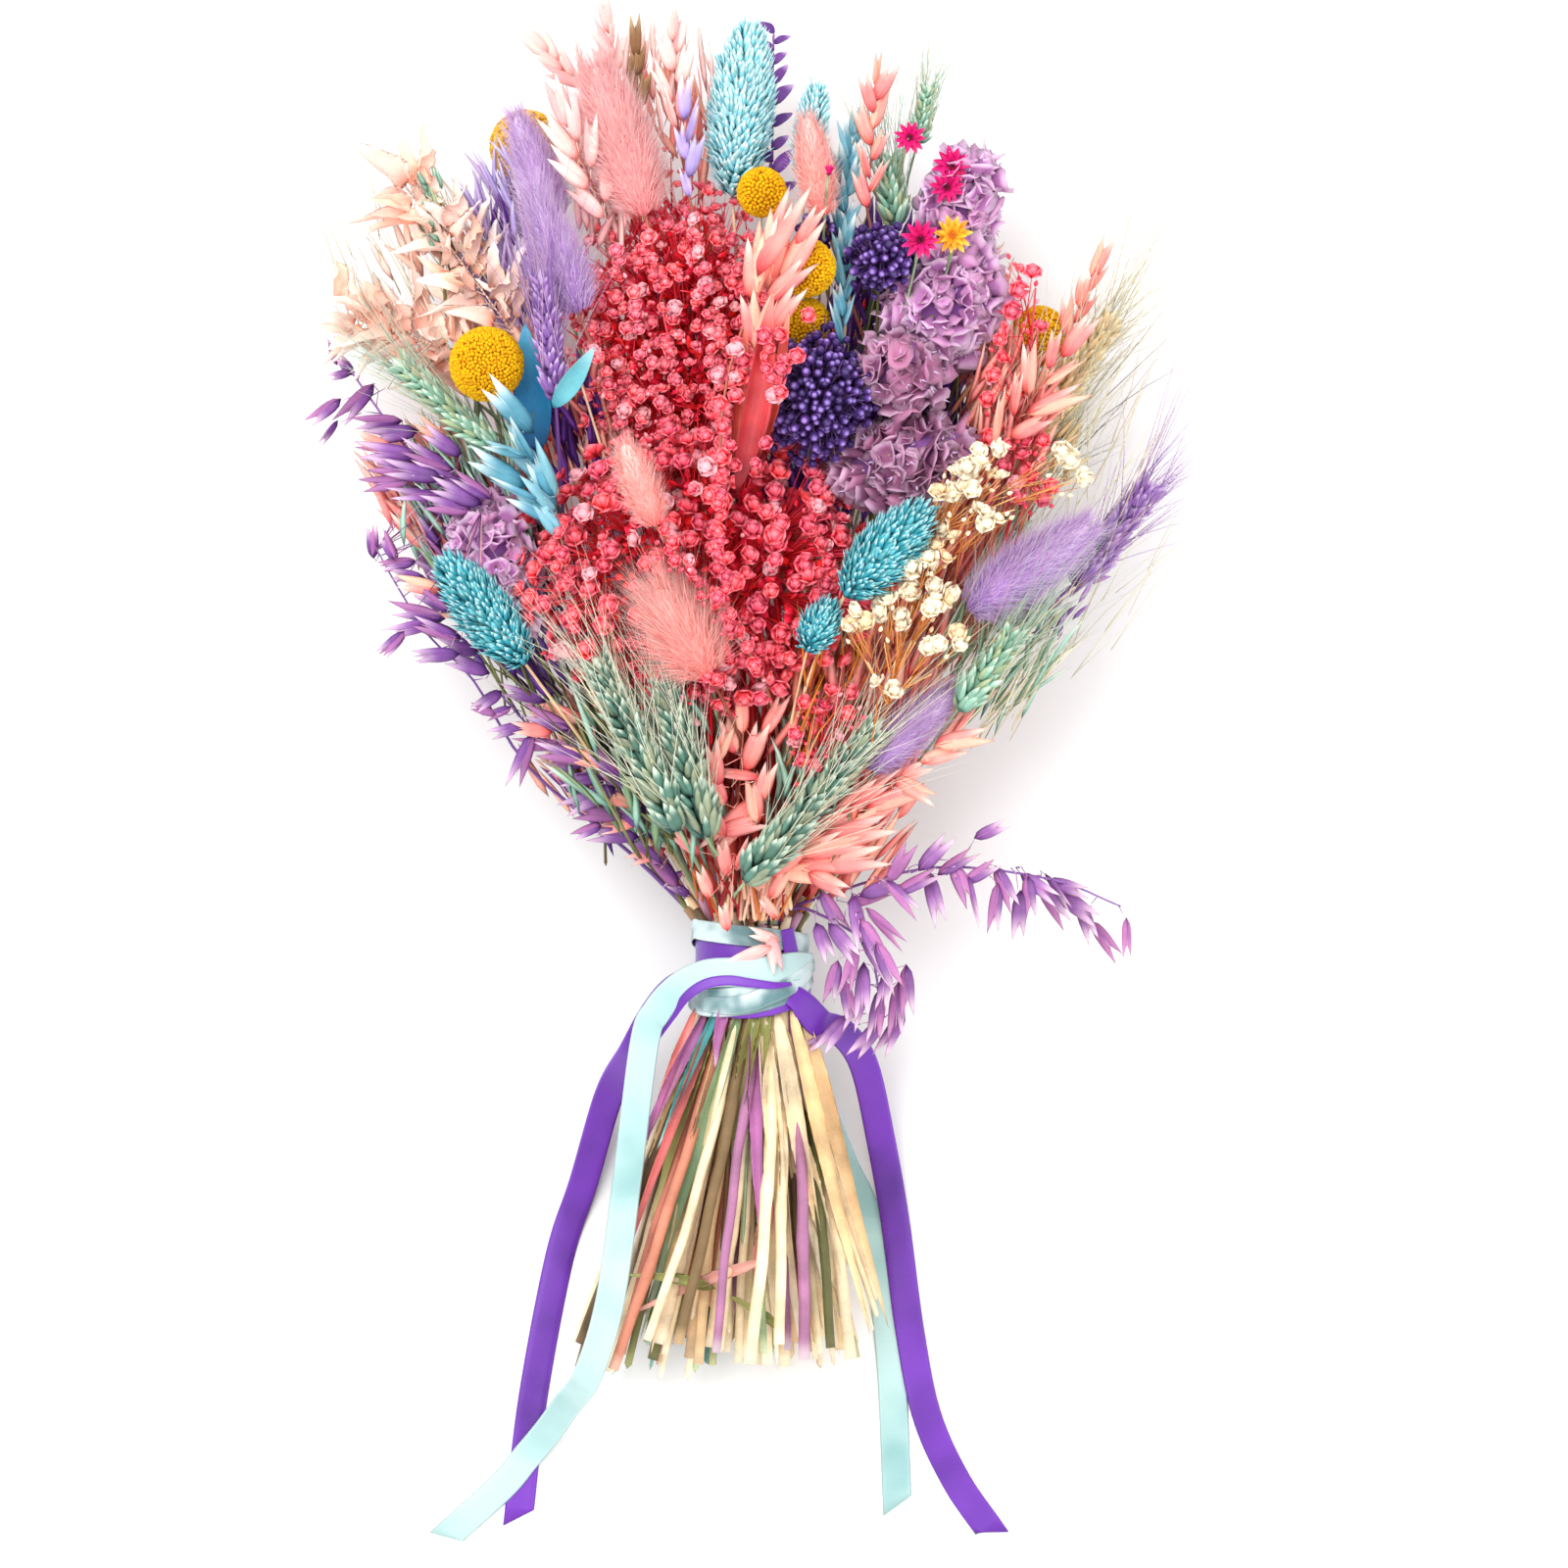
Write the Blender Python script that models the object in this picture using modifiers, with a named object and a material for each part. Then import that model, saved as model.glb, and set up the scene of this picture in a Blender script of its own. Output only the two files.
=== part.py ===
"""A hand-tied bouquet of dried and dyed flowers and grasses, lying on its back.

Each plant is one body, from its head down through the tie to its cut foot. Two ribbons wind round
the stems and trail over the table. Lengths are in millimetres from the middle of the tie until a
mesh is made. +Y runs to the heads, +X to the right and +Z up from the table.
"""

import math

import bmesh
import bpy
import numpy as np

MM = 0.001

# The tie and the stems
TIE_HEIGHT = 42.0
TIE_HALF = 17.0
RING_STEP = 4.8
RINGS = 4
STEM_FOOT = 2.3
STEM_LOW = 2.27
STEM_TIE = 2.05
STEM_MID = 1.15
STEM_NECK = 0.9
FOOT_Y = 165.0
FOOT_FAN = 2.1
FOOT_LIFT = 0.75
FOOT_DROP = 7.2
FOOT_SHIFT = 14.0
FOOT_TWIST = 0.3

# The dome that the heads fill
DOME_X = -5.0
DOME_Y = 185.0
DOME_WIDE = 178.0
DOME_LONG = 226.0
DOME_BASE = 42.0
DOME_RISE = 100.0
CONE_START = 66.0
CONE_SLOPE = 0.5

# How the stems spread just above the tie, and the air kept between plants
FLOW_X = 0.042
FLOW_Z = 0.018
FLOW_UP = 0.15
FLOW_MORE = 1.15
REACH_LEAST = 40.0
CLEAR = 0.45
REPEAT_CLEAR = 0.25
COPY_CLEAR = 0.05
DROP_STEP = 2.5
DROP_MOST = 60.0
SLOTS_TRIED = 12
TABLE = "table"

# What stands out of the heads
BERRY = 5.0
STATICE_RIM = 10.6
GYP_RIM = 10.8
SPRAY_RIM = 4.4
FUNNEL_ROOT = 1.0
HUSK_WIDE = 5.2
HUSK_THICK = 3.0
LEAF_WIDE = 13.0
LEAF_THICK = 1.8
STAR_SHARE = 0.86

# Forms whose stem runs on through the head, and its radius at their tip
STALKED = ("oats", "leaves", "sprig", "sprig_gyp")
STALK_TIP = 0.6

# Stems that fork inside the tie: how far back they start, and their radii there
FORK_BACK = 9.0
FORK_RADII = (1.2, 1.3)

# Ribbon
RIBBON_WIDE = 12.0
RIBBON_THICK = 0.6
TURN_OVER = 9.0
TURN_SHORT = 1.6
PURPLE_TURN_R = 22.2
AQUA_TURN_R = 23.9
AQUA_TURNS = 1.6
AQUA_PITCH = 12.6
AQUA_LOW = -14.5
KNOT = (5.0, -8.0, 68.0)
KNOT_SIZE = (25.0, 15.0, 5.6)
KNOT_TILT = 1.0

# Routes of the ribbon's loose tails, from the tie to their cut ends on the table
PURPLE_LEFT = ((-15.6, -16.4, 57.8), (-20, -19.5, 58.5), (-28, -23, 55), (-38, -27, 47), (-48, -34, 36),
               (-58, -52, 21), (-69, -89, 5), (-79, -120, 0.5), (-90, -178, 0.3), (-96, -228, 0.3))
PURPLE_RIGHT = ((15.6, -16.4, 57.8), (21, -19.5, 58.5), (29, -22, 54), (38, -26, 46), (47, -40, 32),
                (54, -71, 12), (60, -105, 2.4), (66, -150, 1.4), (73, -185, 1.2), (85, -212, 0.4),
                (100, -234, 0.3))
AQUA_LEFT = ((2, -8, 67.6), (-10, -8, 67), (-24, -9.5, 64), (-36, -17, 60), (-45, -38, 57),
             (-50, -85, 58), (-57, -135, 63), (-66, -165, 58), (-75, -179, 25), (-84, -192, 8),
             (-93, -203, 2.2), (-103, -215, 1.3), (-126, -236, 0.3))
AQUA_RIGHT = ((-3, -8.6, 18.1), (6, -14, 15.6), (15, -26, 11), (26, -50, 5), (38, -80, 1.4),
              (51, -110, 0.3), (58, -160, 0.3), (61, -223, 0.3))

DYES = {
    "coral": (0.92, 0.30, 0.42),
    "cream": (0.95, 0.89, 0.76),
    "lilac": (0.66, 0.58, 0.85),
    "soft_pink": (0.97, 0.66, 0.66),
    "aqua": (0.36, 0.79, 0.84),
    "yellow": (0.95, 0.76, 0.08),
    "indigo": (0.24, 0.17, 0.45),
    "lavender": (0.68, 0.50, 0.79),
    "peach": (0.97, 0.78, 0.68),
    "mint": (0.62, 0.80, 0.74),
    "purple": (0.46, 0.29, 0.65),
    "oat_pink": (0.96, 0.61, 0.59),
    "sky_blue": (0.45, 0.75, 0.85),
    "deep_blue": (0.10, 0.50, 0.72),
    "magenta": (0.84, 0.06, 0.42),
    "golden": (0.96, 0.66, 0.16),
    "beige": (0.84, 0.76, 0.62),
    "brown": (0.56, 0.44, 0.32),
    "satin_aqua": (0.76, 0.92, 0.92),
    "satin_purple": (0.42, 0.18, 0.66),
}

# One line a head: node, form, dye, spine from base to tip (x, y), width, thickness, and its depth
# behind the front of the dome, or TABLE for a head at the back that lies on the table. Heads with
# the same node share a foot. The front ones come first, and those behind settle under them.
HEADS = [
    ("back_bunny_tail_lilac", "tail", "lilac", ((-48, 150), (-62, 188)), 24, 22, TABLE),
    ("back_canary_grass", "canary", "aqua", ((20, 170), (28, 220)), 26, 24, TABLE),
    ("back_globe_flower", "ball", "yellow", ((64, 128), (75, 151)), 26, 26, TABLE),
    ("back_statice", "statice", "lavender", ((-18, 248), (-24, 298)), 46, 22, TABLE),
    ("back_babys_breath_coral", "gyp", "coral", ((52, 236), (66, 290)), 46, 20, TABLE),
    ("back_pink_oats", "oats", "oat_pink", ((-78, 196), (-98, 262)), 24, 10, TABLE),
    ("back_wheat_mint", "wheat", "mint", ((98, 172), (128, 226)), 12, 11, TABLE),
    ("purple_oats_hanging", "oats", "purple", ((26, 24), (44, 18), (52, 0), (54, -24)), 24, 8, 2),
    ("purple_oats_arching", "oats", "purple", ((24, 28), (62, 42), (110, 42), (157, 24)), 24, 8, 12),
    ("pink_oats_lower_right", "oats", "oat_pink", ((20, 38), (62, 74)), 30, 12, 8),
    ("pink_oats_lower_right", "oats", "oat_pink", ((74, 86), (92, 94)), 10, 8, 8),
    ("wheat_mint_right", "wheat", "mint", ((-2, 36), (55, 103)), 12, 11, 0),
    ("pink_oats_lower_middle", "oats", "oat_pink", ((-6, 48), (-2, 104)), 22, 12, 8),
    ("wheat_mint_middle", "wheat", "mint", ((-17, 54), (-36, 123)), 12, 11, 0),
    ("wheat_mint_left", "wheat", "mint", ((-28, 57), (-64, 130)), 12, 11, 0),
    ("babys_breath_coral_lower", "gyp", "coral", ((-18, 112), (-22, 214)), 128, 36, 2),
    ("babys_breath_coral_lower", "sprig_gyp", "coral", ((24, 78), (38, 116)), 28, 14, 4),
    ("bunny_tail_pink_lower", "tail", "soft_pink", ((-16, 120), (-37, 154)), 28, 26, -4),
    ("canary_grass_centre", "canary", "aqua", ((38, 151), (70, 186)), 26, 24, -4),
    ("canary_grass_centre", "canary", "aqua", ((23, 129), (32, 147)), 16, 14, 10),
    ("bunny_tails_lilac_right", "tail", "lilac", ((48, 82), (82, 114)), 19, 18, 0),
    ("bunny_tails_lilac_right", "tail", "lilac", ((88, 146), (137, 180)), 25, 24, 0),
    ("golden_flower", "star", "golden", ((80, 284), (82, 298)), 14, 12, 2),
    ("babys_breath_cream", "sprig_gyp", "cream", ((56, 108), (80, 206)), 50, 18, 2),
    ("bunny_tail_pink_centre", "tail", "soft_pink", ((-37, 179), (-50, 212)), 16, 16, -12),
    ("canary_grass_left", "canary", "aqua", ((-90, 124), (-122, 165)), 25, 24, 0),
    ("bunny_tail_pink_plume", "tail", "soft_pink", ((-42, 306), (-62, 366)), 29, 26, 0),
    ("berries_centre", "berries", "indigo", ((24, 208), (30, 256)), 45, 34, 4),
    ("pink_oats_tall", "oats", "oat_pink", ((-12, 196), (-8, 245), (19, 316)), 14, 9, -2),
    ("babys_breath_coral_upper", "gyp", "coral", ((-20, 196), (-30, 312)), 86, 34, 4),
    ("globe_flowers_middle", "ball", "yellow", ((22, 273), (24, 295)), 22.4, 22.4, 8),
    ("globe_flowers_middle", "ball", "yellow", ((21, 252), (23, 272)), 20, 20, 12),
    ("globe_flowers_middle", "ball", "yellow", ((5, 306), (5, 324)), 18, 18, 12),
    ("wheat_purple_left", "wheat", "purple", ((-78, 230), (-84, 284)), 11, 10, 6),
    ("globe_flower_left", "ball", "yellow", ((-100, 232), (-112, 259)), 29.6, 29.6, 0),
    ("statice_left", "statice", "lavender", ((-98, 138), (-110, 193)), 34, 24, 6),
    ("statice_lower", "statice", "lavender", ((34, 198), (92, 214)), 34, 24, 8),
    ("statice_lower", "statice", "lavender", ((54, 228), (66, 254)), 34, 24, 6),
    ("deep_blue_leaf", "leaf", "deep_blue", ((-86, 212), (-91, 262)), 15, 2.4, 12),
    ("statice_right", "statice", "lavender", ((72, 246), (84, 296)), 48, 26, 6),
    ("statice_right", "statice", "lavender", ((84, 290), (88, 334)), 30, 22, 8),
    ("blue_oats_left", "oats", "sky_blue", ((-76, 176), (-103, 234)), 20, 10, 2),
    ("blue_oats_left", "leaf", "sky_blue", ((-66, 232), (-75, 247)), 6, 2, 2),
    ("bunny_tails_lilac_left", "tail", "lilac", ((-69, 266), (-88, 316)), 25, 24, 0),
    ("bunny_tails_lilac_left", "tail", "lilac", ((-79, 306), (-95, 348)), 22, 20, 6),
    ("pink_oats_pale", "oats", "oat_pink", ((-56, 302), (-72, 338)), 20, 9, 12),
    ("pink_oats_top", "oats", "oat_pink", ((-28, 336), (-31, 374)), 13, 9, 8),
    ("pink_oats_top", "oats", "oat_pink", ((-52, 360), (-57, 381)), 9, 7, 8),
    ("pink_oats_top", "oats", "oat_pink", ((-68, 360), (-82, 372)), 9, 7, 8),
    ("wheat_teal_right", "wheat", "mint", ((84, 106), (109, 140)), 13, 11, 10),
    ("babys_breath_pink_right", "sprig_gyp", "coral", ((110, 198), (116, 280)), 22, 12, 10),
    ("lilac_oat", "oats", "lilac", ((-24, 312), (-26, 344)), 9, 7, 8),
    ("brown_seed_head", "oats", "brown", ((-44, 342), (-46, 371)), 9, 7, 10),
    ("globe_flower_upper", "ball", "yellow", ((-87, 323), (-96, 351)), 29.6, 29.6, 8),
    ("canary_grass_top", "canary", "aqua", ((-7, 314), (0, 382)), 30, 28, 0),
    ("canary_grass_top", "canary", "aqua", ((22, 318), (27, 358)), 15, 15, 16),
    ("blue_oats_tall", "oats", "sky_blue", ((38, 251), (38, 300), (42, 342)), 10, 7, 0),
    ("star_flowers_magenta", "star", "magenta", ((62, 328), (65, 338)), 12, 12, 2),
    ("star_flowers_magenta", "star", "magenta", ((80, 317), (82, 327)), 14, 14, 2),
    ("star_flowers_magenta", "star", "magenta", ((79, 308), (80, 318)), 13, 13, 4),
    ("star_flowers_magenta", "star", "magenta", ((67, 286), (69, 296)), 14, 14, 0),
    ("star_flowers_magenta", "star", "magenta", ((31, 312), (32, 321)), 8, 8, 2),
    ("berries_upper", "berries", "indigo", ((52, 276), (54, 300)), 25, 22, 6),
    ("berries_upper", "berries", "indigo", ((27, 293), (28, 307)), 14, 14, 10),
    ("bunny_tail_pink_right", "tail", "soft_pink", ((30, 305), (23, 345)), 17, 16, 4),
    ("purple_leafy_sprig", "sprig", "purple", ((10, 304), (9, 345), (10, 386)), 22, 8, 2),
    ("pink_oats_right", "oats", "oat_pink", ((98, 208), (124, 246)), 22, 10, 4),
    ("pink_oats_right", "oats", "oat_pink", ((129, 256), (139, 282)), 10, 8, 4),
    ("globe_flower_right", "ball", "yellow", ((113, 247), (122, 269)), 22.4, 22.4, 2),
    ("purple_oats_lower_left", "oats", "purple", ((-28, 32), (-60, 66), (-106, 118)), 26, 10, 18),
    ("wheat_green_upper", "wheat", "mint", ((59, 302), (56, 332)), 12, 10, 6),
    ("wheat_green_upper", "wheat", "mint", ((68, 336), (73, 360)), 8, 7, 6),
    ("pink_oats_upper_right", "oats", "oat_pink", ((48, 308), (51, 360)), 12, 8, 6),
    ("rye_beige_right", "wheat", "beige", ((109, 210), (150, 269)), 13, 10, 6),
    ("wheat_purple_right", "wheat", "purple", ((132, 157), (166, 200)), 14, 11, 8),
    ("purple_oats_left", "oats", "purple", ((-108, 186), (-138, 210), (-168, 252)), 34, 12, 10),
    ("purple_oats_left", "oats", "purple", ((-112, 118), (-134, 140), (-154, 176)), 26, 12, 14),
    ("wheat_green_left", "wheat", "mint", ((-103, 212), (-145, 249)), 12, 11, 12),
    ("peach_leaves", "leaves", "peach", ((-95, 258), (-142, 322)), 62, 24, 4),
    ("peach_leaves", "leaves", "peach", ((-104, 246), (-166, 268)), 50, 20, 6),
]

# Share of a head's width and thickness that is solid, where its repeats stand out of a core
CORE_SHARE = {
    "tail": (1.0, 1.0),
    "canary": (1.0, 1.0),
    "ball": (1.0, 1.0),
    "wheat": (1.0, 1.0),
    "berries": (0.8, 0.8),
    "statice": (0.62, 0.62),
    "gyp": (0.7, 0.4),
    "sprig_gyp": (0.1, 0.25),
    "oats": (0.14, 0.3),
    "leaves": (0.06, 0.2),
    "leaf": (1.0, 1.0),
    "star": (0.8, 0.8),
    "sprig": (0.14, 0.4),
}


def unit(v):
    return v / max(np.linalg.norm(v), 1e-9)


def ring_slots():
    """Places of the stems in the tie, as (x, z): one in the middle and rings of six more each."""
    slots = [(0.0, 0.0)]
    for ring in range(1, RINGS + 1):
        for k in range(6 * ring):
            turn = math.tau * (k + 0.5 * (ring % 2)) / (6 * ring)
            slots.append((ring * RING_STEP * math.cos(turn), ring * RING_STEP * math.sin(turn)))
    return np.array(slots)


def front_height(x, y):
    """Height of the bouquet's front over the table: an ellipsoid, cut by a cone from the tie."""
    e = 1 - ((x - DOME_X) / DOME_WIDE) ** 2 - ((y - DOME_Y) / DOME_LONG) ** 2
    dome = DOME_BASE + DOME_RISE * math.sqrt(max(e, 0.0))
    return min(dome, CONE_START + CONE_SLOPE * math.hypot(x, y))


def raised_spine(head, drop):
    """The head's spine in space: under the dome's front by its depth, or on the table."""
    thick, depth = head[5], head[6]
    if depth == TABLE:
        return np.array([(x, y, thick / 2 - 0.7) for x, y in head[3]], float)
    high = [front_height(x, y) - depth - thick / 2 for x, y in head[3]]
    if len(high) == 2:
        high = [sum(high) / 2 - 2, sum(high) / 2 + 2]
    low = thick / 2 + 1.0
    return np.array([(x, y, max(z - drop, low)) for (x, y), z in zip(head[3], high)], float)


def along(points, shares):
    """Points at the given shares of a polyline's length, and its directions there."""
    steps = np.linalg.norm(np.diff(points, axis=0), axis=1)
    at = np.concatenate([[0], np.cumsum(steps)]) / steps.sum()
    shares = np.asarray(shares, float)
    out = np.stack([np.interp(shares, at, points[:, k]) for k in range(3)], axis=-1)
    near = 0.12
    ahead = np.stack([np.interp(shares + near, at, points[:, k]) for k in range(3)], axis=-1)
    back = np.stack([np.interp(shares - near, at, points[:, k]) for k in range(3)], axis=-1)
    way = ahead - back
    return out, way / np.linalg.norm(way, axis=-1, keepdims=True)


def cross_frame(way):
    """Side and up vectors square to a direction."""
    side = unit(np.cross(way, (0.0, 0.0, 1.0)))
    return side, unit(np.cross(side, way))


def rolled(side, up, roll):
    """A side and up pair turned about the direction that they are square to."""
    cos, sin = math.cos(roll), math.sin(roll)
    return side * cos + up * sin, up * cos - side * sin


def head_capsules(head, spine):
    """Capsules (a, b, radius at a, radius at b) that hold a head's solid core."""
    share_w, share_t = CORE_SHARE[head[1]]
    wide, thick = head[4] * share_w, head[5] * share_t
    radius = min(wide, thick) / 2
    half = max(wide, thick) / 2 - radius
    lines = max(1, math.ceil(2 * half / max(radius * 1.5, 0.5)) + 1) if half > 0.5 else 1
    out = []
    for u in np.linspace(-1, 1, lines) if lines > 1 else (0.0,):
        inset = 0.5 - 0.5 * math.sqrt(max(1 - (u * half / (half + radius)) ** 2, 0.0))
        ends = radius / max(np.linalg.norm(spine[-1] - spine[0]), 1.0) * 0.8
        ends = min(ends + inset, 0.45)
        points, ways = along(spine, (ends, 0.5, 1 - ends))
        side, _ = cross_frame(ways[1])
        points = points + side * u * half
        thin = 0.8 if head[1] in ("tail", "canary", "wheat") else 1.0
        out.append((*points[0], *points[1], radius * thin, radius))
        out.append((*points[1], *points[2], radius, radius * thin))
    return np.array(out)


def stem_route(slot, spine, bow):
    """A stem's route from the top of the tie to its head: a cubic curve that leaves the tie with the
    fan of its neighbours and meets the head along the head's own line. bow bends it aside."""
    start = np.array([slot[0], TIE_HALF, TIE_HEIGHT + slot[1]])
    flow = unit(np.array([slot[0] * FLOW_X, 1.0, FLOW_UP + slot[1] * FLOW_Z]))
    end = spine[0]
    reach = np.linalg.norm(end - start)
    aim = unit(spine[1] - spine[0])
    aside = np.array([bow[0], 0.0, bow[1]]) * reach
    one = start + flow * reach * 0.33
    two = end - aim * reach * 0.3 + aside
    t = np.array([0.0, 0.28, 0.62, 1.0])[:, None]
    curve = (1 - t) ** 3 * start + 3 * t * (1 - t) ** 2 * one + 3 * t * t * (1 - t) * two + t ** 3 * end
    return curve


def route_radii(count):
    return np.interp(np.linspace(0, 1, count), (0, 0.25, 1), (STEM_TIE, STEM_MID, STEM_NECK))


def stem_capsules(route):
    radii = route_radii(len(route))
    rows = [(*route[k], *route[k + 1], radii[k], radii[k + 1]) for k in range(len(route) - 1)]
    return np.array(rows)


def gaps(first, second):
    """Gap between every capsule of one set and every one of another, negative where they cross."""
    a1, b1, a2, b2 = first[:, None, 0:3], first[:, None, 3:6], second[None, :, 0:3], second[None, :, 3:6]
    d1, d2, r = b1 - a1, b2 - a2, a1 - a2
    a = (d1 * d1).sum(-1) + 1e-9
    e = (d2 * d2).sum(-1) + 1e-9
    b, c, f = (d1 * d2).sum(-1), (d1 * r).sum(-1), (d2 * r).sum(-1)
    s = np.clip((b * f - c * e) / np.maximum(a * e - b * b, 1e-9), 0, 1)
    t = np.clip((b * s + f) / e, 0, 1)
    s = np.clip((b * t - c) / a, 0, 1)
    apart = np.linalg.norm(r + s[..., None] * d1 - t[..., None] * d2, axis=-1)
    thick1 = first[:, None, 6] * (1 - s) + first[:, None, 7] * s
    thick2 = second[None, :, 6] * (1 - t) + second[None, :, 7] * t
    return apart - thick1 - thick2


class Space:
    """What is already taken by the plants, as capsules with their node's name."""

    def __init__(self):
        self.rows = np.zeros((0, 8))
        self.nodes = np.zeros(0, object)

    def add(self, node, capsules):
        self.rows = np.vstack([self.rows, capsules])
        self.nodes = np.append(self.nodes, np.array([node] * len(capsules), object))

    def gap(self, node, capsules):
        others = self.rows[self.nodes != node]
        if not len(others):
            return 1e3
        return float(gaps(np.atleast_2d(capsules), others).min())


def best_slots(slots, free, spine):
    """Free places in the tie, the one that best suits the way to the head first."""
    reach = max(spine[0][1], REACH_LEAST)
    want = np.array([
        spine[0][0] / reach / FLOW_X,
        ((spine[0][2] - TIE_HEIGHT) / reach - FLOW_UP) / FLOW_Z,
    ]) / FLOW_MORE
    limit = RINGS * RING_STEP
    want *= min(1.0, limit / max(np.linalg.norm(want), 1e-6))
    order = np.argsort(((slots[free] - want) ** 2).sum(axis=1))
    return [free[k] for k in order[:SLOTS_TRIED]]


WAYS = [(1, 0), (-1, 0), (0, 1), (0, -1)]
CORNERS = [(0.14, 0.14), (-0.14, 0.14), (0.14, -0.14), (-0.14, -0.14)]
BOWS = [(0, 0)] + [(a * s, b * s) for s in (0.1, 0.2) for a, b in WAYS] + CORNERS


def settle(heads):
    """Seats every head: it starts at the front and drops until it and its stem clear the others.
    Returns a place in the tie for each node, a spine and a stem's route for each head, and the space
    that they take."""
    slots, space = ring_slots(), Space()
    free = list(range(len(slots)))
    taken, seats = {}, []
    for head in heads:
        node, best = head[0], None
        drops = (0.0,) if head[6] == TABLE else np.arange(0, DROP_MOST, DROP_STEP)
        for drop in drops:
            spine = raised_spine(head, drop)
            body = head_capsules(head, spine)
            room = space.gap(node, body)
            choices = [taken[node]] if node in taken else best_slots(slots, free, spine)
            if best and room < min(best[0], CLEAR):
                continue
            for slot in choices:
                for bow in BOWS:
                    route = stem_route(slots[slot], spine, bow)
                    gap = min(room, space.gap(node, stem_capsules(route)))
                    if best is None or gap > best[0]:
                        best = (gap, slot, spine, route, body)
                    if best[0] >= CLEAR:
                        break
                if best[0] >= CLEAR:
                    break
            if best[0] >= CLEAR:
                break
        _, slot, spine, route, body = best
        if node not in taken:
            taken[node] = slot
            free.remove(slot)
        space.add(node, np.vstack([stem_capsules(route), body]))
        seats.append((spine, route))
    return {node: slots[slot] for node, slot in taken.items()}, seats, space


# Meshes

def srgb(colour):
    """Linear values of a colour given as it is seen."""
    return [c / 12.92 if c <= 0.04045 else ((c + 0.055) / 1.055) ** 2.4 for c in colour]


def dye_material(name):
    material = bpy.data.materials.new(name)
    material.use_nodes = True
    shader = material.node_tree.nodes["Principled BSDF"]
    shader.inputs["Base Color"].default_value = (*srgb(DYES[name]), 1.0)
    shader.inputs["Roughness"].default_value = 0.35 if name.startswith("satin") else 0.85
    shader.inputs["Metallic"].default_value = 0.0
    return material


def as_object(bm, name, collection):
    mesh = bpy.data.meshes.new(name)
    bm.to_mesh(mesh)
    bm.free()
    piece = bpy.data.objects.new(name, mesh)
    collection.objects.link(piece)
    return piece


def bulge(collection, spine, wide, thick, sides, rings, fullness, relief=0.0, roll=0.0):
    """A sphere drawn out along a spine. fullness gives its share of the full girth at a share of
    its length, relief raises every other vertex, and roll turns its width about the spine."""
    bm = bmesh.new()
    bmesh.ops.create_uvsphere(bm, u_segments=sides, v_segments=rings, radius=1.0)
    for vertex in bm.verts:
        x, y, z = vertex.co
        share = math.acos(max(-1.0, min(1.0, -z))) / math.pi
        turn = math.atan2(y, x)
        ring, place = round(share * rings), round(turn / math.tau * sides)
        girth = fullness(share) * (1 + relief * (1 if (ring + place) % 2 else -1))
        if not 0.001 < share < 0.999:
            girth = 0.0
        centre, way = along(spine, share)
        side, up = rolled(*cross_frame(way), roll)
        across = up * math.cos(turn) * thick / 2 + side * math.sin(turn) * wide / 2
        vertex.co = (centre + across * girth) * MM
    return as_object(bm, "bulge", collection)


def trumpet(collection, root, rim, narrow, broad, sides, wave=0.0):
    """A cone that opens outward from its root, with every other point of its rim pulled in."""
    root, rim = np.asarray(root, float), np.asarray(rim, float)
    way = unit(rim - root)
    side, up = cross_frame(way if abs(way[2]) < 0.99 else unit(way + (0.05, 0.05, 0)))
    bm = bmesh.new()
    bmesh.ops.create_cone(bm, cap_ends=True, segments=sides, radius1=narrow, radius2=broad,
                          depth=float(np.linalg.norm(rim - root)))
    for vertex in bm.verts:
        x, y, z = vertex.co
        place = round(math.atan2(y, x) / math.tau * sides)
        pull = 1 - wave if z > 0 and place % 2 else 1.0
        middle = (root + rim) / 2
        vertex.co = (middle + up * x * pull + side * y * pull + way * z) * MM
    return as_object(bm, "trumpet", collection)


def tube(collection, points, radii, tilt=0.0):
    """A four-sided tube along a polyline, from a curve with a bevel and filled caps. tilt turns it
    about its own line."""
    curve = bpy.data.curves.new("tube", "CURVE")
    curve.dimensions = "3D"
    curve.bevel_depth = MM
    curve.bevel_resolution = 0
    curve.use_fill_caps = True
    spline = curve.splines.new("POLY")
    spline.points.add(len(points) - 1)
    for point, at, radius in zip(spline.points, points, radii):
        point.co = (*(np.asarray(at) * MM), 1.0)
        point.radius = radius
        point.tilt = tilt
    holder = bpy.data.objects.new("tube", curve)
    collection.objects.link(holder)
    mesh = bpy.data.meshes.new_from_object(holder.evaluated_get(bpy.context.evaluated_depsgraph_get()))
    bpy.data.objects.remove(holder)
    bpy.data.curves.remove(curve)
    bm = bmesh.new()
    bm.from_mesh(mesh)
    bpy.data.meshes.remove(mesh)
    bmesh.ops.remove_doubles(bm, verts=bm.verts, dist=1e-6)
    bmesh.ops.recalc_face_normals(bm, faces=bm.faces)
    return as_object(bm, "tube", collection)


def keep_largest(bm):
    """Keeps the largest closed body: it drops loose scraps and fills sealed hollows."""
    left, bodies = set(bm.verts), []
    while left:
        todo = [left.pop()]
        body = set(todo)
        while todo:
            vertex = todo.pop()
            near = {edge.other_vert(vertex) for edge in vertex.link_edges} - body
            body |= near
            todo.extend(near)
        left -= body
        bodies.append(body)
    bodies.sort(key=lambda body: -sum(f.calc_area() for f in {f for v in body for f in v.link_faces}))
    bmesh.ops.delete(bm, geom=[v for body in bodies[1:] for v in body], context="VERTS")


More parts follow.
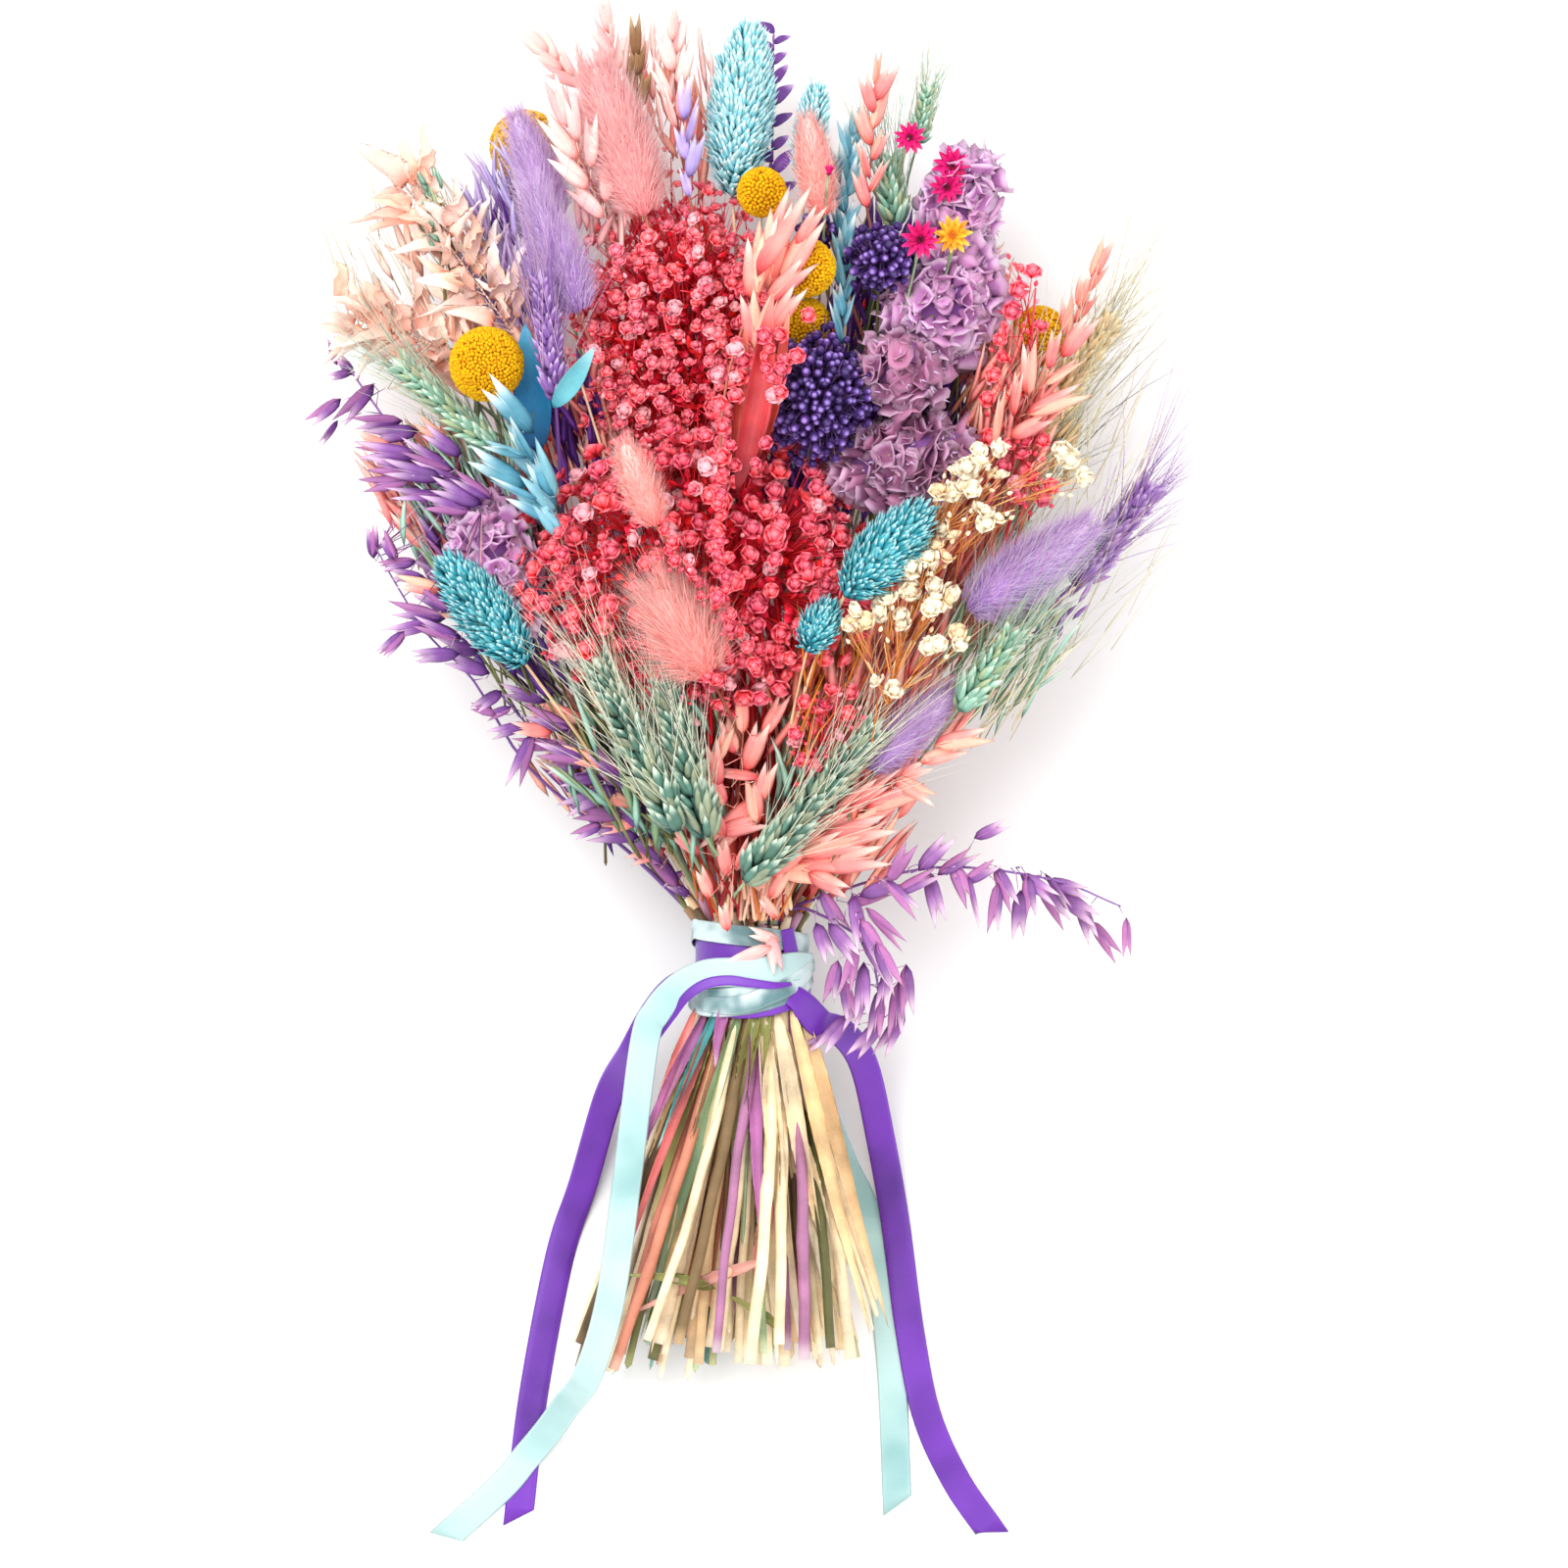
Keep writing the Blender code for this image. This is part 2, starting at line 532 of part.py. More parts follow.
def drop_folds(bm):
    """Drops pairs of faces that lie back to back on the same three points."""
    seen = {}
    for face in bm.faces:
        seen.setdefault(frozenset(vertex.index for vertex in face.verts), []).append(face)
    bmesh.ops.delete(bm, geom=[f for pair in seen.values() if len(pair) > 1 for f in pair], context="FACES")


def is_closed(bm):
    return all(len(edge.link_faces) == 2 for edge in bm.edges)


def triangulate_closed(bm):
    """Splits the faces into triangles so that no two of them share a diagonal: every edge keeps two."""
    for quads in ("BEAUTY", "FIXED", "SHORT_EDGE", "ALTERNATE", "LONG_EDGE"):
        for ngons in ("BEAUTY", "EAR_CLIP"):
            split = bm.copy()
            bmesh.ops.triangulate(split, faces=split.faces, quad_method=quads, ngon_method=ngons)
            drop_folds(split)
            if is_closed(split):
                return split
    return split


def unite(name, base, repeats, collection):
    """Joins a node's base and its repeats into one body, and lays what would sink on the table."""
    union = base.modifiers.new("union", "BOOLEAN")
    union.operation = "UNION"
    union.operand_type = "COLLECTION"
    union.collection = repeats
    for solver in ("MANIFOLD", "EXACT"):
        union.solver = solver
        graph = bpy.context.evaluated_depsgraph_get()
        mesh = bpy.data.meshes.new_from_object(base.evaluated_get(graph))
        bm = bmesh.new()
        bm.from_mesh(mesh)
        keep_largest(bm)
        for vertex in bm.verts:
            vertex.co.z = max(vertex.co.z, 0.0)
        bm = triangulate_closed(bm)
        if is_closed(bm):
            break
    bm.to_mesh(mesh)
    for piece in [base, *repeats.objects]:
        bpy.data.objects.remove(piece)
    node = bpy.data.objects.new(name, mesh)
    collection.objects.link(node)
    return node


# What stands out of the heads

def sphere_way(k, count):
    """The k-th of count directions spread evenly over a sphere, as (side, along, up)."""
    up = 1 - 2 * (k + 0.5) / count
    turn = k * math.pi * (3 - math.sqrt(5))
    flat = math.sqrt(1 - up * up)
    return flat * math.cos(turn), flat * math.sin(turn), up


def capsule(a, b, ra, rb):
    return np.array([(*a, *b, ra, rb)], float)


class Head:
    """One head being built: its place, its node's repeats, and the space that it must keep to."""

    def __init__(self, head, spine, repeats, space, rng):
        self.node, _, _, _, self.wide, self.thick, _ = head
        self.spine, self.repeats, self.space, self.rng = spine, repeats, space, rng
        self.own = Space()
        self.middle, self.way = along(spine, 0.5)
        self.side, self.up = cross_frame(self.way)
        self.long = float(np.linalg.norm(np.diff(spine, axis=0), axis=1).sum())

    def clear(self, room, outer=None):
        """Whether a repeat is clear of the other nodes, and its outer part of the head's others."""
        if self.space.gap(self.node, room) < REPEAT_CLEAR:
            return False
        if outer is not None and self.own.gap("", outer) < COPY_CLEAR:
            return False
        self.space.add(self.node, room)
        self.own.add("repeat", room if outer is None else outer)
        return True

    def on_oval(self, way, share=1.0):
        return self.middle + share * (self.side * way[0] * self.wide / 2
                                      + self.way * way[1] * self.long / 2
                                      + self.up * way[2] * self.thick / 2)

    def add_trumpet(self, root, rim, narrow, broad, sides, wave):
        """Adds a trumpet if it is clear, else a shorter one, else none."""
        for share in (1.0, 0.75):
            end, edge = root + (rim - root) * share, broad * share
            outer = capsule(root + (end - root) * 0.5, end, (narrow + edge) / 2, edge * 0.9)
            if self.clear(capsule(root, end, narrow, edge), outer):
                trumpet(self.repeats, root, end, narrow, edge, sides, wave)
                return True
        return False

    def add_blade(self, points, wide, thick, rings, roll=0.0):
        """Adds a thin leaf or husk if it is clear."""
        points = np.asarray(points, float)
        _, way = along(points, 0.5)
        side, _ = rolled(*cross_frame(way), roll)
        offsets = (-0.3, 0.0, 0.3) if wide > 3 * thick else (0.0,)
        girth = thick / 2 if len(offsets) == 3 else max(wide, thick) / 2
        room = np.vstack([
            capsule(a + side * wide * o, b + side * wide * o, girth, girth)
            for a, b in zip(points[:-1], points[1:]) for o in offsets
        ])
        if not self.clear(room):
            return False
        bulge(self.repeats, points, wide, thick, 3, rings, husk_fullness, roll=roll)
        return True


def tail_fullness(share):
    return (1 - 0.3 * share) * math.sin(math.pi * min(max(share, 0.06), 0.94)) ** 0.45 * 1.16


def even_fullness(share):
    return math.sin(math.pi * share) ** 0.5


def ball_fullness(share):
    return math.sin(math.pi * share)


def husk_fullness(share):
    return math.sin(math.pi * share ** 0.75) ** 0.8


def grow_tail(h):
    bulge(h.repeats, h.spine, h.wide, h.thick, 8, 5, tail_fullness, 0.05)


def grow_canary(h):
    bulge(h.repeats, h.spine, h.wide, h.thick, 8, 7, even_fullness, 0.1)


def grow_ball(h):
    bulge(h.repeats, h.spine, h.wide, h.thick, 8, 6, ball_fullness, 0.03)


def grow_wheat(h):
    """A head of grains in staggered rows, with a few awns."""
    bulge(h.repeats, h.spine, h.wide, h.thick, 6, 7, even_fullness, 0.16)
    for k in range(3):
        root, way = along(h.spine, 0.45 + 0.2 * k)
        lean = h.side * (0.45 if k % 2 else -0.45) + h.up * h.rng.uniform(-0.2, 0.3)
        tip = root + unit(way + lean) * (h.wide * 0.9 + 14)
        h.add_trumpet(root, tip, 0.9, 0.35, 3, 0.0)


def grow_berries(h):
    bulge(h.repeats, h.spine, h.wide * 0.78, h.thick * 0.78, 8, 6, ball_fullness)
    count = int(0.6 * (h.wide + h.long) ** 2 / 4 / BERRY ** 2)
    for k in range(count):
        at = h.on_oval(sphere_way(k, count), 0.9)
        room = capsule(at, at, BERRY, BERRY)
        if h.clear(room, room):
            bulge(h.repeats, np.array([at - h.way * BERRY, at + h.way * BERRY]),
                  2 * BERRY, 2 * BERRY, 5, 3, ball_fullness)


def grow_statice(h):
    """Papery funnels that stand out all round a small core."""
    bulge(h.repeats, h.spine, h.wide * 0.62, h.thick * 0.62, 8, 6, ball_fullness)
    count = int(0.9 * (h.wide + h.long) ** 2 / 4 / STATICE_RIM ** 2)
    for k in range(count):
        way = sphere_way(k, count)
        h.add_trumpet(h.on_oval(way, 0.4), h.on_oval(way, h.rng.uniform(0.9, 1.05)),
                      FUNNEL_ROOT, STATICE_RIM, 5, 0.25)


def grow_gyp(h):
    """Florets that stand out all round the small core of a dense lobe."""
    bulge(h.repeats, h.spine, h.wide * 0.7, h.thick * 0.4, 8, 6, ball_fullness)
    count = int(0.82 * (h.wide + h.long) ** 2 / 4 / GYP_RIM ** 2)
    for k in range(count):
        way = sphere_way(k, count)
        h.add_trumpet(h.on_oval(way, 0.45), h.on_oval(way, h.rng.uniform(0.85, 1.05)),
                      FUNNEL_ROOT, GYP_RIM, 5, 0.25)


def grow_sprig_gyp(h):
    """An open spray: a branch with florets on short side stems."""
    count = max(6, int(h.wide * h.long / 330))
    for k in range(count):
        root, _ = along(h.spine, (k + 0.5) / count * 0.9)
        turn = k * 2.4
        rim = root + h.side * math.cos(turn) * h.wide / 2 + h.up * math.sin(turn) * h.thick / 2
        rim = rim + h.way * 8
        h.add_trumpet(root, rim, 0.8, SPRAY_RIM, 4, 0.0)


def grow_oats(h):
    """Husks on both sides of a thin stalk, leaning out and forward."""
    count = max(4, int(h.long / 8))
    husk = min(17.0, 8 + h.wide * 0.35)
    for k in range(count):
        root, way = along(h.spine, 0.04 + 0.94 * k / (count - 1))
        side, up = cross_frame(way)
        swing = (1 if k % 2 else -1) * h.wide / (h.wide + 22)
        last = 0.1 if k == count - 1 else 1.0
        for lift in (h.rng.uniform(-0.15, 0.35), -0.4, 0.7):
            lean = unit(way * 0.8 + last * (side * swing * 1.3 + up * lift))
            root_in = root - lean * 0.6
            if h.add_blade([root_in, root + lean * husk], HUSK_WIDE, HUSK_THICK, 2):
                break


def grow_leaves(h):
    """Crinkled, pointed leaves that fan out from the head of the stem."""
    count = 11
    for k in range(count):
        root, way = along(h.spine, 0.1 + 0.85 * k / (count - 1))
        side, up = cross_frame(way)
        swing = (1 if k % 2 else -1) * h.rng.uniform(0.4, 1.0)
        for lift in (h.rng.uniform(-0.3, 0.5), 0.8, -0.7):
            lean = unit(way * 0.8 + side * swing + up * lift)
            bend = up * h.rng.uniform(2, 5)
            size = h.rng.uniform(0.42, 0.6) * h.wide
            leaf = [root - lean, root + lean * size * 0.5 + bend, root + lean * size]
            if h.add_blade(leaf, LEAF_WIDE, LEAF_THICK, 2, h.rng.uniform(-0.5, 0.5)):
                break


def grow_leaf(h):
    root, tip = h.spine[0], h.spine[-1]
    bulge(h.repeats, np.array([root - h.way * 2, (root + tip) / 2 + h.up * 2, tip]),
          h.wide, h.thick, 4, 5, husk_fullness)


def grow_star(h):
    """A star-shaped flower: a shallow cup whose rim has long and short points."""
    cup = h.spine[-1] + h.up * 1.0
    trumpet(h.repeats, h.spine[0], cup, 1.6, h.wide * STAR_SHARE / 2, 8, 0.3)


def grow_sprig(h):
    """Small leaves in pairs along a thin stem."""
    for k in range(9):
        root, way = along(h.spine, 0.12 + 0.86 * k / 8)
        side, up = cross_frame(way)
        lean = unit(way * 0.7 + side * (1 if k % 2 else -1) + up * 0.2)
        h.add_blade([root - lean * 0.6, root + lean * 11], 6.8, 2.0, 2)


GROW = {
    "tail": grow_tail, "canary": grow_canary, "ball": grow_ball, "wheat": grow_wheat,
    "berries": grow_berries, "statice": grow_statice, "gyp": grow_gyp, "sprig_gyp": grow_sprig_gyp,
    "oats": grow_oats, "leaves": grow_leaves, "leaf": grow_leaf, "star": grow_star,
    "sprig": grow_sprig,
}


# Stems below the tie

def foot_place(slot, share):
    """Where a stem stands at a share of the way from the tie to the feet: the fan opens sideways more
    than up, and turns a little, as a hand-tied bunch does."""
    cos, sin = math.cos(FOOT_TWIST), math.sin(FOOT_TWIST)
    x = (slot[0] * cos - slot[1] * sin) * (1 + FOOT_FAN) - FOOT_SHIFT
    z = (slot[0] * sin + slot[1] * cos) * (1 + FOOT_LIFT) + TIE_HEIGHT - FOOT_DROP
    tie = np.array([slot[0], -TIE_HALF, TIE_HEIGHT + slot[1]])
    return tie + (np.array([x, -FOOT_Y, z]) - tie) * share


def build_plants(collection, materials):
    slots, seats, space = settle(HEADS)
    nodes = list(dict.fromkeys(head[0] for head in HEADS))
    for number, node in enumerate(nodes):
        rng = np.random.default_rng(number)
        mine = [(head, seat) for head, seat in zip(HEADS, seats) if head[0] == node]
        repeats = bpy.data.collections.new("repeats")
        bpy.context.scene.collection.children.link(repeats)
        base = None
        for head, (spine, route) in mine:
            radii = route_radii(len(route))
            if head[1] in STALKED:
                onward, _ = along(spine, np.linspace(0, 1, 2 + len(spine))[1:])
                radii = np.append(radii, np.linspace(STEM_NECK, STALK_TIP, len(onward)))
            elif head[1] in ("star", "leaf"):
                onward, _ = along(spine, [0.5])
                radii = np.append(radii, STEM_NECK)
            else:
                route = route[:-1]
                onward, _ = along(spine, [0.12])
            route = np.vstack([route, onward])
            if base is None:
                below = [foot_place(slots[node], 1 - 0.1 * rng.random()), foot_place(slots[node], 0)]
                route = np.vstack([below, route])
                tilt = -math.atan2(slots[node][1], slots[node][0])
                base = tube(collection, route, np.concatenate([[STEM_FOOT, STEM_LOW], radii]), tilt)
            else:
                inside = route[0] - (0, FORK_BACK, 0)
                tube(repeats, np.vstack([inside, route]), np.concatenate([FORK_RADII, radii[1:]]))
            GROW[head[1]](Head(head, spine, repeats, space, rng))
        made = unite(node, base, repeats, collection)
        made.data.materials.append(materials[mine[0][0][2]])
        bpy.data.collections.remove(repeats)


# Ribbons

def smooth(points, count):
    """A smooth curve through hand-set points, read at even steps."""
    points = np.asarray(points, float)
    ends = np.vstack([2 * points[0] - points[1], points, 2 * points[-1] - points[-2]])
    at = np.linspace(0, len(points) - 1.0001, count)
    k, t = at.astype(int), (at % 1)[:, None]
    a, b, c, d = ends[k], ends[k + 1], ends[k + 2], ends[k + 3]
    return 0.5 * (2 * b + (c - a) * t + (2 * a - 5 * b + 4 * c - d) * t ** 2
                  + (3 * b - a - 3 * c + d) * t ** 3)


def strip(collection, centres, across, wide):
    """A thin closed strip: a flat grid laid along the centres, with Solidify."""
    count = len(centres)
    bm = bmesh.new()
    bmesh.ops.create_grid(bm, x_segments=count - 1, y_segments=1, size=0.5)
    for vertex in bm.verts:
        k = round((vertex.co.x + 0.5) * (count - 1))
        edge = 1 if vertex.co.y > 0 else -1
        vertex.co = (centres[k] + across[k] * edge * wide[k] / 2) * MM
    return thickened(as_object(bm, "strip", collection), collection)


def thickened(sheet, collection):
    """The sheet with the ribbon's thickness, as a plain mesh."""
    solid = sheet.modifiers.new("solid", "SOLIDIFY")
    solid.thickness = RIBBON_THICK * MM
    solid.offset = 0.0
    mesh = bpy.data.meshes.new_from_object(sheet.evaluated_get(bpy.context.evaluated_depsgraph_get()))
    bpy.data.objects.remove(sheet)
    bm = bmesh.new()
    bm.from_mesh(mesh)
    bmesh.ops.recalc_face_normals(bm, faces=bm.faces)
    return as_object(bm, "strip", collection)


def tail_strip(collection, route, count):
    """A loose tail: it lies against the tie where it starts, and turns its face up further on."""
    centres = smooth(route, count)
    centres[:, 2] = np.maximum(centres[:, 2], RIBBON_THICK / 2)
    ways = np.gradient(centres, axis=0)
    run = np.concatenate([[0], np.cumsum(np.linalg.norm(np.diff(centres, axis=0), axis=1))])
    near = np.exp(-(run / TURN_OVER) ** 2)[:, None]
    out = (centres - (0, 0, TIE_HEIGHT)) * (1, 0, 1)
    flat = np.array((0, 0, math.copysign(1.0, out[0, 2])))
    face = near * out / np.linalg.norm(out, axis=1, keepdims=True) + (1 - near) * flat
    across = np.cross(ways, face)
    across /= np.linalg.norm(across, axis=1, keepdims=True)
    wide = RIBBON_WIDE * (1 - 0.4 * near[:, 0])
    return strip(collection, centres, across, wide)


def turn_ring(collection):
    """The purple ribbon's turns, as one band round the stems."""
    bm = bmesh.new()
    bmesh.ops.create_cone(bm, cap_ends=False, segments=26, radius1=PURPLE_TURN_R, radius2=PURPLE_TURN_R,
                          depth=2 * TIE_HALF - TURN_SHORT)
    for vertex in bm.verts:
        x, y, z = vertex.co
        vertex.co = np.array((x, -z - TURN_SHORT / 2, y + TIE_HEIGHT)) * MM
    return thickened(as_object(bm, "ring", collection), collection)


def turn_helix(collection):
    """The aqua ribbon's turns, wound up the tie over the purple one."""
    count = int(AQUA_TURNS * 20) + 1
    turn = np.linspace(0, AQUA_TURNS * math.tau, count) + math.pi
    climb = AQUA_LOW + RIBBON_WIDE / 2 + AQUA_PITCH * (turn - turn[0]) / math.tau
    centres = np.stack([AQUA_TURN_R * np.sin(turn), climb, TIE_HEIGHT + AQUA_TURN_R * np.cos(turn)], axis=1)
    across = np.tile((0.0, 1.0, 0.0), (count, 1))
    return strip(collection, centres, across, np.full(count, RIBBON_WIDE))


def build_ribbons(collection, materials):
    for name, dye in (("ribbon_purple", "satin_purple"), ("ribbon_aqua", "satin_aqua")):
        repeats = bpy.data.collections.new("repeats")
        bpy.context.scene.collection.children.link(repeats)
        if dye == "satin_purple":
            base = turn_ring(collection)
            tail_strip(repeats, PURPLE_LEFT, 16)
            tail_strip(repeats, PURPLE_RIGHT, 16)
        else:
            base = turn_helix(collection)
            tail_strip(repeats, AQUA_LEFT, 19)
            tail_strip(repeats, AQUA_RIGHT, 11)
            long, broad, thick = KNOT_SIZE
            ends = [(KNOT[0] - long / 2, KNOT[1], KNOT[2]),
                    (KNOT[0] + long / 2, KNOT[1], KNOT[2] - KNOT_TILT)]
            bulge(repeats, np.array(ends, float), broad, thick, 8, 6, even_fullness)
        made = unite(name, base, repeats, collection)
        made.data.materials.append(materials[dye])
        bpy.data.collections.remove(repeats)


def centre_on_table(collection):
    """Moves the bouquet so that the middle of its box stands over the origin."""
    corners = np.array([v.co for piece in collection.objects for v in piece.data.vertices])
    low, high = corners.min(axis=0), corners.max(axis=0)
    middle = (low + high) / 2 * (1, 1, 0)
    for piece in collection.objects:
        for vertex in piece.data.vertices:
            vertex.co = np.array(vertex.co) - middle


def main():
    for old in list(bpy.data.objects):
        bpy.data.objects.remove(old)
    collection = bpy.data.collections.new("dried_flower_bouquet")
    bpy.context.scene.collection.children.link(collection)
    materials = {name: dye_material(name) for name in DYES}
    build_plants(collection, materials)
    build_ribbons(collection, materials)
    centre_on_table(collection)


main()
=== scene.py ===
"""Finishes a hand-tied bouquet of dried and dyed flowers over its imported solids.

Every head, stem and ribbon is a surface worked out as whole arrays. Lengths are in millimetres from
the middle of the tie until a mesh is made: +Y runs to the heads, +X to the right, +Z up.
"""

import math
from functools import partial

import bpy
import numpy as np
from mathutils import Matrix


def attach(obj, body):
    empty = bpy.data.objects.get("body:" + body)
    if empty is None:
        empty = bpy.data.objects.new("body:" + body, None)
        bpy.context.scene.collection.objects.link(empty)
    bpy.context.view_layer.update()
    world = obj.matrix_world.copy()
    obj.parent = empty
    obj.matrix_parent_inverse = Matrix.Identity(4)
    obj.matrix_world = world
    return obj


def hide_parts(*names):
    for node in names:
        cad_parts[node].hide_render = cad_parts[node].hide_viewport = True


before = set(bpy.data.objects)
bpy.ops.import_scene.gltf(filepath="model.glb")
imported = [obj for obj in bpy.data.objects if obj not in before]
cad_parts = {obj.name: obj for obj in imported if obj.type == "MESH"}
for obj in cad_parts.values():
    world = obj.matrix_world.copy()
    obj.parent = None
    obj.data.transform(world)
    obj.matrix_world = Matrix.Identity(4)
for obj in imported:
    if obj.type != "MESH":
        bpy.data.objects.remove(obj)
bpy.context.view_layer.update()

MM = 0.001
TIE_PLACE = (0.006091, -0.075448, 0.0)
FLOOR_GAP = 0.00015

# The tie and the stems
TIE_HEIGHT = 42.0
TIE_HALF = 17.0
RING_STEP = 4.8
RINGS = 4
STEM_FOOT = 2.3
STEM_LOW = 2.27
STEM_TIE = 2.05
STEM_MID = 1.15
STEM_NECK = 0.9
FOOT_Y = 165.0
FOOT_FAN = 2.1
FOOT_LIFT = 0.75
FOOT_DROP = 7.2
FOOT_SHIFT = 14.0
FOOT_TWIST = 0.3

# The dome that the heads fill
DOME_X = -5.0
DOME_Y = 185.0
DOME_WIDE = 178.0
DOME_LONG = 226.0
DOME_BASE = 42.0
DOME_RISE = 100.0
CONE_START = 66.0
CONE_SLOPE = 0.5

# How the stems spread just above the tie, and the air kept between plants
FLOW_X = 0.042
FLOW_Z = 0.018
FLOW_UP = 0.15
FLOW_MORE = 1.15
REACH_LEAST = 40.0
CLEAR = 0.45
DROP_STEP = 2.5
DROP_MOST = 60.0
SLOTS_TRIED = 12
TABLE = "table"

# Ribbon
RIBBON_WIDE = 12.0
RIBBON_THICK = 0.6
TURN_OVER = 9.0
PURPLE_TURN_R = 22.2
AQUA_TURN_R = 23.9

# Routes (x, y, z) of the loose tails, from under the knot to their cut ends on the table
PURPLE_LEFT = ((-20, -3, 52), (-27, -5, 56.5), (-34, -11, 56.5), (-41, -21, 52), (-48, -34, 43),
               (-58, -52, 21), (-69, -89, 5), (-79, -120, 0.5), (-90, -178, 0.3), (-96, -228, 0.3))
PURPLE_RIGHT = ((14.5, -9, 62), (20, -12, 60.5), (29, -22, 54), (38, -26, 46), (47, -40, 32),
                (54, -71, 12), (60, -105, 2.4), (66, -150, 1.4), (73, -185, 1.2), (85, -212, 0.4),
                (100, -234, 0.3))
AQUA_LEFT = ((25.5, 2.5, 49), (19.5, 1.8, 59.8), (8, 0.4, 67), (-6, -0.5, 68), (-18, -1.5, 66.5),
             (-29, -7, 64), (-38, -17, 61.5), (-43, -30, 59.5), (-50, -85, 58), (-57, -135, 63),
             (-66, -165, 58), (-75, -179, 25), (-84, -192, 8), (-93, -203, 2.2), (-103, -215, 1.3),
             (-126, -236, 0.3))
AQUA_RIGHT = ((-3, -8.6, 18.1), (6, -14, 15.6), (15, -26, 11), (26, -50, 5), (38, -80, 1.4),
              (51, -110, 0.3), (58, -160, 0.3), (61, -223, 0.3))

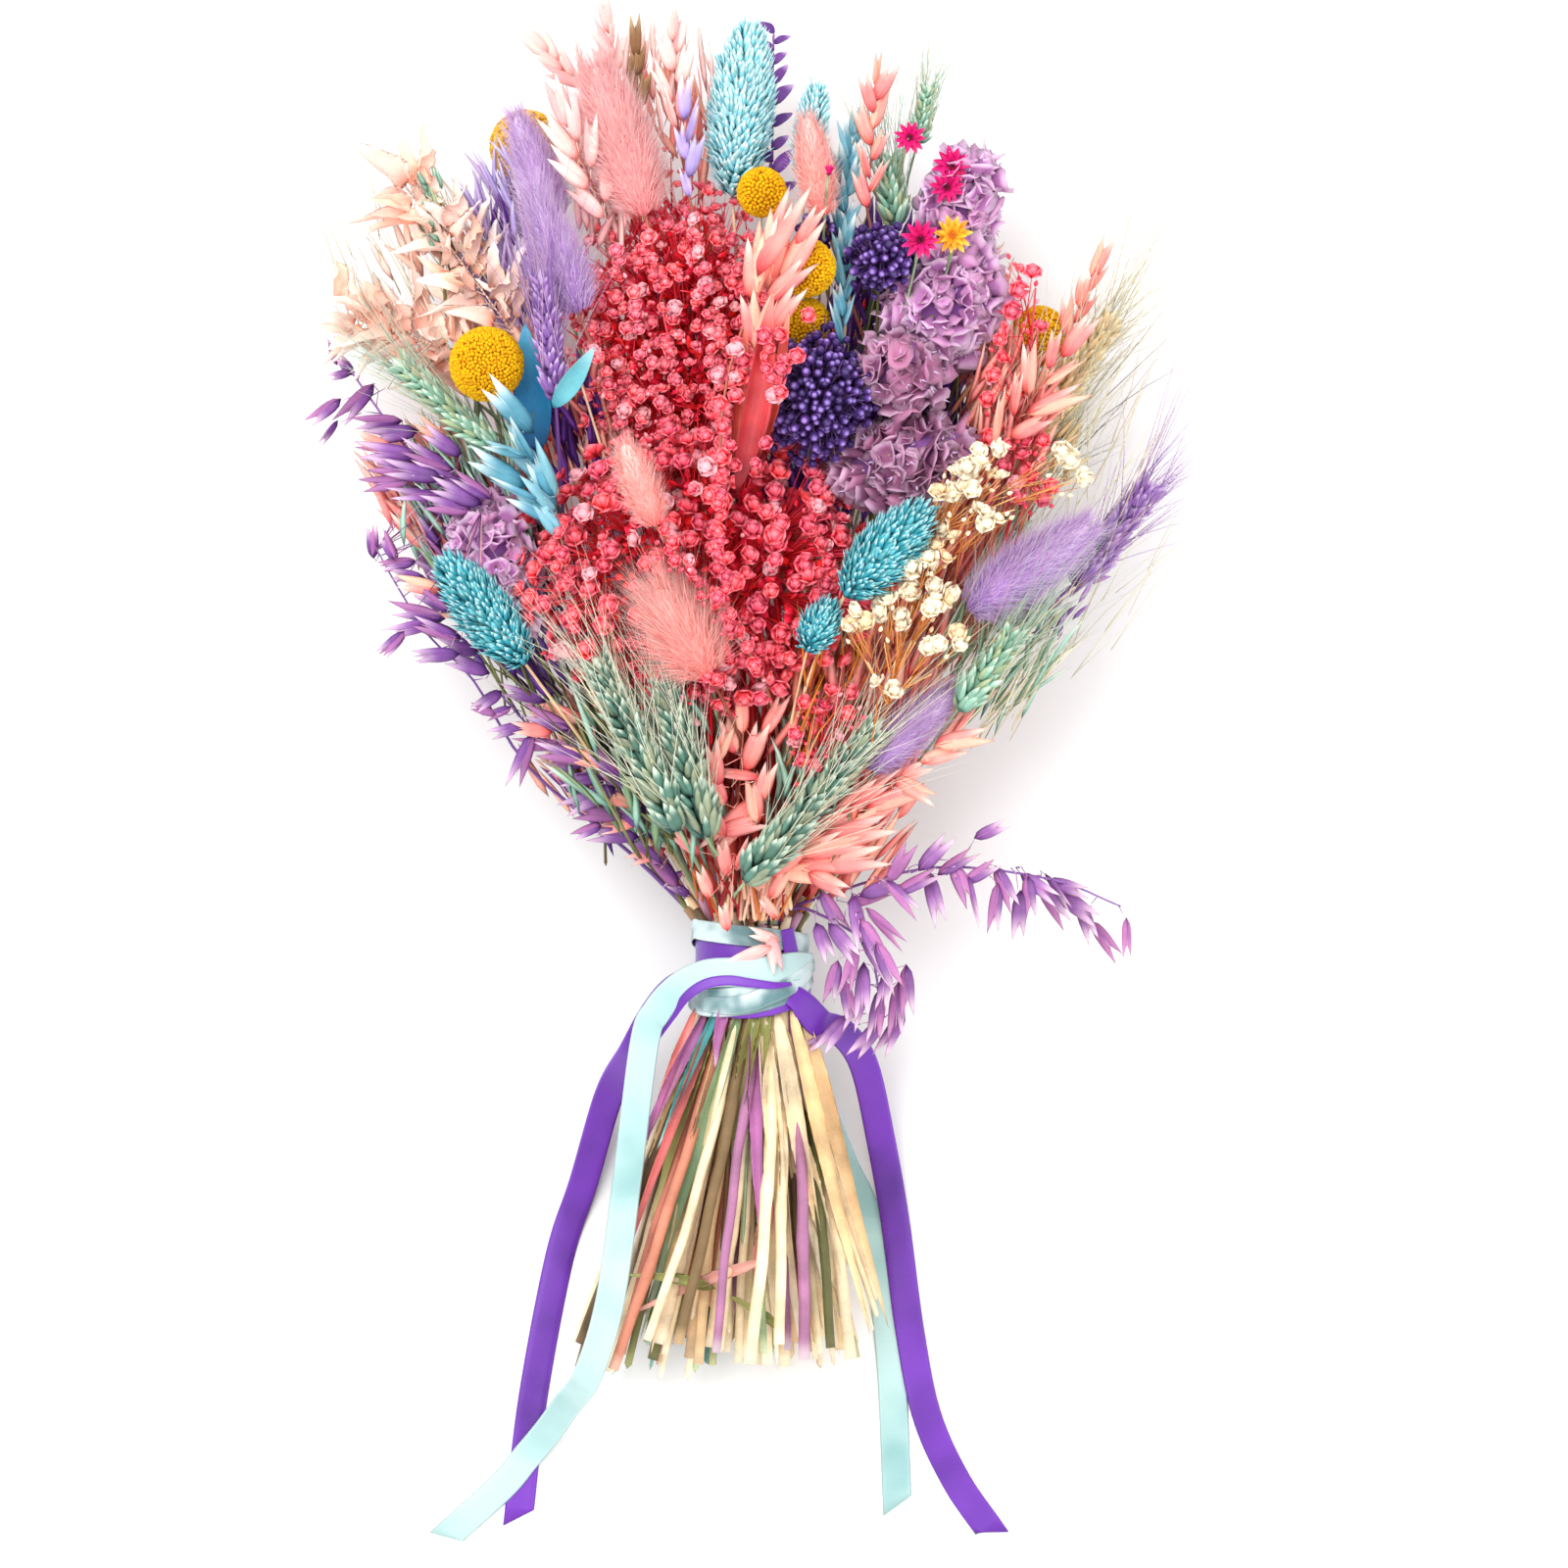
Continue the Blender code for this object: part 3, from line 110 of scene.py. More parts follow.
# One line a head: node, form, dye, spine from base to tip (x, y), width, thickness, and its depth
# behind the front of the dome, or TABLE for a head at the back that lies on the table. Heads with
# the same node share a foot. The front ones come first, and those behind settle under them.
HEADS = [
    ("back_bunny_tail_lilac", "tail", "lilac", ((-48, 150), (-62, 188)), 24, 22, TABLE),
    ("back_canary_grass", "canary", "aqua", ((20, 170), (28, 220)), 26, 24, TABLE),
    ("back_globe_flower", "ball", "yellow", ((64, 128), (75, 151)), 26, 26, TABLE),
    ("back_statice", "statice", "lavender", ((-18, 248), (-24, 298)), 46, 22, TABLE),
    ("back_babys_breath_coral", "gyp", "coral", ((52, 236), (66, 290)), 46, 20, TABLE),
    ("back_pink_oats", "oats", "oat_pink", ((-78, 196), (-98, 262)), 24, 10, TABLE),
    ("back_wheat_mint", "wheat", "mint", ((98, 172), (128, 226)), 12, 11, TABLE),
    ("purple_oats_hanging", "oats", "purple", ((26, 24), (44, 18), (52, 0), (54, -24)), 24, 8, 2),
    ("purple_oats_arching", "oats", "purple", ((24, 28), (62, 42), (110, 42), (157, 24)), 24, 8, 12),
    ("pink_oats_lower_right", "oats", "oat_pink", ((20, 38), (62, 74)), 30, 12, 8),
    ("pink_oats_lower_right", "oats", "oat_pink", ((74, 86), (92, 94)), 10, 8, 8),
    ("wheat_mint_right", "wheat", "mint", ((-2, 36), (55, 103)), 12, 11, 0),
    ("pink_oats_lower_middle", "oats", "oat_pink", ((-6, 48), (-2, 104)), 22, 12, 8),
    ("wheat_mint_middle", "wheat", "mint", ((-17, 54), (-36, 123)), 12, 11, 0),
    ("wheat_mint_left", "wheat", "mint", ((-28, 57), (-64, 130)), 12, 11, 0),
    ("babys_breath_coral_lower", "gyp", "coral", ((-18, 112), (-22, 214)), 128, 36, 2),
    ("babys_breath_coral_lower", "sprig_gyp", "coral", ((24, 78), (38, 116)), 28, 14, 4),
    ("bunny_tail_pink_lower", "tail", "soft_pink", ((-16, 120), (-37, 154)), 28, 26, -4),
    ("canary_grass_centre", "canary", "aqua", ((38, 151), (70, 186)), 26, 24, -4),
    ("canary_grass_centre", "canary", "aqua", ((23, 129), (32, 147)), 16, 14, 10),
    ("bunny_tails_lilac_right", "tail", "lilac", ((48, 82), (82, 114)), 19, 18, 0),
    ("bunny_tails_lilac_right", "tail", "lilac", ((88, 146), (137, 180)), 25, 24, 0),
    ("golden_flower", "star", "golden", ((80, 284), (82, 298)), 14, 12, 2),
    ("babys_breath_cream", "sprig_gyp", "cream", ((56, 108), (80, 206)), 50, 18, 2),
    ("bunny_tail_pink_centre", "tail", "soft_pink", ((-37, 179), (-50, 212)), 16, 16, -12),
    ("canary_grass_left", "canary", "aqua", ((-90, 124), (-122, 165)), 25, 24, 0),
    ("bunny_tail_pink_plume", "tail", "soft_pink", ((-42, 306), (-62, 366)), 29, 26, 0),
    ("berries_centre", "berries", "indigo", ((24, 208), (30, 256)), 45, 34, 4),
    ("pink_oats_tall", "oats", "oat_pink", ((-12, 196), (-8, 245), (19, 316)), 14, 9, -2),
    ("babys_breath_coral_upper", "gyp", "coral", ((-20, 196), (-30, 312)), 86, 34, 4),
    ("globe_flowers_middle", "ball", "yellow", ((22, 273), (24, 295)), 22.4, 22.4, 8),
    ("globe_flowers_middle", "ball", "yellow", ((21, 252), (23, 272)), 20, 20, 12),
    ("globe_flowers_middle", "ball", "yellow", ((5, 306), (5, 324)), 18, 18, 12),
    ("wheat_purple_left", "wheat", "purple", ((-78, 230), (-84, 284)), 11, 10, 6),
    ("globe_flower_left", "ball", "yellow", ((-100, 232), (-112, 259)), 29.6, 29.6, 0),
    ("statice_left", "statice", "lavender", ((-98, 138), (-110, 193)), 34, 24, 6),
    ("statice_lower", "statice", "lavender", ((34, 198), (92, 214)), 34, 24, 8),
    ("statice_lower", "statice", "lavender", ((54, 228), (66, 254)), 34, 24, 6),
    ("deep_blue_leaf", "leaf", "deep_blue", ((-86, 212), (-91, 262)), 15, 2.4, 12),
    ("statice_right", "statice", "lavender", ((72, 246), (84, 296)), 48, 26, 6),
    ("statice_right", "statice", "lavender", ((84, 290), (88, 334)), 30, 22, 8),
    ("blue_oats_left", "oats", "sky_blue", ((-76, 176), (-103, 234)), 20, 10, 2),
    ("blue_oats_left", "leaf", "sky_blue", ((-66, 232), (-75, 247)), 6, 2, 2),
    ("bunny_tails_lilac_left", "tail", "lilac", ((-69, 266), (-88, 316)), 25, 24, 0),
    ("bunny_tails_lilac_left", "tail", "lilac", ((-79, 306), (-95, 348)), 22, 20, 6),
    ("pink_oats_pale", "oats", "oat_pink", ((-56, 302), (-72, 338)), 20, 9, 12),
    ("pink_oats_top", "oats", "oat_pink", ((-28, 336), (-31, 374)), 13, 9, 8),
    ("pink_oats_top", "oats", "oat_pink", ((-52, 360), (-57, 381)), 9, 7, 8),
    ("pink_oats_top", "oats", "oat_pink", ((-68, 360), (-82, 372)), 9, 7, 8),
    ("wheat_teal_right", "wheat", "mint", ((84, 106), (109, 140)), 13, 11, 10),
    ("babys_breath_pink_right", "sprig_gyp", "coral", ((110, 198), (116, 280)), 22, 12, 10),
    ("lilac_oat", "oats", "lilac", ((-24, 312), (-26, 344)), 9, 7, 8),
    ("brown_seed_head", "oats", "brown", ((-44, 342), (-46, 371)), 9, 7, 10),
    ("globe_flower_upper", "ball", "yellow", ((-87, 323), (-96, 351)), 29.6, 29.6, 8),
    ("canary_grass_top", "canary", "aqua", ((-7, 314), (0, 382)), 30, 28, 0),
    ("canary_grass_top", "canary", "aqua", ((22, 318), (27, 358)), 15, 15, 16),
    ("blue_oats_tall", "oats", "sky_blue", ((38, 251), (38, 300), (42, 342)), 10, 7, 0),
    ("star_flowers_magenta", "star", "magenta", ((62, 328), (65, 338)), 12, 12, 2),
    ("star_flowers_magenta", "star", "magenta", ((80, 317), (82, 327)), 14, 14, 2),
    ("star_flowers_magenta", "star", "magenta", ((79, 308), (80, 318)), 13, 13, 4),
    ("star_flowers_magenta", "star", "magenta", ((67, 286), (69, 296)), 14, 14, 0),
    ("star_flowers_magenta", "star", "magenta", ((31, 312), (32, 321)), 8, 8, 2),
    ("berries_upper", "berries", "indigo", ((52, 276), (54, 300)), 25, 22, 6),
    ("berries_upper", "berries", "indigo", ((27, 293), (28, 307)), 14, 14, 10),
    ("bunny_tail_pink_right", "tail", "soft_pink", ((30, 305), (23, 345)), 17, 16, 4),
    ("purple_leafy_sprig", "sprig", "purple", ((10, 304), (9, 345), (10, 386)), 22, 8, 2),
    ("pink_oats_right", "oats", "oat_pink", ((98, 208), (124, 246)), 22, 10, 4),
    ("pink_oats_right", "oats", "oat_pink", ((129, 256), (139, 282)), 10, 8, 4),
    ("globe_flower_right", "ball", "yellow", ((113, 247), (122, 269)), 22.4, 22.4, 2),
    ("purple_oats_lower_left", "oats", "purple", ((-28, 32), (-60, 66), (-106, 118)), 26, 10, 18),
    ("wheat_green_upper", "wheat", "mint", ((59, 302), (56, 332)), 12, 10, 6),
    ("wheat_green_upper", "wheat", "mint", ((68, 336), (73, 360)), 8, 7, 6),
    ("pink_oats_upper_right", "oats", "oat_pink", ((48, 308), (51, 360)), 12, 8, 6),
    ("rye_beige_right", "wheat", "beige", ((109, 210), (150, 269)), 13, 10, 6),
    ("wheat_purple_right", "wheat", "purple", ((132, 157), (166, 200)), 14, 11, 8),
    ("purple_oats_left", "oats", "purple", ((-108, 186), (-138, 210), (-168, 252)), 34, 12, 10),
    ("purple_oats_left", "oats", "purple", ((-112, 118), (-134, 140), (-154, 176)), 26, 12, 14),
    ("wheat_green_left", "wheat", "mint", ((-103, 212), (-145, 249)), 12, 11, 12),
    ("peach_leaves", "leaves", "peach", ((-95, 258), (-142, 322)), 62, 24, 4),
    ("peach_leaves", "leaves", "peach", ((-104, 246), (-166, 268)), 50, 20, 6),
]

# Share of a head's width and thickness that is solid, where its repeats stand out of a core
CORE_SHARE = {
    "tail": (1.0, 1.0),
    "canary": (1.0, 1.0),
    "ball": (1.0, 1.0),
    "wheat": (1.0, 1.0),
    "berries": (0.8, 0.8),
    "statice": (0.62, 0.62),
    "gyp": (0.7, 0.4),
    "sprig_gyp": (0.1, 0.25),
    "oats": (0.14, 0.3),
    "leaves": (0.06, 0.2),
    "leaf": (1.0, 1.0),
    "star": (0.8, 0.8),
    "sprig": (0.14, 0.4),
}


GOLDEN = math.pi * (3 - math.sqrt(5))


def unit(v):
    """The vector's direction."""
    return v / max(np.linalg.norm(v), 1e-9)


def ring_slots():
    """Places of the stems in the tie, as (x, z): one in the middle and rings of six more each."""
    slots = [(0.0, 0.0)]
    for ring in range(1, RINGS + 1):
        for k in range(6 * ring):
            turn = math.tau * (k + 0.5 * (ring % 2)) / (6 * ring)
            slots.append((ring * RING_STEP * math.cos(turn), ring * RING_STEP * math.sin(turn)))
    return np.array(slots)


def front_height(x, y):
    """Height of the bouquet's front over the table: an ellipsoid, cut by a cone from the tie."""
    e = 1 - ((x - DOME_X) / DOME_WIDE) ** 2 - ((y - DOME_Y) / DOME_LONG) ** 2
    dome = DOME_BASE + DOME_RISE * math.sqrt(max(e, 0.0))
    return min(dome, CONE_START + CONE_SLOPE * math.hypot(x, y))


def raised_spine(head, drop):
    """The head's spine in space: under the dome's front by its depth, or on the table."""
    thick, depth = head[5], head[6]
    if depth == TABLE:
        return np.array([(x, y, thick / 2 - 0.7) for x, y in head[3]], float)
    high = [front_height(x, y) - depth - thick / 2 for x, y in head[3]]
    if len(high) == 2:
        high = [sum(high) / 2 - 2, sum(high) / 2 + 2]
    low = thick / 2 + 1.0
    return np.array([(x, y, max(z - drop, low)) for (x, y), z in zip(head[3], high)], float)


def along(points, shares):
    """Points at the given shares of a polyline's length, and its directions there."""
    steps = np.linalg.norm(np.diff(points, axis=0), axis=1)
    at = np.concatenate([[0], np.cumsum(steps)]) / steps.sum()
    shares = np.asarray(shares, float)
    out = np.stack([np.interp(shares, at, points[:, k]) for k in range(3)], axis=-1)
    near = 0.12
    ahead = np.stack([np.interp(shares + near, at, points[:, k]) for k in range(3)], axis=-1)
    back = np.stack([np.interp(shares - near, at, points[:, k]) for k in range(3)], axis=-1)
    way = ahead - back
    return out, way / np.linalg.norm(way, axis=-1, keepdims=True)


def cross_frame(way):
    """Side and up vectors square to a direction."""
    side = unit(np.cross(way, (0.0, 0.0, 1.0)))
    return side, unit(np.cross(side, way))


def head_capsules(head, spine):
    """Capsules (a, b, radius at a, radius at b) that hold a head's solid core."""
    share_w, share_t = CORE_SHARE[head[1]]
    wide, thick = head[4] * share_w, head[5] * share_t
    radius = min(wide, thick) / 2
    half = max(wide, thick) / 2 - radius
    lines = max(1, math.ceil(2 * half / max(radius * 1.5, 0.5)) + 1) if half > 0.5 else 1
    out = []
    for u in np.linspace(-1, 1, lines) if lines > 1 else (0.0,):
        inset = 0.5 - 0.5 * math.sqrt(max(1 - (u * half / (half + radius)) ** 2, 0.0))
        ends = radius / max(np.linalg.norm(spine[-1] - spine[0]), 1.0) * 0.8
        ends = min(ends + inset, 0.45)
        points, ways = along(spine, (ends, 0.5, 1 - ends))
        side, _ = cross_frame(ways[1])
        points = points + side * u * half
        thin = 0.8 if head[1] in ("tail", "canary", "wheat") else 1.0
        out.append((*points[0], *points[1], radius * thin, radius))
        out.append((*points[1], *points[2], radius, radius * thin))
    return np.array(out)


def stem_route(slot, spine, bow):
    """A stem's route from the top of the tie to its head: a cubic curve that leaves the tie with the
    fan of its neighbours and meets the head along the head's own line. bow bends it aside."""
    start = np.array([slot[0], TIE_HALF, TIE_HEIGHT + slot[1]])
    flow = unit(np.array([slot[0] * FLOW_X, 1.0, FLOW_UP + slot[1] * FLOW_Z]))
    end = spine[0]
    reach = np.linalg.norm(end - start)
    aim = unit(spine[1] - spine[0])
    aside = np.array([bow[0], 0.0, bow[1]]) * reach
    one = start + flow * reach * 0.33
    two = end - aim * reach * 0.3 + aside
    t = np.array([0.0, 0.28, 0.62, 1.0])[:, None]
    curve = (1 - t) ** 3 * start + 3 * t * (1 - t) ** 2 * one + 3 * t * t * (1 - t) * two + t ** 3 * end
    return curve


def route_radii(count):
    """Radii of a stem from the tie to its head."""
    return np.interp(np.linspace(0, 1, count), (0, 0.25, 1), (STEM_TIE, STEM_MID, STEM_NECK))


def stem_capsules(route):
    """Capsules (a, b, radius at a, radius at b) that hold a stem."""
    radii = route_radii(len(route))
    rows = [(*route[k], *route[k + 1], radii[k], radii[k + 1]) for k in range(len(route) - 1)]
    return np.array(rows)


def gaps(first, second):
    """Gap between every capsule of one set and every one of another, negative where they cross."""
    a1, b1 = first[:, None, 0:3], first[:, None, 3:6]
    a2, b2 = second[None, :, 0:3], second[None, :, 3:6]
    d1, d2, r = b1 - a1, b2 - a2, a1 - a2
    a = (d1 * d1).sum(-1) + 1e-9
    e = (d2 * d2).sum(-1) + 1e-9
    b, c, f = (d1 * d2).sum(-1), (d1 * r).sum(-1), (d2 * r).sum(-1)
    s = np.clip((b * f - c * e) / np.maximum(a * e - b * b, 1e-9), 0, 1)
    t = np.clip((b * s + f) / e, 0, 1)
    s = np.clip((b * t - c) / a, 0, 1)
    apart = np.linalg.norm(r + s[..., None] * d1 - t[..., None] * d2, axis=-1)
    thick1 = first[:, None, 6] * (1 - s) + first[:, None, 7] * s
    thick2 = second[None, :, 6] * (1 - t) + second[None, :, 7] * t
    return apart - thick1 - thick2


class Space:
    """What is already taken by the plants, as capsules with their node's name."""

    def __init__(self):
        self.rows = np.zeros((0, 8))
        self.nodes = np.zeros(0, object)

    def add(self, node, capsules):
        """Takes up the space of more capsules."""
        self.rows = np.vstack([self.rows, capsules])
        self.nodes = np.append(self.nodes, np.array([node] * len(capsules), object))

    def gap(self, node, capsules):
        """The least distance from capsules to those already there."""
        others = self.rows[self.nodes != node]
        if not len(others):
            return 1e3
        return float(gaps(np.atleast_2d(capsules), others).min())


def best_slots(slots, free, spine):
    """Free places in the tie, the one that best suits the way to the head first."""
    reach = max(spine[0][1], REACH_LEAST)
    want = np.array([
        spine[0][0] / reach / FLOW_X,
        ((spine[0][2] - TIE_HEIGHT) / reach - FLOW_UP) / FLOW_Z,
    ]) / FLOW_MORE
    limit = RINGS * RING_STEP
    want *= min(1.0, limit / max(np.linalg.norm(want), 1e-6))
    order = np.argsort(((slots[free] - want) ** 2).sum(axis=1))
    return [free[k] for k in order[:SLOTS_TRIED]]


WAYS = [(1, 0), (-1, 0), (0, 1), (0, -1)]
CORNERS = [(0.14, 0.14), (-0.14, 0.14), (0.14, -0.14), (-0.14, -0.14)]
BOWS = [(0, 0)] + [(a * s, b * s) for s in (0.1, 0.2) for a, b in WAYS] + CORNERS


def settle(heads):
    """Seats every head: it starts at the front and drops until it and its stem clear the others.
    Returns a place in the tie for each node, and a spine and a stem's route for each head."""
    slots, space = ring_slots(), Space()
    free = list(range(len(slots)))
    taken, seats = {}, []
    for head in heads:
        node, best = head[0], None
        drops = (0.0,) if head[6] == TABLE else np.arange(0, DROP_MOST, DROP_STEP)
        for drop in drops:
            spine = raised_spine(head, drop)
            body = head_capsules(head, spine)
            room = space.gap(node, body)
            choices = [taken[node]] if node in taken else best_slots(slots, free, spine)
            if best and room < min(best[0], CLEAR):
                continue
            for slot in choices:
                for bow in BOWS:
                    route = stem_route(slots[slot], spine, bow)
                    gap = min(room, space.gap(node, stem_capsules(route)))
                    if best is None or gap > best[0]:
                        best = (gap, slot, spine, route, body)
                    if best[0] >= CLEAR:
                        break
                if best[0] >= CLEAR:
                    break
            if best[0] >= CLEAR:
                break
        _, slot, spine, route, body = best
        if node not in taken:
            taken[node] = slot
            free.remove(slot)
        space.add(node, np.vstack([stem_capsules(route), body]))
        seats.append((spine, route))
    return {node: slots[slot] for node, slot in taken.items()}, seats


def foot_place(slot, share):
    """Where a stem stands at a share of the way from the tie to the feet: the fan opens sideways more
    than up, and turns a little, as a hand-tied bunch does."""
    cos, sin = math.cos(FOOT_TWIST), math.sin(FOOT_TWIST)
    x = (slot[0] * cos - slot[1] * sin) * (1 + FOOT_FAN) - FOOT_SHIFT
    z = (slot[0] * sin + slot[1] * cos) * (1 + FOOT_LIFT) + TIE_HEIGHT - FOOT_DROP
    tie = np.array([slot[0], -TIE_HALF, TIE_HEIGHT + slot[1]])
    return tie + (np.array([x, -FOOT_Y, z]) - tie) * share


def smooth(points, count):
    """A smooth curve through given points, read at even steps."""
    points = np.asarray(points, float)
    ends = np.vstack([2 * points[0] - points[1], points, 2 * points[-1] - points[-2]])
    at = np.linspace(0, len(points) - 1.0001, count)
    k, t = at.astype(int), (at % 1)[:, None]
    a, b, c, d = ends[k], ends[k + 1], ends[k + 2], ends[k + 3]
    return 0.5 * (2 * b + (c - a) * t + (2 * a - 5 * b + 4 * c - d) * t ** 2
                  + (3 * b - a - 3 * c + d) * t ** 3)


# Camera, light and floor

VIEW_AT = (0.0201, 0.0006)
VIEW_HIGH = 4.0
VIEW_WIDE = 0.64
HEADS_MID = 0.06
# Each lamp's name, place, size and watts
LAMPS = (("key", (-0.85, 0.9, 2.5), 1.9, 50.0), ("fill", (1.6, -0.4, 1.8), 2.2, 14.0))
SKY = 1.1


def place_camera():
    """Looks straight down on the bunch, so that the heads' middle plane is VIEW_WIDE across."""
    lens = bpy.data.cameras.new("camera")
    lens.sensor_width = 36.0
    lens.lens = lens.sensor_width * (VIEW_HIGH - HEADS_MID) / VIEW_WIDE
    lens.clip_end = 50.0
    camera = bpy.data.objects.new("camera", lens)
    camera.location = (*VIEW_AT, VIEW_HIGH)
    bpy.context.scene.collection.objects.link(camera)
    bpy.context.scene.camera = camera


def place_lights():
    """A large soft key from the upper left, a wide fill from the right and a pale sky all round."""
    for name, spot, size, watts in LAMPS:
        lamp = bpy.data.lights.new(name, "AREA")
        lamp.size = size
        lamp.energy = watts
        light = bpy.data.objects.new(name, lamp)
        light.location = spot
        aim = np.array(spot) - (0.0, 0.0, 0.05)
        flat = math.hypot(aim[0], aim[1])
        light.rotation_euler = (math.atan2(flat, aim[2]), 0.0, math.atan2(aim[0], -aim[1]))
        bpy.context.scene.collection.objects.link(light)
    sky = bpy.data.worlds.new("sky")
    sky.use_nodes = True
    sky.node_tree.nodes["Background"].inputs["Color"].default_value = (1.0, 1.0, 1.0, 1.0)
    sky.node_tree.nodes["Background"].inputs["Strength"].default_value = SKY
    bpy.context.scene.world = sky
    bpy.context.scene.view_settings.view_transform = "Standard"
    bpy.context.scene.view_settings.look = "None"


def lay_floor():
    """A plain pale floor, one flat square."""
    half = 6.0
    mesh = bpy.data.meshes.new("floor")
    corners = [(-half, -half, 0), (half, -half, 0), (half, half, 0), (-half, half, 0)]
    mesh.from_pydata(corners, [], [(0, 1, 2, 3)])
    floor = bpy.data.objects.new("floor", mesh)
    paint, _, shader = new_material("pale floor")
    shader.inputs["Base Color"].default_value = (0.93, 0.93, 0.93, 1.0)
    shader.inputs["Roughness"].default_value = 0.9
    shader.inputs["Specular IOR Level"].default_value = 0.1
    mesh.materials.append(paint)
    bpy.context.scene.collection.objects.link(floor)


# Shapes: a shape is (points, faces, share), with share its points' place from root to tip

def rows_unit(v):
    """The direction of each row."""
    return v / np.maximum(np.linalg.norm(v, axis=-1, keepdims=True), 1e-9)


def lengths(v):
    """The length of each row."""
    return np.linalg.norm(v, axis=1)


def run_along(points):
    """Distance along a line at each of its points."""
    return np.concatenate([[0], np.cumsum(lengths(np.diff(points, axis=0)))])


def ring_faces(rings, sides):
    """Triangles, facing outward, of a pole, a stack of rings and a pole."""
    k = np.arange(sides)
    n = (k + 1) % sides
    first, end = 1 + (rings - 1) * sides, 1 + rings * sides
    low = (1 + np.arange(rings - 1)[:, None] * sides + k).ravel()
    beside = (1 + np.arange(rings - 1)[:, None] * sides + n).ravel()
    return np.vstack([
        np.stack([0 * k, 1 + n, 1 + k], 1),
        np.stack([low, beside, beside + sides], 1),
        np.stack([low, beside + sides, low + sides], 1),
        np.stack([first + k, first + n, 0 * k + end], 1),
    ])


def turned(profile, sides):
    """A closed surface turned about +Z: radius and height run from one pole to the other."""
    profile = np.asarray(profile, float)
    rings, turn = profile[1:-1], np.arange(sides) * math.tau / sides
    grid = np.stack([rings[:, :1] * np.cos(turn), rings[:, :1] * np.sin(turn), rings[:, 1:] + 0 * turn], -1)
    ends = [[0, 0, profile[0, 1]]], [[0, 0, profile[-1, 1]]]
    points = np.vstack([ends[0], grid.reshape(-1, 3), ends[1]])
    return points, ring_faces(len(rings), sides), np.clip(points[:, 2], 0, 1)


def spindle(sides, rings, girth=lambda z: np.sin(np.pi * z) ** 0.7, flat=1.0):
    """A closed spindle of unit length: its radius at height z is half of girth(z), and its depth is
    flat times its width."""
    z = (np.arange(rings) + 1) / (rings + 1)
    r = girth(z) / 2
    points, faces, share = turned([(0, 0), *zip(r, z), (0, 1)], sides)
    return points * (1, flat, 1), faces, share


def hair(rings=1, sides=3):
    """A fine tapering hair of unit length and unit width at its root."""
    z = np.linspace(0.06, 0.62, rings) if rings > 1 else np.array([0.22])
    return turned([(0, 0), *zip(0.5 * (1.04 - z), z), (0, 1)], sides)


def gathered(shapes):
    """Several shapes as one."""
    starts = np.cumsum([0] + [len(s[0]) for s in shapes[:-1]])
    return (np.vstack([s[0] for s in shapes]), np.vstack([s[1] + n for s, n in zip(shapes, starts)]),
            np.concatenate([s[2] for s in shapes]))


def placed(shape, at, way, up, size, bend=None):
    """Copies of a shape: x runs along the side, y along up and z along way, each by the copy's size,
    and bend pushes a point by the square of its height."""
    points, faces, share = shape
    way = rows_unit(way)
    side = rows_unit(np.cross(up, way))
    up = np.cross(way, side)
    p = points[None] * size[:, None, :]
    out = at[:, None] + p[..., :1] * side[:, None] + p[..., 1:2] * up[:, None] + p[..., 2:] * way[:, None]
    if bend is not None:
        out = out + bend[:, None] * points[None, :, 2:] ** 2
    count = len(at)
    moved = faces[None] + (np.arange(count) * len(points))[:, None, None]
    return out.reshape(-1, 3), moved.reshape(-1, 3), np.tile(share, count)


def sizes(count, x, y, z):
    """One size row for each copy."""
    return np.stack(np.broadcast_arrays(*[np.broadcast_to(v, (count,)) for v in (x, y, z)]), axis=1)


def askew(way):
    """Directions that aren't along the given ones."""
    return way[:, ::-1] + 0.1


def swept(centres, across, face, section, share=None):
    """A section carried along a line, with a pole at each end: x of the section runs along across
    and y along face."""
    section = np.asarray(section, float)
    if section.ndim == 2:
        section = np.repeat(section[None], len(centres), axis=0)
    rings = centres[:, None] + section[..., :1] * across[:, None] + section[..., 1:] * face[:, None]
    points = np.vstack([centres[:1], rings.reshape(-1, 3), centres[-1:]])
    if share is None:
        share = np.linspace(0, 1, len(centres))
    along_it = np.concatenate([share[:1], np.repeat(share, section.shape[1]), share[-1:]])
    return points, ring_faces(len(centres), section.shape[1]), along_it


def tube(route, radii, sides):
    """A round tube along a line, its rings square to the line."""
    route = np.asarray(route, float)
    way = rows_unit(np.gradient(route, axis=0))
    guide = np.where(np.abs(way[:, 2:]) > 0.9, (1.0, 0.0, 0.0), (0.0, 0.0, 1.0))
    across = rows_unit(np.cross(way, guide))
    face = np.cross(across, way)
    turn = -np.arange(sides) * math.tau / sides
    section = np.stack([np.cos(turn), np.sin(turn)], -1)[None] * np.asarray(radii, float)[:, None, None]
    return swept(route, across, face, section)


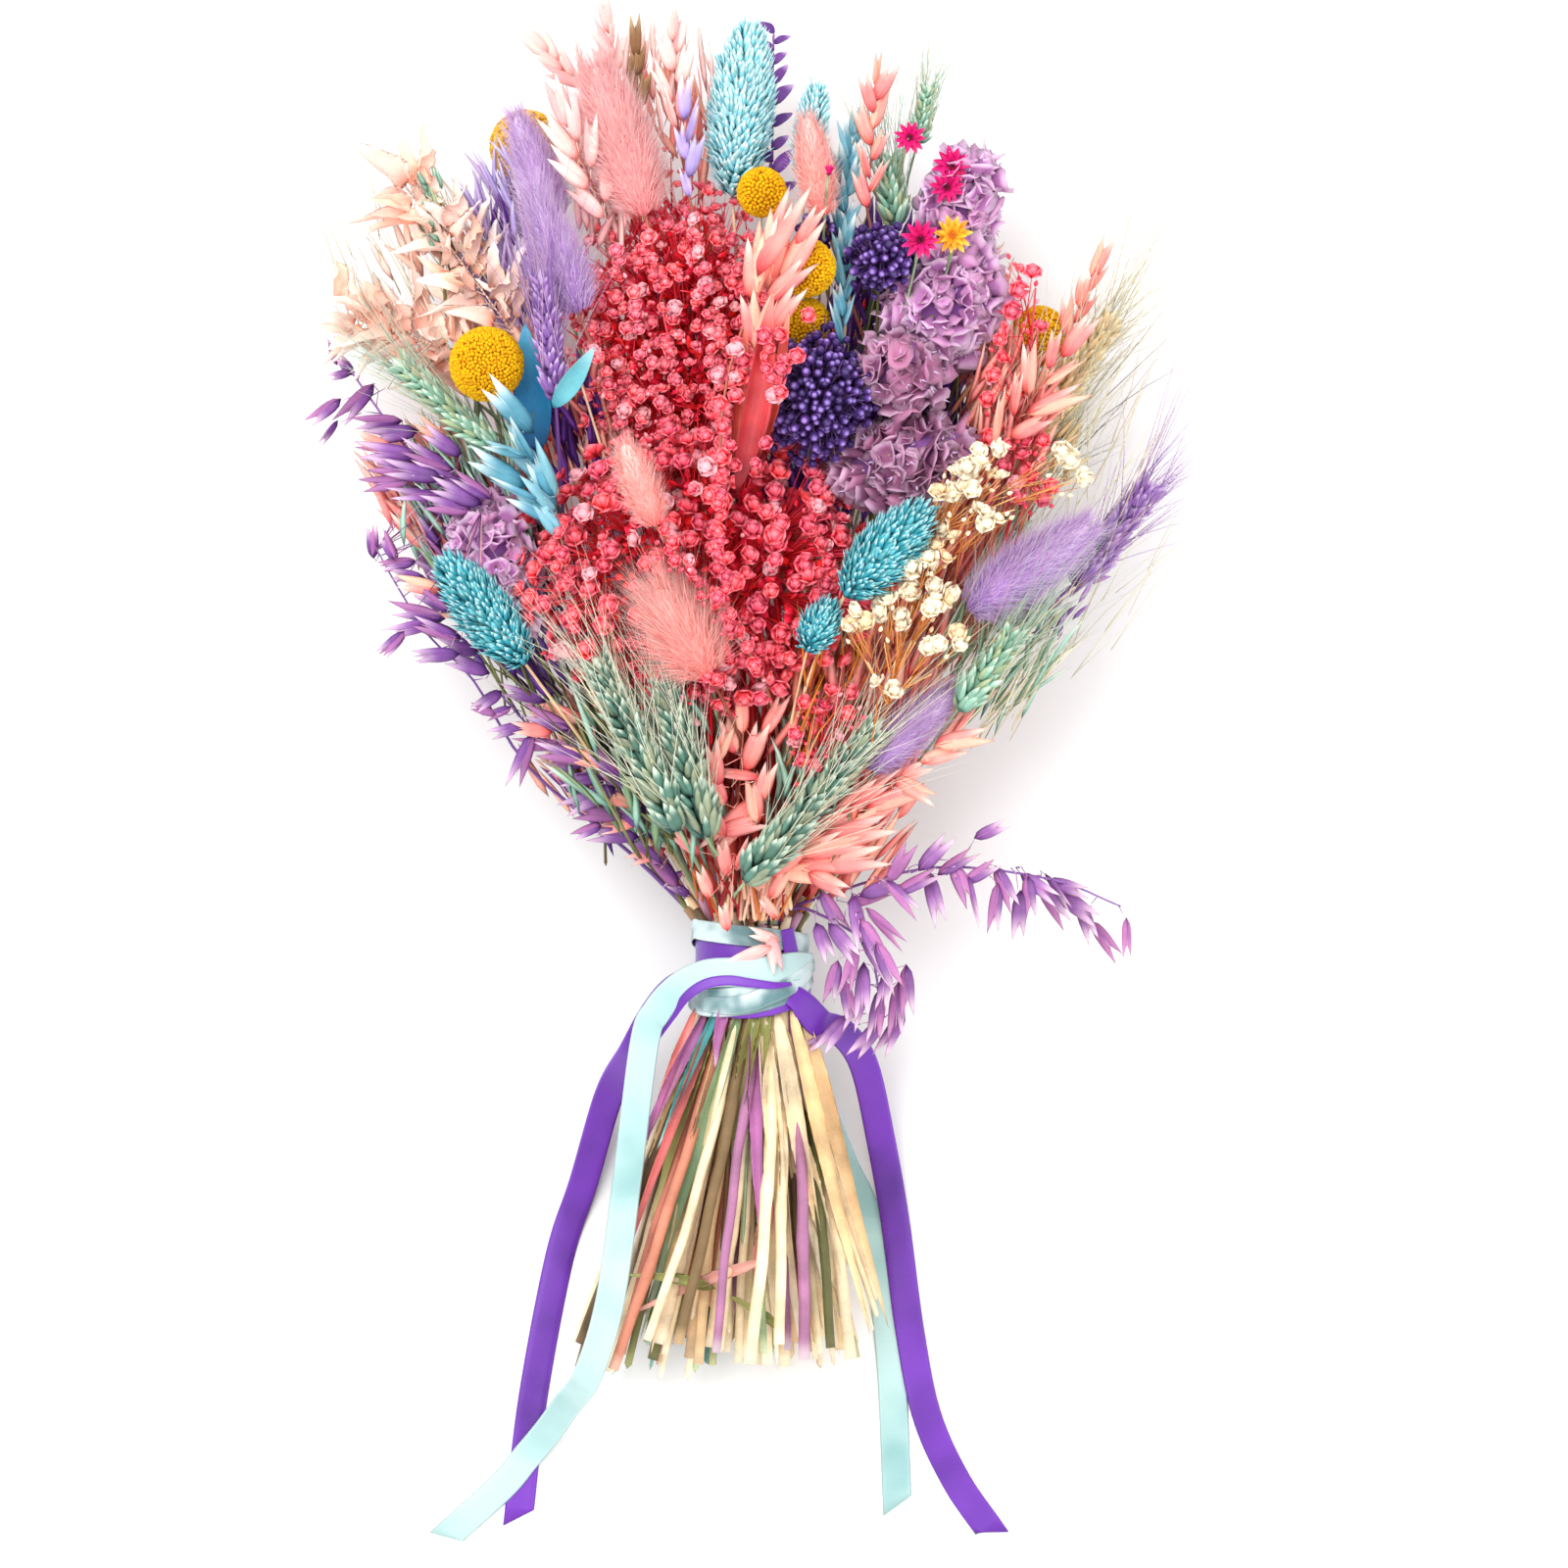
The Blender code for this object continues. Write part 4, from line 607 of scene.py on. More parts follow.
class Heap:
    """The surfaces of one piece, gathered until its mesh is made."""

    def __init__(self, seed):
        self.rng = np.random.default_rng(seed)
        self.points, self.faces, self.share, self.tone, self.finish = [], [], [], [], []
        self.stems = []
        self.total = 0

    def put(self, surface, finish, tone):
        """Adds a surface, with a tone for each of its points."""
        points, faces, share = surface
        self.points.append(points)
        self.faces.append(faces + self.total)
        self.share.append(share)
        self.tone.append(np.broadcast_to(tone, (len(points),)))
        self.finish += [(finish, len(faces))]
        self.total += len(points)

    def scatter(self, shape, finish, at, way, up, size, bend=None):
        """Adds copies of a shape, each with its own tone."""
        tone = self.rng.random(len(at))
        self.put(placed(shape, at, way, up, size, bend), finish, np.repeat(tone, len(shape[0])))

    def scatter_mix(self, shapes, finish, at, way, size):
        """Adds copies that take the shapes in turn."""
        for k, shape in enumerate(shapes):
            pick = np.arange(len(at)) % len(shapes) == k
            self.scatter(shape, finish, at[pick], way[pick], askew(way[pick]), size[pick])


def as_piece(name, heap, nodes):
    """The heap as one mesh in metres in the CAD's place, with its finishes; the CAD parts that it stands for
    are hidden.
    """
    points = np.vstack(heap.points) * MM + TIE_PLACE
    points[:, 2] = np.maximum(points[:, 2], FLOOR_GAP)
    faces = np.vstack(heap.faces)
    mesh = bpy.data.meshes.new(name)
    mesh.vertices.add(len(points))
    mesh.vertices.foreach_set("co", points.ravel())
    mesh.loops.add(3 * len(faces))
    mesh.loops.foreach_set("vertex_index", faces.ravel().astype(np.int32))
    mesh.polygons.add(len(faces))
    mesh.polygons.foreach_set("loop_start", np.arange(0, 3 * len(faces), 3, dtype=np.int32))
    mesh.polygons.foreach_set("use_smooth", np.ones(len(faces), bool))
    names = list(dict.fromkeys(finish for finish, _ in heap.finish))
    index = np.concatenate([np.full(count, names.index(finish), np.int32) for finish, count in heap.finish])
    mesh.polygons.foreach_set("material_index", index)
    for finish in names:
        mesh.materials.append(finish_named(finish))
    for key, values in (("share", heap.share), ("tone", heap.tone)):
        values = np.concatenate(values).astype(np.float32)
        mesh.attributes.new(key, "FLOAT", "POINT").data.foreach_set("value", values)
    mesh.update(calc_edges=True)
    mesh.validate()
    piece = bpy.data.objects.new(name, mesh)
    bpy.context.scene.collection.objects.link(piece)
    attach(piece, "root")
    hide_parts(*nodes)
    return piece


# Finishes: dyed plant, with a shared group for its colours and its grain

def linear(colour):
    """Linear values of a colour given as it is seen."""
    return [c / 12.92 if c <= 0.04045 else ((c + 0.055) / 1.055) ** 2.4 for c in colour]


def node(tree, kind, **values):
    """A new node with the given properties."""
    made = tree.nodes.new(kind)
    for key, value in values.items():
        setattr(made, key, value)
    return made


def link(tree, source, target):
    """Joins an output to an input."""
    tree.links.new(source, target)


def ranged(tree, value, low, high, out_low=0.0, out_high=1.0):
    """A smooth step of a value from low to high."""
    step = node(tree, "ShaderNodeMapRange", interpolation_type="SMOOTHSTEP")
    link(tree, value, step.inputs["Value"])
    for key, number in (("From Min", low), ("From Max", high), ("To Min", out_low), ("To Max", out_high)):
        step.inputs[key].default_value = number
    return step.outputs["Result"]


def mixed(tree, share, first, second):
    """A mix of two colours."""
    mix = node(tree, "ShaderNodeMix", data_type="RGBA")
    link(tree, share, mix.inputs[0])
    link(tree, first, mix.inputs[6])
    link(tree, second, mix.inputs[7])
    return mix.outputs[2]


def sums(tree, kind, first, second):
    """One step of maths on two values, each a socket or a number."""
    step = node(tree, "ShaderNodeMath", operation=kind)
    for socket, value in zip(step.inputs, (first, second)):
        if isinstance(value, (int, float)):
            socket.default_value = value
        else:
            link(tree, value, socket)
    return step.outputs[0]


def dye_group():
    """Colour and relief of dyed plant: from root to body to tip by share, with odd copies by tone,
    patches where the dye took unevenly, and fine grain."""
    group = bpy.data.node_groups.new("dyed plant", "ShaderNodeTree")
    for name in ("Root", "Body", "Tip", "Odd"):
        group.interface.new_socket(name, in_out="INPUT", socket_type="NodeSocketColor")
    for name, value in (("Odd Share", 0.1), ("Root End", 0.5), ("Tip Start", 0.6), ("Spread", 0.2),
                        ("Patch", 0.15), ("Grain", 900.0)):
        socket = group.interface.new_socket(name, in_out="INPUT", socket_type="NodeSocketFloat")
        socket.default_value = value
    group.interface.new_socket("Color", in_out="OUTPUT", socket_type="NodeSocketColor")
    group.interface.new_socket("Height", in_out="OUTPUT", socket_type="NodeSocketFloat")
    given, out = node(group, "NodeGroupInput").outputs, node(group, "NodeGroupOutput")
    share = node(group, "ShaderNodeAttribute", attribute_name="share").outputs["Fac"]
    tone = node(group, "ShaderNodeAttribute", attribute_name="tone").outputs["Fac"]
    place = node(group, "ShaderNodeTexCoord").outputs["Object"]
    patch = node(group, "ShaderNodeTexNoise")
    patch.inputs["Scale"].default_value = 70.0
    patch.inputs["Detail"].default_value = 3.0
    link(group, place, patch.inputs["Vector"])
    grain = node(group, "ShaderNodeTexNoise")
    grain.inputs["Detail"].default_value = 2.0
    link(group, place, grain.inputs["Vector"])
    link(group, given["Grain"], grain.inputs["Scale"])
    maths = partial(sums, group)
    low = maths("DIVIDE", share, given["Root End"])
    low = ranged(group, low, 0.0, 1.0)
    high = maths("SUBTRACT", share, given["Tip Start"])
    high = maths("DIVIDE", high, maths("SUBTRACT", 1.001, given["Tip Start"]))
    high = ranged(group, high, 0.0, 1.0)
    body = mixed(group, low, given["Root"], given["Body"])
    body = mixed(group, high, body, given["Tip"])
    odd = maths("LESS_THAN", tone, given["Odd Share"])
    body = mixed(group, maths("MULTIPLY", odd, 0.8), body, given["Odd"])
    jitter = maths("FRACT", maths("MULTIPLY", tone, 7.3), 0.0)
    light = maths("MULTIPLY", maths("SUBTRACT", jitter, 0.5), given["Spread"])
    uneven = maths("SUBTRACT", patch.outputs["Fac"], 0.5)
    light = maths("ADD", light, maths("MULTIPLY", uneven, maths("MULTIPLY", given["Patch"], 2.5)))
    fine = maths("MULTIPLY", maths("SUBTRACT", grain.outputs["Fac"], 0.5), 0.25)
    value = maths("ADD", maths("ADD", light, 1.0), fine)
    hue = node(group, "ShaderNodeHueSaturation")
    link(group, body, hue.inputs["Color"])
    link(group, value, hue.inputs["Value"])
    drift = maths("MULTIPLY", maths("SUBTRACT", jitter, 0.5), 0.012)
    link(group, maths("ADD", drift, 0.5), hue.inputs["Hue"])
    link(group, hue.outputs["Color"], out.inputs["Color"])
    link(group, grain.outputs["Fac"], out.inputs["Height"])
    return group


DYED = dye_group()

# Dyes by surface (roughness, sheen, relief in millimetres). All the numbers of a dye are percents: the root,
# body and tip colours, odd copies' colour and share, where the root colour ends and the tip colour starts,
# how much the copies' brightness spreads, and how uneven the dye is.
DYES = {
    (0.45, 0.0, 0.3): {
        "deep blue leaf": ((2, 28, 48), (8, 46, 66), (30, 68, 82), (5, 38, 58), 20, 40, 50, 10, 34),
        "aqua leaf": ((22, 52, 58), (38, 67, 71), (60, 80, 83), (32, 60, 66), 20, 30, 60, 14, 30),
        "straw stem": ((96, 90, 78), (95, 86, 71), (98, 92, 80), (89, 74, 55), 24, 5, 90, 22, 50),
        "green stem": ((84, 88, 72), (60, 70, 54), (74, 80, 64), (44, 50, 34), 25, 5, 90, 20, 40),
        "pink stem": ((90, 70, 62), (78, 48, 40), (88, 66, 56), (58, 30, 24), 25, 5, 90, 26, 44),
        "plum stem": ((86, 76, 80), (66, 44, 58), (76, 58, 68), (50, 32, 44), 20, 5, 90, 20, 40),
        "teal stem": ((74, 82, 76), (36, 58, 54), (54, 72, 66), (24, 40, 38), 20, 5, 90, 24, 44),
        "brown stem": ((80, 66, 50), (46, 36, 24), (60, 48, 34), (30, 22, 14), 30, 5, 90, 24, 44),
        "olive stem": ((78, 76, 56), (50, 50, 30), (64, 64, 42), (34, 34, 18), 30, 5, 90, 24, 44),
    },
    (0.5, 0.0, 0.2): {
        # Red blade is dark red at the root and red along the blade; packed low in the bunch, these blades
        # stand for red leaves and for painted shade in the gaps
        "red blade": ((50, 4, 5), (86, 30, 28), (97, 56, 50), (62, 8, 8), 30, 50, 60, 26, 30),
        "pink straw": ((92, 74, 60), (97, 76, 68), (99, 82, 74), (94, 84, 64), 30, 30, 60, 16, 20),
        "salmon blade": ((74, 22, 20), (97, 56, 50), (100, 84, 78), (88, 42, 34), 30, 40, 60, 28, 30),
        "mint blade": ((34, 54, 48), (62, 78, 70), (90, 94, 88), (50, 58, 40), 30, 40, 55, 26, 30),
        "dark blade": ((12, 14, 8), (26, 30, 20), (40, 46, 34), (18, 14, 10), 30, 45, 60, 24, 30),
        "mint grain": ((13, 26, 24), (34, 49, 43), (84, 90, 82), (60, 63, 52), 25, 44, 60, 38, 36),
        "green grain": ((28, 50, 44), (54, 72, 63), (85, 91, 83), (68, 72, 54), 25, 40, 55, 30, 28),
        "purple grain": ((36, 24, 48), (56, 40, 68), (82, 72, 88), (70, 54, 76), 20, 40, 60, 20, 20),
    },
    (0.6, 0.0, 0.2): {
        "red stalk": ((56, 5, 6), (74, 14, 12), (90, 40, 34), (86, 48, 20), 25, 40, 60, 20, 20),
        "rust stalk": ((72, 26, 18), (93, 52, 43), (100, 80, 70), (90, 54, 28), 30, 40, 60, 28, 20),
        "amber stalk": ((72, 36, 6), (88, 54, 14), (94, 70, 34), (80, 40, 10), 30, 40, 60, 20, 20),
        "olive stalk": ((34, 34, 16), (52, 54, 34), (74, 76, 60), (30, 26, 14), 30, 40, 60, 24, 20),
        "cream branch": ((80, 46, 20), (92, 62, 34), (97, 80, 56), (74, 38, 14), 25, 40, 60, 18, 15),
        "berry stalk": ((20, 12, 30), (34, 22, 44), (44, 32, 54), (26, 16, 36), 20, 40, 60, 20, 20),
    },
    (0.8, 0.0, 0.1): {
        "canary heart": ((2, 30, 36), (6, 42, 48), (10, 50, 55), (5, 38, 44), 20, 40, 80, 20, 20),
        "coral petal": ((84, 6, 14), (96, 30, 38), (100, 54, 60), (100, 76, 79), 10, 38, 64, 28, 18),
        "coral upper petal": ((98, 16, 28), (100, 36, 44), (100, 62, 66), (100, 76, 79), 14, 30, 60, 24, 14),
        "cream petal": ((90, 78, 58), (97, 89, 76), (99, 95, 86), (96, 82, 64), 20, 30, 55, 14, 14),
    },
    (0.6, 0.0, 0.1): {
        # Statice glint colours pale hairs at the funnel rims: painted highlights
        "statice painted glint": ((70, 52, 78), (92, 82, 96), (100, 97, 100), (86, 70, 90), 20, 30, 60, 20, 10),
        # The next dye is a darker copy of the statice paper for the lower statice heads: painted shade
        "statice paper painted shade": ((26, 12, 22), (56, 34, 48), (86, 68, 80), (72, 46, 60), 25, 46, 78, 34, 34),
        "coral branch": ((84, 6, 14), (96, 18, 26), (99, 36, 42), (84, 8, 16), 20, 40, 60, 20, 12),
        "statice paper": ((40, 20, 40), (72, 48, 70), (95, 80, 92), (84, 60, 78), 25, 40, 74, 30, 28),
    },
    (0.5, 0.0, 0.4): {
        "straw blade": ((94, 86, 72), (96, 89, 76), (99, 95, 86), (93, 80, 61), 26, 20, 70, 18, 46),
        "pink blade": ((90, 52, 48), (96, 64, 60), (98, 78, 72), (80, 40, 40), 20, 20, 70, 20, 30),
        "teal blade": ((20, 50, 52), (34, 66, 66), (60, 80, 78), (24, 46, 48), 20, 20, 70, 20, 30),
        "plum blade": ((50, 26, 44), (72, 46, 66), (84, 64, 78), (56, 32, 48), 20, 20, 70, 20, 30),
    },
    (0.5, 0.1, 0.2): {
        "beige grain": ((62, 50, 30), (86, 76, 56), (96, 90, 76), (92, 78, 60), 20, 40, 60, 16, 14),
        "brown husk": ((36, 24, 14), (56, 42, 28), (76, 64, 46), (64, 50, 34), 22, 35, 50, 16, 14),
        "magenta petal": ((50, 0, 24), (88, 5, 44), (96, 20, 56), (76, 2, 36), 20, 30, 70, 14, 12),
        "golden petal": ((78, 40, 5), (97, 68, 16), (100, 84, 40), (95, 58, 12), 20, 30, 70, 12, 12),
    },
    (0.5, 0.0, 0.05): {
        "bright awn": ((80, 86, 76), (95, 95, 87), (100, 100, 96), (92, 84, 70), 20, 30, 60, 20, 5),
        "pale awn": ((62, 62, 48), (84, 82, 70), (94, 93, 86), (80, 72, 58), 25, 30, 60, 20, 5),
        "mint awn": ((46, 62, 55), (74, 84, 76), (95, 98, 93), (86, 80, 68), 25, 30, 60, 24, 5),
    },
    (0.9, 0.4, 0.1): {
        "tail soft pink": ((92, 38, 38), (100, 65, 62), (100, 90, 87), (100, 82, 79), 15, 30, 48, 32, 14),
        "tail lilac": ((56, 40, 70), (80, 63, 88), (98, 90, 98), (92, 84, 97), 22, 30, 42, 30, 16),
        "plume soft pink": ((96, 52, 55), (100, 72, 72), (100, 91, 89), (99, 62, 64), 18, 30, 45, 25, 14),
    },
    (0.45, 0.0, 0.2): {
        "purple husk": ((26, 11, 38), (47, 27, 56), (88, 74, 86), (64, 38, 60), 28, 40, 42, 28, 28),
        "violet husk": ((36, 17, 44), (56, 36, 62), (94, 80, 88), (72, 44, 66), 28, 40, 42, 28, 28),
        "blue husk": ((9, 34, 44), (32, 57, 65), (90, 97, 97), (50, 72, 78), 28, 38, 46, 30, 36),
    },
    (0.9, 0.0, 0.1): {
        # Coral shade colours red filler inside the baby's breath lobes and under them: it stands for their
        # red inner branches and for painted shade between the florets
        "coral shade": ((90, 4, 12), (98, 14, 24), (100, 34, 42), (88, 6, 16), 25, 35, 65, 20, 20),
        # Statice shade colours the dark core of each statice head: painted shade inside it, under the funnels
        "statice shade": ((36, 22, 38), (48, 30, 54), (56, 38, 60), (40, 36, 22), 25, 40, 70, 20, 30),
    },
    (0.6, 0.1, 0.15): {
        "canary pale": ((14, 50, 56), (52, 81, 85), (93, 100, 100), (74, 92, 94), 28, 35, 50, 28, 26),
        "canary scale": ((2, 30, 38), (18, 60, 66), (78, 95, 96), (38, 74, 78), 20, 42, 56, 34, 24),
    },
    (0.8, 0.1, 0.1): {
        "globe floret": ((78, 50, 1), (97, 72, 1), (99, 80, 4), (92, 64, 1), 14, 50, 75, 12, 10),
        "globe amber": ((56, 34, 3), (92, 68, 10), (98, 82, 30), (78, 50, 6), 20, 45, 70, 20, 20),
    },
    (0.45, 0.05, 0.2): {
        "pink husk": ((88, 28, 29), (99, 58, 55), (100, 84, 79), (98, 72, 62), 25, 42, 52, 24, 20),
        "pale pink husk": ((93, 56, 54), (100, 80, 77), (100, 94, 90), (96, 70, 70), 22, 35, 50, 16, 14),
    },
    (0.5, 0.1, 0.4): {
        "olive leaf": ((50, 50, 28), (62, 62, 38), (74, 72, 50), (56, 54, 30), 20, 20, 70, 10, 30),
        "rose leaf": ((84, 62, 58), (92, 74, 70), (97, 84, 80), (88, 66, 62), 20, 20, 70, 10, 20),
    },
    (0.5, 0.05, 0.2): {
        "violet stem": ((44, 26, 58), (52, 34, 64), (60, 42, 70), (40, 24, 52), 20, 30, 60, 10, 15),
    },
    (0.42, 0.0, 0.3): {
        "sprig leaf": ((20, 7, 32), (46, 25, 58), (84, 66, 90), (34, 14, 48), 25, 34, 62, 26, 30),
    },
    (0.9, 0.0, 0.2): {
        "globe heart": ((62, 40, 2), (84, 60, 3), (90, 70, 5), (70, 45, 2), 10, 50, 60, 10, 20),
    },
    (0.8, 0.0, 0.2): {
        "statice calyx": ((36, 40, 20), (50, 50, 26), (66, 58, 44), (44, 34, 22), 30, 50, 60, 20, 20),
    },
    (0.5, 0.1, 0.05): {
        "purple awn": ((46, 30, 60), (66, 50, 76), (86, 76, 90), (84, 70, 80), 25, 30, 60, 14, 5),
    },
    (0.45, 0.15, 0.2): {
        "lilac husk": ((52, 42, 70), (70, 62, 86), (90, 86, 96), (80, 70, 88), 22, 35, 50, 16, 14),
    },
    (0.55, 0.0, 0.3): {
        "peach leaf": ((95, 66, 57), (100, 87, 81), (100, 97, 94), (99, 76, 68), 28, 20, 50, 22, 36),
    },
    (0.4, 0.0, 0.3): {
        "salmon leaf": ((52, 3, 4), (84, 30, 28), (97, 58, 52), (82, 24, 20), 20, 55, 75, 12, 40),
    },
    (0.45, 0.1, 0.3): {
        "violet leaf": ((22, 8, 38), (38, 18, 56), (58, 38, 72), (30, 14, 50), 25, 30, 60, 20, 20),
    },
    (0.28, 0.1, 0.1): {
        # The indigo berry's pale tip colour, on each berry's outer side, is a painted highlight
        "indigo berry": ((8, 3, 18), (25, 13, 40), (66, 54, 88), (16, 8, 30), 25, 30, 78, 36, 20),
    },
    (0.7, 0.0, 0.2): {
        "magenta heart": ((30, 2, 14), (52, 5, 24), (70, 30, 30), (40, 4, 18), 20, 40, 60, 20, 20),
    },
    (0.5, 0.0, 0.1): {
        "orange thread": ((90, 44, 10), (97, 56, 14), (100, 72, 30), (90, 40, 10), 20, 30, 70, 12, 10),
    },
}
FINISHES = {name: (dye, surface) for surface, dyes in DYES.items() for name, dye in dyes.items()}


def new_material(name):
    """A material, its node tree and its shader."""
    material = bpy.data.materials.new(name)
    material.use_nodes = True
    return material, material.node_tree, material.node_tree.nodes["Principled BSDF"]


def set_relief(tree, shader, height, strength, deep):
    """Puts a height on the shader as relief, deep in millimetres."""
    bump = node(tree, "ShaderNodeBump")
    bump.inputs["Strength"].default_value = strength
    bump.inputs["Distance"].default_value = deep * MM
    link(tree, height, bump.inputs["Height"])
    link(tree, bump.outputs["Normal"], shader.inputs["Normal"])


def finish_named(name):
    """The material of a finish, made the first time that it is asked for."""
    if name in bpy.data.materials:
        return bpy.data.materials[name]
    if name in SATINS:
        return satin(name)
    (*colours, odd_share, root_end, tip_start, spread, patch), (rough, sheen, relief) = FINISHES[name]
    material, tree, shader = new_material(name)
    dye = node(tree, "ShaderNodeGroup", node_tree=DYED)
    seen = [(*linear([c / 100 for c in colour]), 1.0) for colour in colours]
    for key, colour in zip(("Root", "Body", "Tip", "Odd"), seen):
        dye.inputs[key].default_value = colour
    for key, number in (("Odd Share", odd_share), ("Root End", root_end), ("Tip Start", tip_start),
                        ("Spread", spread), ("Patch", patch)):
        dye.inputs[key].default_value = number / 100
    link(tree, dye.outputs["Color"], shader.inputs["Base Color"])
    set_relief(tree, shader, dye.outputs["Height"], 0.5, relief)
    for key, number in (("Roughness", rough), ("Sheen Weight", sheen), ("Sheen Roughness", 0.4),
                        ("Sheen Tint", seen[2]), ("Specular IOR Level", 0.3)):
        shader.inputs[key].default_value = number
    return material


# Dark and pale colours of painted fold shade and painted highlight, scale of the patches, and the noise
# values between which the painted shade changes
SATINS = {
    "satin aqua": ((.46, .66, .66), (.76, .88, .87), 22.0, .18, .62),
    "satin aqua painted fold shade": ((.34, .50, .52), (.84, .91, .91), 62.0, .36, .62),
    "satin purple": ((.26, .05, .46), (.46, .17, .72), 22.0, .18, .62),
}


def satin(name):
    """Satin ribbon: fine threads across it, a bright selvedge at each edge, a soft gloss, and cloudy patches
    of painted fold shade and painted highlight. The attribute tone runs across the ribbon, from edge to edge."""
    dark, pale, patches, first, last = SATINS[name]
    material, tree, shader = new_material(name)
    share = node(tree, "ShaderNodeAttribute", attribute_name="share").outputs["Fac"]
    tone = node(tree, "ShaderNodeAttribute", attribute_name="tone").outputs["Fac"]
    place = node(tree, "ShaderNodeTexCoord").outputs["Object"]
    cloud = node(tree, "ShaderNodeTexNoise")
    cloud.inputs["Scale"].default_value = patches
    link(tree, place, cloud.inputs["Vector"])
    shades = [node(tree, "ShaderNodeRGB") for _ in range(2)]
    for shade, colour in zip(shades, (dark, pale)):
        shade.outputs[0].default_value = (*linear(colour), 1.0)
    maths = partial(sums, tree)
    threads = maths("SINE", maths("MULTIPLY", share, 9000.0), 0.0)
    edge = ranged(tree, maths("ABSOLUTE", maths("SUBTRACT", tone, 0.5), 0.0), 0.40, 0.47)
    # fold is painted shade and painted highlight of folds: a noise that mixes the dark colour into the pale
    # one
    fold = ranged(tree, cloud.outputs["Fac"], first, last)
    light = maths("ADD", maths("MULTIPLY", fold, 0.85), maths("MULTIPLY", edge, 0.3))
    light = maths("ADD", light, maths("MULTIPLY", threads, 0.06))
    link(tree, mixed(tree, light, shades[0].outputs[0], shades[1].outputs[0]), shader.inputs["Base Color"])
    set_relief(tree, shader, maths("ADD", threads, maths("MULTIPLY", edge, 2.0)), 0.3, 0.05)
    link(tree, ranged(tree, cloud.outputs["Fac"], 0.3, 0.7, 0.26, 0.36), shader.inputs["Roughness"])
    shader.inputs["Sheen Weight"].default_value = 0.1
    shader.inputs["Specular IOR Level"].default_value = 0.5
    return material


# Heads

# Share of the small parts that a head on the hidden side has
BACK_FINE = 0.55


class Bloom:
    """One head: its place from the layout, its dye, and how much small detail it gets."""

    def __init__(self, head, spine):
        self.node, self.form, self.dye, _, self.wide, self.thick, _ = head
        self.spine = spine
        self.middle, self.way = along(spine, 0.5)
        self.side, self.up = cross_frame(self.way)
        self.long = float(np.linalg.norm(np.diff(spine, axis=0), axis=1).sum())
        self.reach = self.long * 0.95 + 8.0
        self.fine = BACK_FINE if self.node.startswith("back") else 1.0

    def oval(self, ways, share=1.0):
        """Points of the head's oval in the given directions (side, along, up)."""
        half = np.array([self.wide, self.long, self.thick]) / 2
        spread = ways * half * np.reshape(share, (-1, 1))
        return self.middle + spread @ np.stack([self.side, self.way, self.up])

    def out(self, ways):
        """Directions square to the oval at the given directions."""
        half = np.array([self.wide, self.long, self.thick]) / 2
        return rows_unit((ways / half) @ np.stack([self.side, self.way, self.up]))


def spread_ways(count):
    """Directions spread evenly over a sphere by the golden angle, as (side, along, up)."""
    k = np.arange(count)
    up = 1 - 2 * (k + 0.5) / count
    flat, turn = np.sqrt(1 - up * up), k * GOLDEN
    return np.stack([flat * np.cos(turn), flat * np.sin(turn), up], axis=1)


def frames(spine, shares):
    """Points of a spine at the given shares, with its way, side and up there."""
    points, ways = along(spine, shares)
    sides = rows_unit(np.cross(ways, (0.0, 0.0, 1.0)))
    return points, ways, sides, np.cross(sides, ways)


def skin(b, girth, shares, turns, scale=1.0):
    """Points on a head drawn out along its spine, and the directions straight out of it there."""
    points, ways, sides, ups = frames(b.spine, shares)
    round_it = ups * (np.cos(turns) * b.thick)[:, None] + sides * (np.sin(turns) * b.wide)[:, None]
    out = rows_unit(ups * (np.cos(turns) / b.thick)[:, None] + sides * (np.sin(turns) / b.wide)[:, None])
    slope = np.gradient(girth(np.linspace(0, 1, 101)), 0.01) * (b.wide + b.thick) / 4 / b.long
    slope = np.interp(shares, np.linspace(0, 1, 101), np.clip(slope, -2.5, 2.5))
    normal = rows_unit(out - ways * slope[:, None])
    return points + round_it * (girth(shares) * scale / 2)[:, None], normal, ways


def golden(count, girth):
    """Shares and turns that spread count points evenly over a head by the golden angle."""
    grid = np.linspace(0, 1, 201)
    area = np.cumsum(np.maximum(girth(grid), 0.12))
    shares = np.interp((np.arange(count) + 0.5) / count, (area - area[0]) / (area[-1] - area[0]), grid)
    return shares, np.arange(count) * GOLDEN


def core(b, heap, finish, girth, scale, sides=14, rings=12):
    """The closed body that a head's hairs, scales or grains stand on."""
    z = (np.arange(rings) + 0.5) / rings
    shares, turns = np.repeat(z, sides), np.tile(-np.arange(sides) * math.tau / sides, rings)
    points, _, _ = skin(b, girth, shares, turns, scale)
    ends, _ = along(b.spine, (0.0, 1.0))
    share = np.concatenate([[0.0], shares, [1.0]])
    heap.put((np.vstack([ends[:1], points, ends[1:]]), ring_faces(rings, sides), share), finish, 0.5)


def tail_girth(s):
    """The outline of a soft tail: its half width at the shares s of its length."""
    return (1 - 0.3 * s) * np.sin(np.pi * np.clip(s, 0.06, 0.94)) ** 0.45 * 1.1


def scaly_girth(s):
    """The outline of a canary head: its half width at the shares s of its length."""
    return np.sin(np.pi * np.clip(s, 0.02, 0.98)) ** 0.55


HAIR = hair()


TAIL_FINISH = {"soft_pink": "tail soft pink", "lilac": "tail lilac"}


